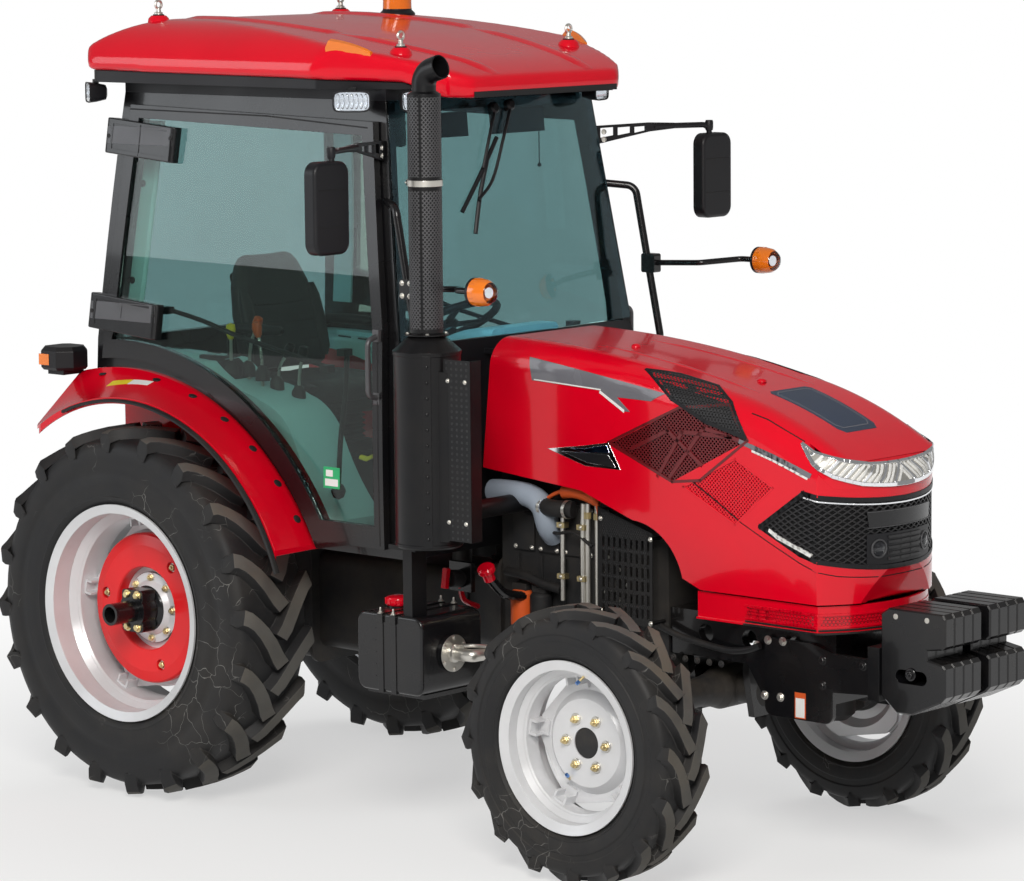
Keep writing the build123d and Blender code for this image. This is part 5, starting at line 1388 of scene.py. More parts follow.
# ------------------------------------------------------------------ exhaust
@dataclass
class Exhaust:
    """Heat shields, seams, rivets and clamp of the upright exhaust.

    Attributes:
        x: place of its axis in the layout.
        y: place of its axis in the layout.
        can_r: radius of the muffler.
        stack_r: radius of the stack.
    """

    x: float = 1370.0
    y: float = -700.0
    can_r: float = 110.0
    stack_r: float = 53.0

    def build(self) -> None:
        """Make the pieces on the muffler and on the stack."""
        self.shield()
        self.can()
        self.stack()

    def shield(self) -> None:
        """Perforated heat shield that stands outside the muffler, and its front flange."""
        form = Form()
        low, high = at(1482, -744, 1043), at(1600, -744, 1632)
        width, tall = (high.x - low.x) / MM, (high.z - low.z) / MM
        sheet = Matrix.Translation(low) @ Matrix.Rotation(math.pi / 2, 4, "X")
        form.box((0, 0, -1.2), (width, tall, 1.2), BLACK_SATIN, sheet)
        form.box((width - 2, 0, -50), (width, tall, 0), BLACK_SATIN, sheet)
        columns, rows = 5, 30
        for i in range(columns):
            for k in range(rows):
                spot = shift((i + 0.7) * width / (columns + 0.4), (k + 0.5) * tall / rows, 1.2)
                form.lathe([(3.8, -0.4), (3.6, 0.4), (2.6, -0.2), (0, -0.2)], GUNMETAL, sheet @ spot, 8)
        for x, z in ((20, 60), (20, 520), (95, 60), (95, 520)):
            form.bolt(sheet @ shift(x, z, 1.2), 10, ZINC)
        for z in (1120, 1540):
            form.box((1460, -742, z), (1500, -700, z + 24), BLACK_SATIN)
        frame = spin(self.x, self.y, 0, 12.0)
        turn = frame.to_3x3()
        front = Projection(Skin("exhaust_muffler"), lambda u, v: frame @ Vector((0.5, u * MM, v * MM)),
                           lambda u, v: turn @ Vector((-1, 0, 0)))
        front.patch(form, rect(-70, 1040, 70, 1587), BLACK_SATIN, -2.0, 0.8, 60.0)
        form.done("exhaust_heat_shield", "black_paint")

    def can(self) -> None:
        """Bands, bolts and rivets of the muffler."""
        form, r = Form(), self.can_r
        for low, high in ((1012, 1024), (1636, 1650)):
            form.lathe([(r, low), (r + 2.2, low + 2), (r + 2.2, high - 2), (r, high)], BLACK_SATIN,
                       spin(self.x, self.y, 0), 64)
        for k in range(12):
            where = spin(self.x, self.y, 1045 + 51 * k, -48) @ Vector(((r + 4) * MM, 0, 0))
            outward = spin(0, 0, 0, -48).to_3x3() @ Vector((1, 0, 0))
            form.lathe([(6, -1), (5.5, 2), (3, 3.5), (0, 4)], BLACK_SATIN, facing(where, outward), 12)
        for k in range(4):
            frame = spin(self.x, self.y, 1704, 45 + 90 * k) @ shift(62, 0, 0)
            form.bolt(frame, 11, ZINC)
        form.lathe([(50, 1700), (72, 1700), (72, 1704.5), (53, 1704.5), (53, 1720), (50, 1720)],
                   BLACK_SATIN, spin(self.x, self.y, 0), 48, closed=True)
        form.done("muffler_fittings", "black_paint", bevel_mm=0.5)

    def stack(self) -> None:
        """Perforated guard round the stack, with its seams, hoops and clamp."""
        axis = at(self.x, self.y, 0)

        def way(u: float, v: float) -> Vector:
            angle = u / self.stack_r
            return Vector((-math.cos(angle), -math.sin(angle), 0))
        skin = Skin("exhaust_stack")
        around = Projection(skin, lambda u, v: axis + Vector((0, 0, v * MM)) - 0.3 * way(u, v), way)
        form, full = Form(), 2 * math.pi * self.stack_r
        pitch = full / 26
        for low, high in ((1722, 2174), (2212, 2474)):
            around.screen(form, rect(0.1, low, full - 0.1 + pitch / 2, high), (pitch, 7.4), (4.3, 4.3),
                          GUNMETAL, 4, 0.6, 1.9)
        form.done("stack_guard", "black_paint", angle=50.0)
        for low, high in ((1708, 1722), (2170, 2182), (2204, 2214), (2470, 2480)):
            self.hoop(form, low, high, 55.0, BLACK_SATIN)
        for turn in (-62, 118):
            form.box((53.5, -4, 1710), (56.5, 4, 2478), BLACK_SATIN, spin(self.x, self.y, 0, turn))
        self.hoop(form, 2183, 2203, 58.0, ZINC)
        lug = spin(self.x, self.y, 2193, 180)
        for s in (-1, 1):
            form.box((56, s * 7 - 2, -10), (72, s * 7 + 2, 10), ZINC, lug)
        form.bolt(lug @ shift(65, 9, 0) @ Matrix.Rotation(-math.pi / 2, 4, "X"), 12, ZINC, stud=8)
        form.done("stack_hoops", "black_paint", bevel_mm=0.4)

    def hoop(self, form: Form, low: float, high: float, radius: float, finish: Finish) -> None:
        """Add a band round the stack, sizes in millimetres."""
        inner = self.stack_r - 1
        form.lathe(rect(inner, low, radius, high), finish, spin(self.x, self.y, 0), 56, closed=True)


# ------------------------------------------------------------------ roof and lamps
@dataclass
class Roof:
    """Everything that stands on the roof or hangs under its edge."""

    def build(self) -> None:
        """Make the shell, ribs, eyes, markers, mesh strip, work lamps and beacon base."""
        self.shell()
        self.view = from_above(Skin("cab_roof"))
        self.ribs()
        for side in Side:
            self.eyes(side)
            self.marker(side)
        self.front()
        self.lamps()
        self.beacon()

    def shell(self) -> None:
        """The moulded roof with its edges rounded over, in place of the sharp CAD form."""
        source = bpy.data.objects["cab_roof"].data
        form = Form()
        form.add([v.co for v in source.vertices], [tuple(p.vertices) for p in source.polygons], RED)
        piece = form.done("roof_shell", "red_paint", weld=True, replaces=["cab_roof"])
        skin = piece.modifiers.new("skin", "REMESH")
        skin.mode, skin.voxel_size, skin.use_smooth_shade = "VOXEL", 0.0095, True
        soften = piece.modifiers.new("soften", "SMOOTH")
        soften.factor, soften.iterations = 0.5, 22

    def ribs(self) -> None:
        """Raised ribs on the roof skin."""
        form = Form()
        paths = [[(640, -330), (900, -300), (1130, -250), (1262, -236)],
                 [(-250, -300), (120, -330), (520, -345), (640, -330)]]
        for path in paths:
            for s in (-1, 1):
                line = smooth_path([(x, s * y, 0) for x, y in path], 6)
                rows = []
                for i, p in enumerate(line):
                    t = i / (len(line) - 1)
                    high = 7.0 * min(1.0, 6 * t, 6 * (1 - t)) + 0.2
                    rows.append([self.view.point(p.x, p.y + dy, lift) or at(p.x, p.y + dy, 2500)
                                 for dy, lift in ((-34, -1.5), (-16, high), (16, high), (34, -1.5))])
                form.sweep(rows, RED)
        form.done("roof_ribs", "red_paint", angle=70.0)

    def eyes(self, side: Side) -> None:
        """Lifting eyes on their bosses."""
        form = Form()
        for x, y in ((1007, 423), (-130, 455)):
            base = self.view.point(x, side.value * y, -1.0)
            frame = Matrix.Translation(base)
            form.lathe([(40, -12), (36, 10), (26, 20), (0, 20)], RED, frame, 28)
            form.lathe([(20, 18), (20, 24), (0, 24)], SEAL, frame, 24)
            form.lathe([(15, 23), (15, 30), (9, 33), (8, 46), (0, 46)], ZINC, frame, 20)
            ring = [frame @ Vector((0.0, 0.014 * math.sin(a), 0.058 + 0.014 * math.cos(a)))
                    for a in (2 * math.pi * k / 20 for k in range(21))]
            form.tube(ring, 4.8, ZINC, 8)
        form.done(f"lifting_eyes_{side.word}", "zinc")

    def marker(self, side: Side) -> None:
        """Amber side marker on the roof's front shoulder."""
        form, s = Form(), side.value
        rise, across = Vector((0, s * 0.35, 0.94)) * MM, Vector((0.2, s * 0.9, -0.34)) * MM
        base = [self.view.point(838 + 145 * t, s * (600 - 60 * t), 0.0) for t in (0.0, 1.0)]
        rows = []
        for i in range(11):
            t = i / 10
            tall = 3 + 24 * min(1.0, t / 0.1) * (1 - t) ** 0.7
            middle = base[0].lerp(base[1], t) + rise * 6 * math.sin(math.pi * t)
            shape = ((-1, -14), (-0.9, 0), (-0.6, tall), (0.6, tall), (0.9, 0), (1, -14))
            rows.append([middle + across * w * (17 - 8 * t) + rise * h for w, h in shape])
        form.sweep(rows, AMBER, lids=(AMBER, AMBER))
        form.done(f"roof_marker_{side.word}", "lamp_amber", angle=60.0)

    def front(self) -> None:
        """Black mesh strip and lip under the roof's front edge."""
        skin, form = Skin("cab_roof", "roof_liner"), Form()
        ahead = Projection(skin, lambda u, v: at(2200, u, v), lambda u, v: Vector((-1, 0, 0)))
        ahead.patch(form, rect(-360, 2450, 360, 2470), SEAL, -2.0, 1.2, 60.0)
        under = Projection(skin, lambda u, v: at(u, v, 2000), lambda u, v: Vector((0, 0, 1)))
        under.screen(form, rect(1110, -370, 1255, 370), (16.0, 8.0), (5.4, 5.4), PLASTIC, 4, 0.3, 2.0)
        form.done("roof_intake_mesh", "black_plastic")

    def lamps(self) -> None:
        """Reflector, slats and lens of each work lamp."""
        form = Form()
        for x, y, turn in ((930, 574, 55), (1088, 450, 20), (-318, 574, 125)):
            for s in (-1, 1):
                frame = spin(x, s * y, 2440, s * turn) @ shift(34, 0, 0)
                rows = []
                for deep, half, tall in ((-0.062, 0.020, 0.014), (-0.056, 0.040, 0.026),
                                         (-0.022, 0.058, 0.033), (0.006, 0.064, 0.036),
                                         (0.006, 0.060, 0.032), (-0.004, 0.058, 0.030)):
                    rows.append([frame @ Vector((deep, half * squared(math.cos(a), 0.4),
                                                 tall * squared(math.sin(a), 0.4)))
                                 for a in turns(24, 0.5)])
                form.sweep(rows, PLASTIC, closed=True, lids=(PLASTIC, CHROME))
                form.box((-14, -12, 30), (-34, 12, 46), BLACK, frame)
                for k in range(-3, 4):
                    cup = frame @ shift(-3, 15.5 * k, 0) @ Matrix.Rotation(math.pi / 2, 4, "Y")
                    cup = cup @ Matrix.Diagonal((3.4, 1, 1, 1))
                    form.lathe([(7.6, 0), (6.6, 3), (5.2, 3), (2, 0.4), (0, 0.4)], CHROME, cup, 12)
                form.box((2, -59, -31), (4, 59, 31), LENS, frame)
        form.done("work_lamp_faces", "black_plastic", bevel_mm=0.4, replaces=["work_lamps"])

    def beacon(self) -> None:
        """Black base and ribbed lens of the beacon."""
        form, frame = Form(), spin(180, 430, 0)
        form.lathe([(63.5, 2668), (64.5, 2670), (64.5, 2696), (56, 2704), (52.5, 2708),
                    (52.5, 2712), (50, 2712)], PLASTIC, frame, 48)
        for k in range(24):
            rib = frame @ Matrix.Rotation(2 * math.pi * k / 24, 4, "Z")
            form.box((49.5, -1.6, 2716), (51.2, 1.6, 2776), AMBER, rib)
        form.done("beacon_base", "black_plastic", bevel_mm=0.4)


@dataclass
class Signals:
    """Front turn signals and the tail lamps, which stand for the CAD ones.

    Attributes:
        tail_x: x range of a tail lamp.
        tail_y: |y| range of it.
        tail_z: z range of it.
    """

    tail_x: tuple[float, float] = (-498.0, -352.0)
    tail_y: tuple[float, float] = (590.0, 735.0)
    tail_z: tuple[float, float] = (1462.0, 1545.0)

    def build(self) -> None:
        """Make both sides' lamps."""
        for side in Side:
            self.front(side)
            self.tail(side)

    def front(self, side: Side) -> None:
        """Ribbed amber dome with a clear cap on a black base."""
        form = Form()
        frame = facing(at(1590, side.value * 726, 1855), (1, 0, 0))
        form.lathe([(24, 0), (34, 10), (45.8, 14), (45.8, 24), (44, 24)], PLASTIC, frame, 36)
        form.lathe([(44.8, 22), (45.2, 46), (41.5, 72), (34, 85)], AMBER, frame, 36)
        form.lathe([(34, 85), (27, 94), (14, 100), (0, 101.8)], LENS, frame, 36)
        form.lathe([(22, 20), (22, 60), (14, 74), (0, 78)], CHROME, frame, 20)
        for k in range(18):
            rib = frame @ Matrix.Rotation(2 * math.pi * k / 18, 4, "Z")
            form.box((44, -1.2, 26), (45.9, 1.2, 47), AMBER, rib)
        form.done(f"turn_signal_{side.word}", "lamp_amber",
                  replaces=["signal_lamps"] if side is Side.RIGHT else [])

    def tail(self, side: Side) -> None:
        """Chamfered black housing with its lenses facing the rear."""
        form, s = Form(), side.value
        (x0, x1), (y0, y1), (z0, z1) = self.tail_x, self.tail_y, self.tail_z
        plan = [(x0, y0 + 24), (x0 + 24, y0), (x1 - 40, y0), (x1, y0 + 34), (x1, y1 - 44),
                (x1 - 44, y1), (x0 + 24, y1), (x0, y1 - 24)]
        middle = ((x0 + x1) / 2, (y0 + y1) / 2)
        rows = []
        for z, share in ((z0, 0.90), (z0 + 10, 1.0), (z1 - 16, 1.0), (z1, 0.84)):
            rows.append([at(middle[0] + (x - middle[0]) * share,
                                   s * (middle[1] + (y - middle[1]) * share), z) for x, y in plan])
        form.sweep(rows, PLASTIC, closed=True, lids=(PLASTIC, PLASTIC))
        back = facing(at(x0 - 0.2, s * middle[1], (z0 + z1) / 2 - 2), (-1, 0, 0))
        for low, high, finish in ((-44, -2, AMBER), (2, 44, RED_LENS)):
            form.box((low, -27, -2), (high, 27, 4), finish, back)
        frame = facing(at((x0 + x1) / 2 - 34, s * y1, (z0 + z1) / 2 - 4), (0, s, 0))
        form.box((-26, -20, -1), (26, 20, 2), AMBER, frame)
        foot = [at(x, s * y, z) for z in (1446, z0 + 6) for x, y in
                ((-466, 614), (-384, 614), (-384, 711), (-466, 711))]
        form.add(foot, [(0, 1, 5, 4), (1, 2, 6, 5), (2, 3, 7, 6), (3, 0, 4, 7)], PLASTIC)
        form.done(f"tail_lamp_{side.word}", "lamp_amber", bevel_mm=2.0, angle=30.0)


# ------------------------------------------------------------------ cab
def side_y(z: float) -> float:
    """Half width of the cab's side surface at height z."""
    t = (z - 930) / 1540
    return 622 - 107 * t + 86 * t * (1 - t)


@dataclass
class Cab:
    """What shows on and in the cab apart from the seat."""

    def build(self) -> None:
        """Make the trim, mirrors, doors' fittings, wipers, levers and instruments."""
        for side in Side:
            self.inner_trim(side)
            self.mirror(side)
            self.rail(side)
            self.hinges(side)
            self.door(side)
        self.wipers()
        self.controls()
        self.panel()

    def inner_trim(self, side: Side) -> None:
        """Pale pillar strip behind the door, with its two plugs."""
        form, s = Form(), side.value
        rows = []
        for k in range(9):
            z = 1620 + 90 * k
            x = -262 + 76 * k / 8
            y = side_y(z) - 60
            bow = 6 * math.sin(math.pi * k / 8)
            rows.append([at(x + dx + bow, s * (y + dy), z) for dx, dy in
                         ((0, 0), (8, 9), (84, 9), (92, 0), (92, -8), (0, -8))])
        form.sweep(rows, TEAL, closed=True)
        form.done(f"pillar_trim_{side.word}", "teal_plastic", bevel_mm=1.5)
        for z, x in ((2120, -172), (1780, -205)):
            frame = facing(at(x, s * (side_y(z) - 50), z), (0, s, 0))
            form.lathe([(13, -4), (12, 3), (6, 4), (0, 4)], PLASTIC, frame, 20)
        form.done(f"pillar_plugs_{side.word}", "black_plastic")

    def mirror(self, side: Side) -> None:
        """Mirror glass, head seam and arm bolts."""
        form, s = Form(), side.value
        outline = []
        for cx, cz, start in ((48, 118, 0), (-48, 118, 90), (-48, -118, 180), (48, -118, 270)):
            for k in range(5):
                a = math.radians(start + 22.5 * k)
                outline.append((cx + 16 * math.cos(a), cz + 16 * math.sin(a)))
        back = facing(at(1176.3, s * 976, 2120), (-1, 0, 0))
        form.plate(outline, -2, 1.2, CHROME, back)
        form.done(f"mirror_glass_{side.word}", "chrome")
        for z in (2060, 2180):
            form.box((-62, -1.6, -1), (62, 1.6, 1.2), SEAL, facing(at(1224, s * 976, z), (1, 0, 0)))
        for x, z in ((1050, 2288), (1050, 2262)):
            form.bolt(facing(at(x - 2, s * 560, z), (-0.75, s, 0)), 13, ZINC)
        form.lathe([(13, -10), (14.5, 0), (14.5, 20), (12, 26), (0, 26)], PLASTIC,
                   spin(1200, s * 956, 2290), 20)
        form.done(f"mirror_fittings_{side.word}", "black_plastic", bevel_mm=0.4)

    def rail(self, side: Side) -> None:
        """Bolts on the rail's clamp and feet."""
        form, s = Form(), side.value
        for x in (1198, 1232):
            for z in (1812, 1854):
                form.bolt(beside(x, 632, z, s), 13, ZINC, stud=3)
        form.done(f"rail_bolts_{side.word}", "zinc")

    def hinges(self, side: Side) -> None:
        """Raised badge-free panel and screws on each hinge cover."""
        form, s, body = Form(), side.value, f"cab_door_{side.word}"
        skin = Skin(f"door_frame_{side.word}")
        view = from_side(skin, side)
        for x, z in ((-304, 1676), (-256, 2290)):
            view.line(form, [(x + 30, z + 4), (x + 292, z + 4)], 62.0, GUNMETAL, 0.6, -1.0)
            for dx in (6, 316):
                place = view.point(x + dx, z, 0.0)
                if place:
                    form.lathe([(8, -2), (7, 2), (3, 2.5), (0, 1)], SEAL, facing(place, (0, s, 0)), 16)
        form.done(f"hinge_cover_panels_{side.word}", "black_paint", body)

    def door(self, side: Side) -> None:
        """Grab bar, latch rod, lever, blank sign and seals of a door."""
        s, body = side.value, f"cab_door_{side.word}"
        form = Form()
        bar = [(10, 1689), (180, 1660), (358, 1618), (600, 1575), (800, 1540)]
        form.tube(smooth_path([at(x, s * (side_y(z) - 34), z) for x, z in bar], 5), 8.5, PLASTIC)
        post = [(880, 1600), (878, 1470), (858, 1300), (850, 1140)]
        form.tube(smooth_path([at(x, s * (side_y(z) - 30), z) for x, z in post], 4), 9, PLASTIC)
        form.lathe([(1, -30), (18, -22), (26, 0), (18, 20), (1, 30)], PLASTIC,
                   spin(850, s * (side_y(1130) - 30), 1130), 20)
        for x, z in ((10, 1689), (800, 1540), (880, 1600)):
            form.box((-18, -12, -14), (18, 12, 26), PLASTIC,
                     facing(at(x, s * (side_y(z) - 24), z), (0, s, 0)))
        form.done(f"door_bars_{side.word}", "black_plastic", body, bevel_mm=1.0)
        lever = [(960, 1255), (990, 1250), (1018, 1262)]
        form.tube([at(x, s * (side_y(z) - 22), z) for x, z in lever], 10, LABEL, 12, squash=0.6)
        form.done(f"door_lever_{side.word}", "lamp_amber", body)
        frame = facing(at(862, s * (side_y(1180) + 17.5), 1180), (0, s, 0.02))
        form.box((-38, -36, -0.5), (38, 36, 0.6), GREEN, frame)
        form.box((-30, -28, 0.6), (30, -4, 0.9), WHITE, frame)
        form.box((-26, 4, 0.6), (6, 26, 0.9), WHITE, frame)
        form.done(f"door_sign_{side.word}", "grille_plastic", body)
        skin = Skin(f"door_frame_{side.word}")
        view = from_side(skin, side)
        view.line(form, [(-150, 1660), (-90, 2330)], 4.0, SEAL, 0.6)
        view.line(form, [(-176, 2384), (500, 2378), (975, 2352)], 5.0, SEAL, 0.8)
        view.line(form, [(1098, 975), (1070, 1690)], 5.0, SEAL, 0.8)
        form.done(f"door_seal_{side.word}", "black_plastic", body)

    def wipers(self) -> None:
        """Two wiper arms with their blades on the windscreen, and the folded sun visor."""
        skin = Skin("windscreen")
        ahead = Projection(skin, lambda u, v: at(1800, u, v), lambda u, v: Vector((-1, 0, 0)))
        form = Form()
        for arm, blade in ((((20, 2405), (-40, 2290), (-112, 2160), (-190, 2095)),
                            ((-120, 2225), (-172, 2110), (-214, 1985))),
                           (((-60, 2398), (-110, 2290), (-150, 2200)),
                            ((-60, 2300), (-150, 2190), (-262, 2060)))):
            for path, lift, radius in ((arm, 16.0, 5.5), (blade, 7.0, 7.5)):
                points = [ahead.point(u, v, lift) for u, v in path]
                form.tube(smooth_path([p for p in points if p], 5), radius, PLASTIC, 8, squash=0.7)
            boss = ahead.point(*arm[0], 2.0)
            if boss:
                form.lathe([(20, -4), (20, 14), (13, 20), (0, 20)], PLASTIC,
                           facing(boss, (1, 0, 0.2)), 20)
        form.done("wipers", "black_plastic")
        for y0, y1 in ((-330, -60), (60, 330)):
            rows = [[at(965 + 4 * k, y, 2385 - 42 * k) for y in (y0, (y0 + y1) / 2, y1)]
                    for k in range(3)]
            rows += [[p - Vector((0.009, 0, 0)) for p in row] for row in reversed(rows)]
            form.sweep(rows, PLASTIC, loop=True)
        form.tube([at(972, 300, 2300), at(973, 300, 2190)], 2, PLASTIC, 6)
        form.lathe([(1, -8), (7, -4), (7, 4), (1, 8)], PLASTIC, spin(973, 300, 2184), 12)
        form.done("sun_visors", "black_plastic", bevel_mm=1.0)

    def controls(self) -> None:
        """Levers with orange, yellow and black grips on the consoles, a pod and the floor pedals."""
        form = Form()
        for x, y, lean, tall, finish in ((250, -395, 20, 150, ORANGE), (315, -420, -10, 140, ORANGE),
                                         (385, -385, 25, 110, PLASTIC), (180, -430, 0, 120, LABEL),
                                         (450, -360, 10, 130, PLASTIC), (260, 400, 10, 120, PLASTIC)):
            foot = 1478 - max(0, x - 300) * 0.5
            path = [at(x - lean, y, foot - 60), at(x - lean / 2, y, foot + tall * 0.5),
                    at(x + lean, y, foot + tall)]
            form.tube(smooth_path(path, 5), 6, ZINC, 10)
            top = facing(path[-1], path[-1] - path[-2])
            form.lathe([(8, -12), (14, 0), (18, 22), (15, 40), (0, 46)], finish, top, 20)
            form.lathe([(26, -20), (24, 12), (14, 30), (7, 34)], SEAL, spin(x - lean, y, foot), 20)
        for x in (150, 190):
            frame = spin(x - 60, -455, 1512, 8)
            form.box((-30, -12, 0), (30, 12, 16), PLASTIC, frame)
        for y in (-150, -60, 150):
            form.tube([at(1010, y, 1210), at(985, y, 1040), at(940, y, 1010)], 10, PLASTIC, 10)
            form.box((-35, -32, -4), (35, 32, 6), PLASTIC, facing(at(930, y, 1012), (-0.55, 0, 0.8)))
        form.done("cab_controls", "black_plastic", bevel_mm=0.8)
        for s in (-1, 1):
            skin = Skin("cab_consoles")
            top = from_above(skin)
            for x in (-230, -40, 60):
                path = [top.point(x + dx, s * 330, 1.0) for dx in (0, 30, 60)]
                if all(path):
                    form.tube(path, 4, SEAL, 8)
            top.patch(form, rect(80, s * 400 - 55, 225, s * 400 + 55), PLASTIC, -2.0, 2.5)
        form.done("console_panels", "teal_plastic", bevel_mm=0.6)

    def panel(self) -> None:
        """Instrument cluster, its bezel, the column stalks and the wheel's centre cap."""
        skin, form = Skin("dash_console"), Form()
        way = Vector((0.9, 0, -0.42)).normalized()
        face = Projection(skin, lambda u, v: at(897, u, 1556) - way * 0.25
                          + Vector((0.42, 0, 0.9)) * (v * MM), lambda u, v: way)
        face.patch(form, [(-125, -42), (125, -42), (112, 42), (-112, 42)], PLASTIC, -2.0, 5.0)
        for u in (-72, 0, 72):
            place = face.point(u, 0, 6.0)
            if place:
                form.lathe([(32, -2), (32, 4), (29, 4), (28, 0), (0, 0)],
                           CHROME if u == 0 else GUNMETAL, facing(place, -way), 28)
        form.done("instrument_cluster", "black_plastic", bevel_mm=0.8)
        for s in (-1, 1):
            form.tube([at(855, s * 24, 1552), at(838, s * 90, 1578), at(826, s * 135, 1592)], 7,
                      PLASTIC, 10, taper=1.5)
        form.done("column_stalks", "black_plastic")
        axis = Vector((-210, 0, 390)).normalized()
        hub = facing(at(800, 0, 1640) + axis * 0.004, axis)
        form.lathe([(42, -6), (40, 3), (30, 5.5), (0, 6.5)], GUNMETAL, hub, 32)
        form.done("wheel_cap", "black_plastic", Body.WHEEL)


# ------------------------------------------------------------------ seat
@dataclass
class Pad:
    """A stuffed form that a short cloth simulation swells.

    Attributes:
        name: the piece's name.
        cap_mm: how far a point may move.
        voxel_mm: size of the remeshed faces.
        fill: how full it is, from 0 to 1; not used.
    """

    name: str
    cap_mm: float
    voxel_mm: float = 6.0
    fill: float = 0.8

    def swell(self, form: Form) -> bpy.types.Object:
        """Turn the gathered shape into the finished pad."""
        piece = form.done(self.name, "seat_vinyl", weld=True)
        self.remesh(piece)
        self.simulate(piece)
        fine = piece.modifiers.new("fine", "SUBSURF")
        fine.levels = fine.render_levels = 1
        return piece

    def bake(self, piece: bpy.types.Object) -> bpy.types.Mesh:
        """The piece's mesh with its modifiers, as a new mesh."""
        graph = bpy.context.evaluated_depsgraph_get()
        baked = bpy.data.meshes.new_from_object(piece.evaluated_get(graph))
        baked.materials.clear()
        for finish in piece.data.materials:
            baked.materials.append(finish)
        return baked

    def remesh(self, piece: bpy.types.Object) -> None:
        """Give the piece an even skin."""
        skin = piece.modifiers.new("skin", "REMESH")
        skin.mode, skin.voxel_size = "VOXEL", self.voxel_mm * MM
        piece.data = self.bake(piece)
        piece.modifiers.clear()
        for face in piece.data.polygons:
            face.use_smooth = True

    def simulate(self, piece: bpy.types.Object) -> None:
        """Blow the skin up a little, then hold each point near where it began."""
        start = [v.co.copy() for v in piece.data.vertices]
        cloth = piece.modifiers.new("swell", "CLOTH")
        settings = cloth.settings
        settings.use_pressure = True
        settings.uniform_pressure_force = 4.0
        settings.quality = 5
        settings.mass = 0.2
        settings.tension_stiffness = settings.compression_stiffness = 12.0
        settings.shear_stiffness = 6.0
        settings.effector_weights.gravity = 0.0
        cloth.collision_settings.use_collision = False
        cloth.point_cache.frame_start, cloth.point_cache.frame_end = 1, 20
        for frame in range(1, 21):
            bpy.context.scene.frame_set(frame)
        piece.data = self.bake(piece)
        piece.modifiers.clear()
        bpy.context.scene.frame_set(1)
        for vertex, origin in zip(piece.data.vertices, start):
            shift = vertex.co - origin
            if shift.length > self.cap_mm * MM:
                vertex.co = origin + shift.normalized() * self.cap_mm * MM
        for face in piece.data.polygons:
            face.use_smooth = True


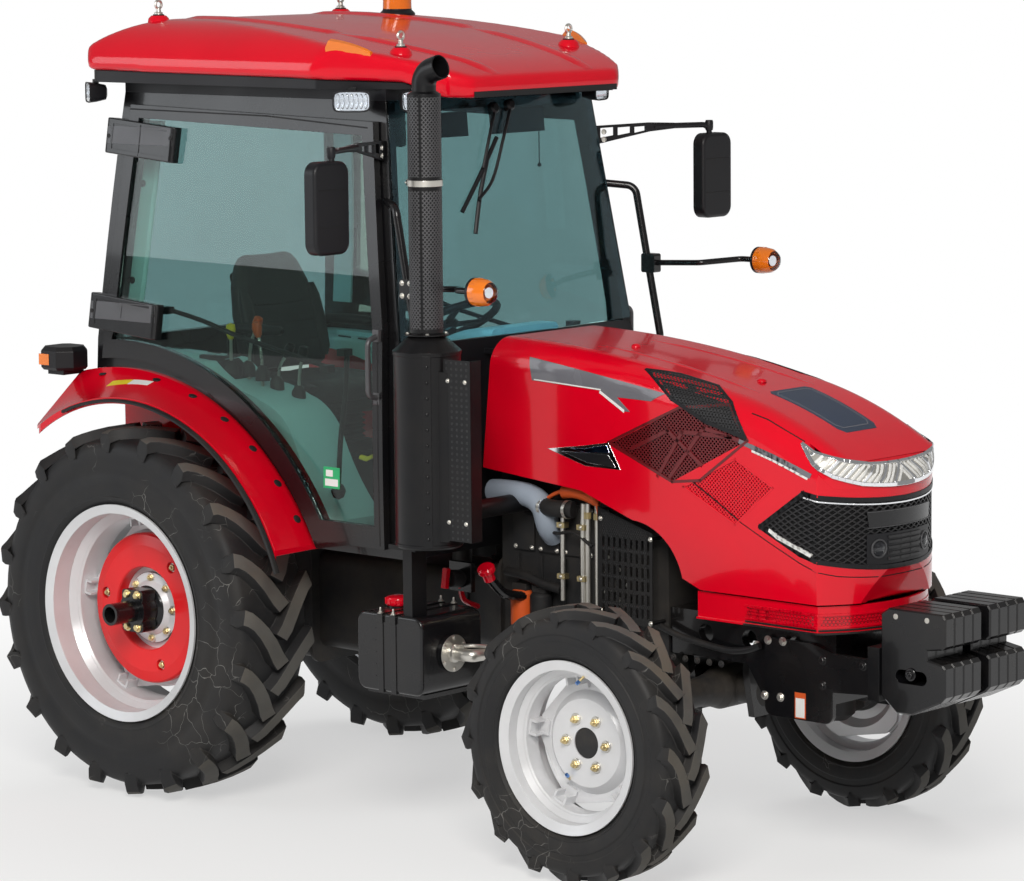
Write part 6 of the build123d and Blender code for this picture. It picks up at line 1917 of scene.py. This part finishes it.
@dataclass
class Seat:
    """Driver's seat: cushion and back swelled by cloth, on a pedestal with bellows."""

    def build(self) -> None:
        """Make the pads, the pedestal and the arm rests."""
        self.cushion()
        self.back()
        self.base()

    @staticmethod
    def slab(form: Form, rows: Sequence[tuple[Vector, Vector, float, float]], steps: int = 14) -> None:
        """Skin over crowned cross-sections.

        Args:
            form: the piece to add it to.
            rows: for each section its middle, its thickness direction, half width and half depth,
                in metres.
            steps: points over each half of a section.
        """
        skin = []
        for middle, up, half, deep in rows:
            skin.append([middle + Vector((0, half * squared(math.cos(a), 0.42), 0))
                         + up * deep * squared(math.sin(a), 0.62) for a in turns(2 * steps)])
        form.sweep(skin, VINYL, closed=True, lids=(VINYL, VINYL))

    def cushion(self) -> None:
        """Seat cushion with raised side bolsters."""
        form, up = Form(), Vector((0, 0, 1))
        rows = [(at(x, 0, z), up, half * MM, deep * MM) for x, z, half, deep in
                ((-20, 1385, 175, 24), (-8, 1385, 200, 36), (60, 1379, 212, 40), (200, 1376, 218, 40),
                 (320, 1378, 212, 38), (372, 1374, 196, 30), (384, 1372, 172, 18))]
        self.slab(form, rows)
        Pad("seat_cushion", 9.0).swell(form)
        for s in (-1, 1):
            rows = []
            for x, z, half, deep in ((0, 1404, 22, 12), (20, 1406, 30, 18), (150, 1404, 34, 20),
                                     (290, 1402, 32, 18), (350, 1398, 22, 10)):
                rows.append((at(x, s * 190, z), up, half * MM, deep * MM))
            self.slab(form, rows, 8)
        form.done("seat_bolsters", "seat_vinyl", weld=True)

    def back(self) -> None:
        """Back rest that leans rearward and narrows towards its head."""
        form = Form()
        rows = []
        for x, z, half, deep in ((14, 1432, 180, 26), (10, 1446, 204, 38), (-8, 1520, 212, 42),
                                 (-36, 1640, 208, 40), (-62, 1740, 192, 34), (-80, 1812, 160, 28),
                                 (-86, 1838, 138, 20), (-89, 1850, 112, 10)):
            rows.append((at(x, 0, z), Vector((0.97, 0, 0.24)), half * MM, deep * MM))
        self.slab(form, rows)
        Pad("seat_back", 9.0).swell(form)
        for s in (-1, 1):
            rows = []
            for x, z, half, deep in ((40, 1470, 16, 8), (36, 1500, 26, 16), (14, 1600, 28, 17),
                                     (-12, 1690, 24, 13), (-24, 1730, 14, 6)):
                rows.append((at(x, s * 172, z), Vector((0.97, 0, 0.24)), half * MM, deep * MM))
            self.slab(form, rows, 8)
        for z, x, half in ((1530, 38, 140), (1600, 22, 142), (1668, 4, 138)):
            form.tube([at(x, half * t, z + 6 * abs(t)) for t in
                       (-1, -0.75, -0.5, -0.25, 0, 0.25, 0.5, 0.75, 1)], 3.5, SEAL, 8)
        form.done("seat_back_bolsters", "seat_vinyl")

    def base(self) -> None:
        """Pedestal with bellows, slide rails, adjusters and arm rests."""
        form = Form()
        rows = []
        for k in range(13):
            z = 1190 + 9.5 * k
            out = 6 if k % 2 else -4
            rows.append([at(160 + sx * (128 + out), sy * (118 + out), z)
                         for sx, sy in ((-1, -1), (1, -1), (1, 1), (-1, 1))])
        form.sweep(rows, SEAL, closed=True)
        for low, high, x0, x1, half in ((1151, 1190, 2, 318, 148), (1296, 1324, -8, 338, 158),
                                        (1322, 1350, -20, 360, 176)):
            form.box((x0, -half, low), (x1, half, high), PLASTIC)
        for s in (-1, 1):
            form.box((20, s * 150 - 10, 1290), (350, s * 150 + 10, 1298), ZINC)
            arm = [at(-24, s * 228, 1470), at(-28, s * 228, 1560), at(20, s * 228, 1592),
                   at(120, s * 228, 1600), at(226, s * 228, 1596)]
            form.tube(smooth_path(arm, 4)[:10], 14, PLASTIC, 12)
            rows = []
            for x, half, deep in ((0, 8, 8), (10, 20, 16), (120, 24, 20), (215, 22, 17), (232, 10, 8)):
                rows.append([at(x, s * 228 + half * math.cos(a), 1600 + deep * math.sin(a))
                             for a in turns(16)])
            form.sweep(rows, VINYL, closed=True)
        knob = facing(at(338, -60, 1310), (1, 0, 0))
        form.lathe([(16, -2), (18, 10), (14, 20), (0, 20)], PLASTIC, knob, 20)
        back = [(-30, 1440), (-84, 1640), (-122, 1770), (-112, 1782), (-70, 1640), (-20, 1440)]
        rows = [[at(x, y, z) for x, z in back] for y in (-140, -100, 0, 100, 140)]
        form.sweep(rows, PLASTIC, closed=True)
        form.done("seat_base", "seat_vinyl", bevel_mm=1.5, replaces=["driver_seat"])


# ------------------------------------------------------------------ chassis
@dataclass
class Chassis:
    """Fittings of the engine bay, tank, fenders, axles, weights and hitch."""

    def build(self) -> None:
        """Make every group of fittings."""
        self.tank()
        self.pipes()
        self.bay()
        self.front_end()
        self.rear_end()
        self.steps()
        for side in Side:
            self.screen(side)
            self.fender(side)
            self.wheel_marks(side)

    def ring(self, form: Form, place: Matrix, circle: float, count: int, size: float, finish: Finish,
             turn: float = 0.0) -> None:
        """Bolts on a circle about the local Z, sizes in millimetres."""
        for k in range(count):
            a = Matrix.Rotation(math.radians(turn + 360 * k / count), 4, "Z")
            form.bolt(place @ a @ shift(circle, 0, 0), size, finish)

    def tank(self) -> None:
        """Strap bolts, filler cap, outlet flange, elbow and gauge line of the fuel tank."""
        form = Form()
        for x in (1194, 1252):
            for y in (-751, -459):
                form.box((x - 13, y - 6, 742), (x + 13, y + 6, 772), BLACK)
                form.bolt(facing(at(x, y, 773), (0, 0, 1)), 15, ZINC, stud=12)
        for k in range(5):
            form.box((1160, -752, 560 + 40 * k), (1172, -749.5, 562 + 40 * k), BLACK)
        form.done("tank_strap_bolts", "black_paint", bevel_mm=0.8)
        cap = spin(1143, -610, 778)
        form.lathe([(36, -4), (42, 0), (44, 6), (44, 20), (40, 26), (20, 30), (0, 30)], RED, cap, 40)
        for k in range(12):
            form.box((43, -3.5, 4), (47, 3.5, 22), RED,
                     cap @ Matrix.Rotation(math.radians(30 * k), 4, "Z"))
        form.done("tank_cap", "red_paint", bevel_mm=0.8)
        face = facing(at(1391.5, -610, 641), (1, 0, 0))
        self.ring(form, face, 52, 6, 12, ZINC, 30)
        form.lathe([(61.5, -4), (61.5, 1.5), (30, 1.5), (30, 8), (24, 12), (20, 12)], ZINC, face, 40)
        form.tube(bend((1392, -610, 641), (1452, -610, 641), (1474, -590, 641), (1475, -500, 641),
                       steps=6), 21.2, ZINC, 24)
        for x0 in (1404, 1438):
            clamp = facing(at(x0, -610, 641), (1, 0, 0))
            form.lathe(rect(20.2, -5, 22.2, 5), ZINC, clamp, 32)
            form.box((-7, 20, -5), (7, 31, 5), ZINC, clamp)
        form.tube(bend((1400, -610, 662), (1452, -604, 672), (1484, -560, 668), (1488, -500, 660),
                       (1470, -420, 660)), 6.5, ZINC)
        form.done("tank_outlet_fittings", "zinc", bevel_mm=0.5)

    def pipes(self) -> None:
        """Hoses, wrapped pipes and clamps that show on the right of the engine."""
        form = Form()
        for path, radius, finish in (
                (((1256, -262, 1130), (1330, -266, 1134), (1420, -262, 1128), (1470, -256, 1096),
                  (1482, -240, 1030), (1476, -200, 990)), 40, SOFT_GREY),
                (((1560, -246, 1150), (1600, -250, 1156), (1650, -244, 1150), (1700, -230, 1130)),
                 22, ORANGE),
                (((1290, -236, 858), (1380, -240, 850), (1452, -240, 832), (1530, -232, 818)),
                 15.5, SEAL),
                (((1470, -236, 1104), (1492, -262, 1098), (1540, -270, 1096), (1605, -252, 1096)),
                 29, SEAL)):
            form.tube(bend(*path, steps=6), radius, finish, 16)
        for path, radius, finish in (
                (((1551, -244, 1118), (1551, -246, 960), (1550, -246, 786)), 8.5, ZINC),
                (((1639, -244, 1118), (1639, -246, 960), (1640, -246, 786)), 8.5, ZINC),
                (((1655, -238, 690), (1655, -238, 1120)), 9.5, ZINC),
                (((1697, -238, 690), (1697, -238, 1120)), 9.5, ZINC),
                (((1477, -252, 1117), (1544, -256, 1150), (1610, -256, 1162), (1660, -254, 1158),
                  (1697, -250, 1137), (1710, -246, 1098), (1712, -240, 1040)), 7, ORANGE),
                (((1430, -240, 1042), (1520, -250, 1010), (1600, -250, 1020), (1680, -246, 980)),
                 6, SEAL),
                (((1330, -232, 700), (1450, -238, 690), (1560, -236, 720), (1655, -238, 700)),
                 7.5, ZINC)):
            form.tube(bend(*path), radius, finish, 12)
        for x, z in ((1551, 868), (1639, 868), (1551, 1040), (1639, 1040)):
            form.box((x - 17, -258, z - 9), (x + 17, -234, z + 9), BRASS)
            form.bolt(facing(at(x, -258, z), (0, -1, 0)), 9, ZINC)
        for x, z in ((1655, 760), (1697, 760), (1655, 1080), (1697, 1080)):
            nut = spin(x, -238, z)
            form.lathe(rect(9.5, -11, 14, 11), BRASS, nut, 6)
        for x in (1482, 1592):
            band = facing(at(x, -266, 1097), (1, 0, 0))
            form.lathe(rect(29.2, -6, 31, 6), ZINC, band, 32)
        form.done("engine_pipes_dressed", "black_plastic", bevel_mm=0.6, replaces=["engine_pipes"])

    def bay(self) -> None:
        """Ribs, covers, filters, pump and bolts on the engine's plain block, and the battery switch."""
        form = Form()
        for s in (-1, 1):
            for k in range(4):
                x = 1290 + 112 * k
                form.box((x, s * 189, 930), (x + 92, s * 200, 1100), CAST)
                for dx, dz in ((10, 10), (82, 10), (10, 160), (82, 160)):
                    form.bolt(beside(x + dx, 200, 930 + dz, s), 11, ZINC)
            form.box((1262, s * 188, 640), (1930, s * 202, 668), CAST)
            for k in range(12):
                form.bolt(beside(1285 + 56 * k, 202, 654, s), 12, ZINC)
            for k in range(6):
                form.box((1300 + 104 * k, s * 188, 672), (1312 + 104 * k, s * 198, 915), CAST)
        form.done("engine_ribs", "cast_black", bevel_mm=2.5)
        for x, finish in ((1345, ORANGE), (1432, SEAL)):
            can = facing(at(x, -222, 742), (0, 0, 1))
            form.lathe([(0, -72), (30, -72), (37, -64), (38, -50), (38, 45),
                        (33, 52), (28, 56), (0, 58)], finish, can, 32)
            form.box((x - 30, -236, 798), (x + 30, -190, 820), CAST)
        pump = facing(at(1760, -196, 860), (0, -1, 0))
        form.lathe([(70, -10), (70, 18), (62, 26), (30, 28), (28, 46), (0, 48)], CAST, pump, 40)
        self.ring(form, pump @ shift(0, 0, 26), 52, 5, 11, ZINC)
        form.done("engine_filters", "cast_black", bevel_mm=1.0)
        switch = facing(at(1209, -430, 848), (0, -1, 0.15))
        form.lathe([(30, -50), (30, 0), (26, 4), (12, 4), (12, 14), (0, 14)], SEAL, switch, 32)
        form.box((-10, -34, 12), (10, 34, 30), RED, switch)
        stem = facing(at(1209, -380, 848), (0, -1, 0))
        form.box((-50, -50, -20), (50, 50, 0), BLACK, stem)
        form.tube(bend((1209, -380, 822), (1180, -330, 760), (1150, -230, 720)), 10, RED)
        cap = facing(at(1373, -424, 885), (0.1, -0.5, 0.86))
        form.lathe([(20, -30), (22, 0), (30, 4), (30, 18), (24, 24), (0, 24)], RED, cap, 32)
        form.tube(bend((1373, -412, 862), (1368, -330, 800), (1362, -192, 770)), 17, BLACK)
        form.done("battery_switch", "black_plastic", bevel_mm=1.0)

    def front_end(self) -> None:
        """Bolts of the front support, its blank label, the weights' pins and the front hoses."""
        form = Form()
        for s in (-1, 1):
            for x, z in ((2334, 718), (2379, 740), (2440, 742), (2366, 559), (2430, 560), (2600, 700),
                         (2600, 620), (2760, 700)):
                form.bolt(beside(x, 196, z, s), 20, ZINC if x < 2500 else BLACK)
            for x in (1990, 2040, 2090, 2140, 2190):
                form.bolt(beside(x, 200.5, 640, s), 16, CAST)
        form.box((2488, -197.2, 500), (2532, -196, 584), ORANGE)
        form.box((2492, -197.6, 504), (2528, -197, 566), WHITE)
        form.done("bracket_bolts", "zinc")
        for s in (-1, 1):
            for dx in (-60, 60):
                form.tube([at(2960 + dx, s * 20, 876), at(2960 + dx, s * 216, 876)], 9, ZINC, 12)
            form.bolt(beside(2960, 217, 700, s), 28, BLACK, stud=6)
        form.done("weight_pins", "black_paint")
        hose = bend((1945, -214, 739), (2020, -212, 716), (2093, -208, 704), (2218, -206, 690),
                   (2300, -206, 700), (2354, -206, 720))
        form.tube(hose, 11, SEAL, 12)
        for s in (-1, 1):
            form.tube(bend((2060, s * 150, 470), (2060, s * 260, 520), (2060, s * 380, 560),
                           (2040, s * 470, 600)), 8, SEAL, 10)
        form.done("front_hoses", "black_plastic")

    def rear_end(self) -> None:
        """Shaft splines, hydraulic coupler blocks and link bolts at the rear."""
        form = Form()
        for k in range(6):
            turn = spin(-330, 0, 600) @ Matrix.Rotation(math.radians(60 * k), 4, "X")
            form.box((-36, -4.2, 16.5), (34, 4.2, 19.6), ZINC, turn)
        form.done("pto_splines", "zinc")
        for s in (-1, 1):
            for k in range(2):
                y, z = s * (70 + 62 * k), 900
                body = facing(at(-262, y, z), (-1, 0, 0))
                form.box((-26, -50, -40), (26, 50, 20), ZINC, body)
                for rise in (-25, 25):
                    place = body @ shift(0, rise, 20)
                    form.lathe([(18, 0), (18, 20), (15, 22), (10, 22), (10, 8), (0, 8)], BRASS, place,
                               24)
                    form.lathe([(19, 21), (20, 26), (12, 30), (0, 30)], RED if k else SEAL, place, 24)
            link = beside(-400, 430, 560, s)
            form.bolt(link, 22, ZINC)
        form.done("hydraulic_couplers", "zinc", bevel_mm=0.8)

    def steps(self) -> None:
        """Tread teeth on the left entry step."""
        skin, form = Skin("left_step"), Form()
        top = from_above(skin)
        for x in range(960, 1300, 42):
            for y in (640, 690, 740):
                place = top.point(x, y, 0.0)
                if place:
                    form.lathe([(9, -1), (8, 4), (5, 4), (4, 1), (0, 1)],
                               BLACK, facing(place, (0, 0, 1)), 12)
        form.done("step_teeth", "black_paint")

    def screen(self, side: Side) -> None:
        """Perforated mesh and bolts on an engine side screen."""
        skin, form, s = Skin("engine_side_screens"), Form(), side.value
        view = from_side(skin, side)
        outline = [(1733, 786), (1932, 762), (1932, 1104), (1733, 1104)]
        # matte black sheet under the screen's holes: painted shade of the engine bay behind it
        view.patch(form, outline, GAP_BLACK_AND_PAINTED_SHADE, -1.0, 0.4, 60.0)
        view.screen(form, outline, (9.4, 8.2), (3.4, 3.4), MESH_BLACK, 6, -0.2, 1.5)
        for x, z in ((1728, 775), (1728, 1080), (1942, 752), (1942, 1030)):
            place = view.point(x, z, 0.0)
            if place:
                form.bolt(facing(place, (0, s, 0)), 12, ZINC)
        form.done(f"screen_mesh_{side.word}", "black_paint")

    def fender(self, side: Side) -> None:
        """Plugs, blank labels and lip seal of a rear fender."""
        skin, s = Skin("rear_fenders"), side.value
        form = Form()
        for x, z in ((-245, 1462), (30, 1450), (210, 1410), (370, 1348), (510, 1262), (628, 1150),
                     (712, 1030)):
            out = Vector((x + 155, 0, z - 438))
            found = skin.hit(at(x, s * 648, z) + out * 0.6 * MM, -out)
            if found:
                form.lathe([(15, -3), (15, 2), (11, 4), (0, 4)], SEAL, facing(found[0], out), 20)
        above = from_above(skin)
        above.patch(form, [(-150, s * 722), (-60, s * 708), (-60, s * 676), (-150, s * 690)], LABEL,
                    -1.0, 0.6)
        above.patch(form, [(-58, s * 708), (30, s * 694), (30, s * 662), (-58, s * 676)], WHITE, -1.0,
                    0.6)
        form.done(f"fender_plugs_{side.word}", "black_plastic")
        rows = []
        for k in range(25):
            a = math.radians(112 - 92 * k / 24)
            x, z, r = 45, 600, 800
            rim = [(r - 6, 824), (r + 3, 824), (r + 3, 836), (r - 1, 842), (r - 7, 842), (r - 9, 832)]
            rows.append([at(x + q * math.cos(a), s * y, z + q * math.sin(a)) for q, y in rim])
        form.sweep(rows, SEAL, closed=True, lids=(SEAL, SEAL))
        form.done(f"fender_lip_{side.word}", "black_plastic", weld=True)

    def wheel_marks(self, side: Side) -> None:
        """Valves on the rims."""
        s = side.value
        for stem in ("rear", "front"):
            body = f"{stem}_wheel_{side.word}"
            form = Form()
            skin = Skin(f"{stem}_rim_{side.word}")
            view = from_side(skin, side)
            middle = (0, 650) if stem == "rear" else (2060, 500)
            radius = 262 if stem == "rear" else 196
            for degrees in (68, 248):
                a = math.radians(degrees)
                u, v = middle[0] + radius * math.cos(a), middle[1] + radius * math.sin(a)
                place = view.point(u, v, 0.0)
                if place:
                    lean = Vector((math.cos(a), 0, math.sin(a)))
                    form.tube([place, place - lean * 0.014 + Vector((0, s * 0.016, 0))], 4.5, BRASS, 10)
                    form.tube([place - lean * 0.014 + Vector((0, s * 0.016, 0)),
                               place - lean * 0.022 + Vector((0, s * 0.026, 0))], 6.2, BLUE_METAL_AND_PAINTED_SKY, 10)
            if form.mesh.verts:
                form.done(f"{stem}_valve_{side.word}", "silver_paint", body)


# ------------------------------------------------------------------ finishes of the CAD nodes
DRESS: dict[str, tuple[Finish, ...]] = {
    "engine_block": (CAST,), "transmission_housing": (CAST,), "front_support": (BLACK,),
    "front_axle_beam": (CAST,), "weight_bracket": (BLACK,), "front_weights": (BLACK,),
    "radiator": (BLACK_SATIN,), "engine_side_screens": (BLACK_SATIN,), "engine_pipes": (SEAL,),
    "fuel_tank": (BLACK,), "left_step": (BLACK,), "exhaust_muffler": (BLACK_SATIN,),
    "exhaust_stack": (BLACK_SATIN,), "cab_frame": (BLACK,), "cab_floor": (PLASTIC,),
    "cab_consoles": (TEAL,), "windscreen": (PANE,), "rear_window": (PANE,), "cab_roof": (RED,),
    "roof_liner": (PLASTIC,), "rear_fenders": (RED,), "driver_seat": (VINYL,),
    "dash_console": (TEAL,), "mirrors": (PLASTIC,), "handrails": (BLACK,), "signal_lamps": (AMBER,),
    "work_lamps": (PLASTIC,), "beacon": (AMBER,), "hitch_links": (CAST,), "drawbar": (CAST,),
    "pto_shaft": (ZINC,), "hood_chin": (RED,), "steering_wheel": (PLASTIC,), "hood_shell": (RED,),
    "hood_grille": (PLASTIC,), "headlamps": (LENS,), "hood_windows": (RED,), "steering_rod": (ZINC,),
}
DRESS_SIDED: dict[str, Finish] = {
    "door_frame": BLACK, "door_glass": DOOR_TINT_AND_PAINTED_REFLECTION, "door_handle": GUNMETAL, "knuckle": CAST,
    "rear_rim": SILVER, "rear_weight": RED_CAST, "rear_axle": BLACK, "front_rim": SILVER,
}


def dress(nodes: dict[str, bpy.types.Object]) -> None:
    """Give every CAD node its finish.

    Args:
        nodes: the frame's nodes by name.
    """
    for name, node in nodes.items():
        stem = name.rsplit("_", 1)[0]
        finishes = DRESS.get(name) or (DRESS_SIDED.get(stem, PLASTIC),)
        node.data.materials.clear()
        for finish in finishes:
            node.data.materials.append(finish.material())


# ------------------------------------------------------------------ stage
@dataclass
class Studio:
    """Camera, lights and floor.

    Attributes:
        camera: where the camera stands, in metres.
        azimuth: its turn to the left of looking along +Y, in degrees.
        elevation: how far it looks down, in degrees.
        roll: its tilt about the line of sight, in degrees.
        lens: focal length on a 36 mm sensor.
    """

    camera: Point = (9.3563, -10.31185, 3.0846)
    azimuth: float = 42.077
    elevation: float = 7.481
    roll: float = -0.536
    lens: float = 143.8

    def build(self) -> None:
        """Set up everything that isn't the tractor."""
        self.place_camera()
        self.light()
        self.floor()
        bpy.context.scene.view_settings.view_transform = "Standard"

    def place_camera(self) -> None:
        """Create the scene's camera."""
        a, e, r = (math.radians(v) for v in (self.azimuth, self.elevation, self.roll))
        right = Vector((math.cos(a), math.sin(a), 0))
        ahead = Vector((-math.sin(a) * math.cos(e), math.cos(a) * math.cos(e), -math.sin(e)))
        up = right.cross(ahead)
        x = right * math.cos(r) + up * math.sin(r)
        y = up * math.cos(r) - right * math.sin(r)
        data = bpy.data.cameras.new("camera")
        data.lens, data.sensor_width = self.lens, 36.0
        eye = bpy.data.objects.new("camera", data)
        turn = Matrix((x, y, -ahead)).transposed().to_4x4()
        eye.matrix_world = Matrix.Translation(Vector(self.camera)) @ turn
        bpy.context.scene.collection.objects.link(eye)
        bpy.context.scene.camera = eye

    def lamp(self, name: str, place: Point, target: Point, size: float, power: float,
             color: RGB = (1.0, 1.0, 1.0), mirrored: bool = True) -> None:
        """Add a soft area lamp.

        Args:
            name: the lamp's name.
            place: where it stands.
            target: what it points at.
            size: side of its square face.
            power: watts.
            color: its colour.
            mirrored: False keeps it out of glossy reflections.
        """
        data = bpy.data.lights.new(name, "AREA")
        data.shape, data.size, data.energy, data.color = "SQUARE", size, power, color
        lamp = bpy.data.objects.new(name, data)
        lamp.matrix_world = facing(Vector(place), Vector(place) - Vector(target))
        lamp.visible_glossy = mirrored
        bpy.context.scene.collection.objects.link(lamp)

    def light(self) -> None:
        """Soft studio light: a pale world and three large lamps."""
        world = bpy.data.worlds.new("world")
        bpy.context.scene.world = world
        world.use_nodes = True
        world.node_tree.nodes.clear()
        n = Nodes(world.node_tree)
        path = n.add("LightPath").outputs
        seen = n.math("ADD", path["Is Camera Ray"], path["Is Transmission Ray"], clamp=True)
        level = n.span(seen, 0.0, 1.0, 0.26, 1.0)
        glossy = n.math("MULTIPLY", path["Is Glossy Ray"], 0.28)
        level = n.math("MAXIMUM", level, glossy)
        n.add("OutputWorld", n.add("Background", (1.0, 1.0, 1.0), level).outputs[0])
        self.lamp("key", (5.5, -7.0, 6.5), (0.2, -0.2, 1.0), 3.6, 760.0, (1.0, 0.97, 0.93))
        self.lamp("fill", (-6.0, -6.5, 4.0), (0.0, 0.0, 1.2), 4.0, 150.0, (0.92, 0.96, 1.0))
        self.lamp("back", (-3.0, 7.0, 5.5), (0.0, 0.0, 1.5), 4.0, 260.0, mirrored=False)

    def floor(self) -> None:
        """Plain pale floor that keeps the tractor's shadow."""
        form = Form()
        rows = [[(x * 6.0, y * 6.0, 0.0) for x in range(-8, 9)] for y in range(-8, 9)]
        form.sweep(rows, Glow("pale_floor", (0.80, 0.80, 0.79), (1.5, 5.0)))
        data = bpy.data.meshes.new("floor")
        form.mesh.to_mesh(data)
        form.mesh.free()
        data.materials.append(form.finishes[0].material())
        floor = bpy.data.objects.new("floor", data)
        bpy.context.scene.collection.objects.link(floor)


def main() -> None:
    """Build the tractor's visible pieces in order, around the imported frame."""
    logging.basicConfig(level=logging.INFO, format="%(name)s: %(message)s")
    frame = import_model()
    dress(frame["nodes"])
    for side in Side:
        RearWheel(side).build()
        FrontWheel(side).build()
    Hood().build()
    Chin().build()
    Exhaust().build()
    Roof().build()
    Signals().build()
    Cab().build()
    Seat().build()
    Chassis().build()
    Studio().build()


if __name__ == "__main__":
    main()
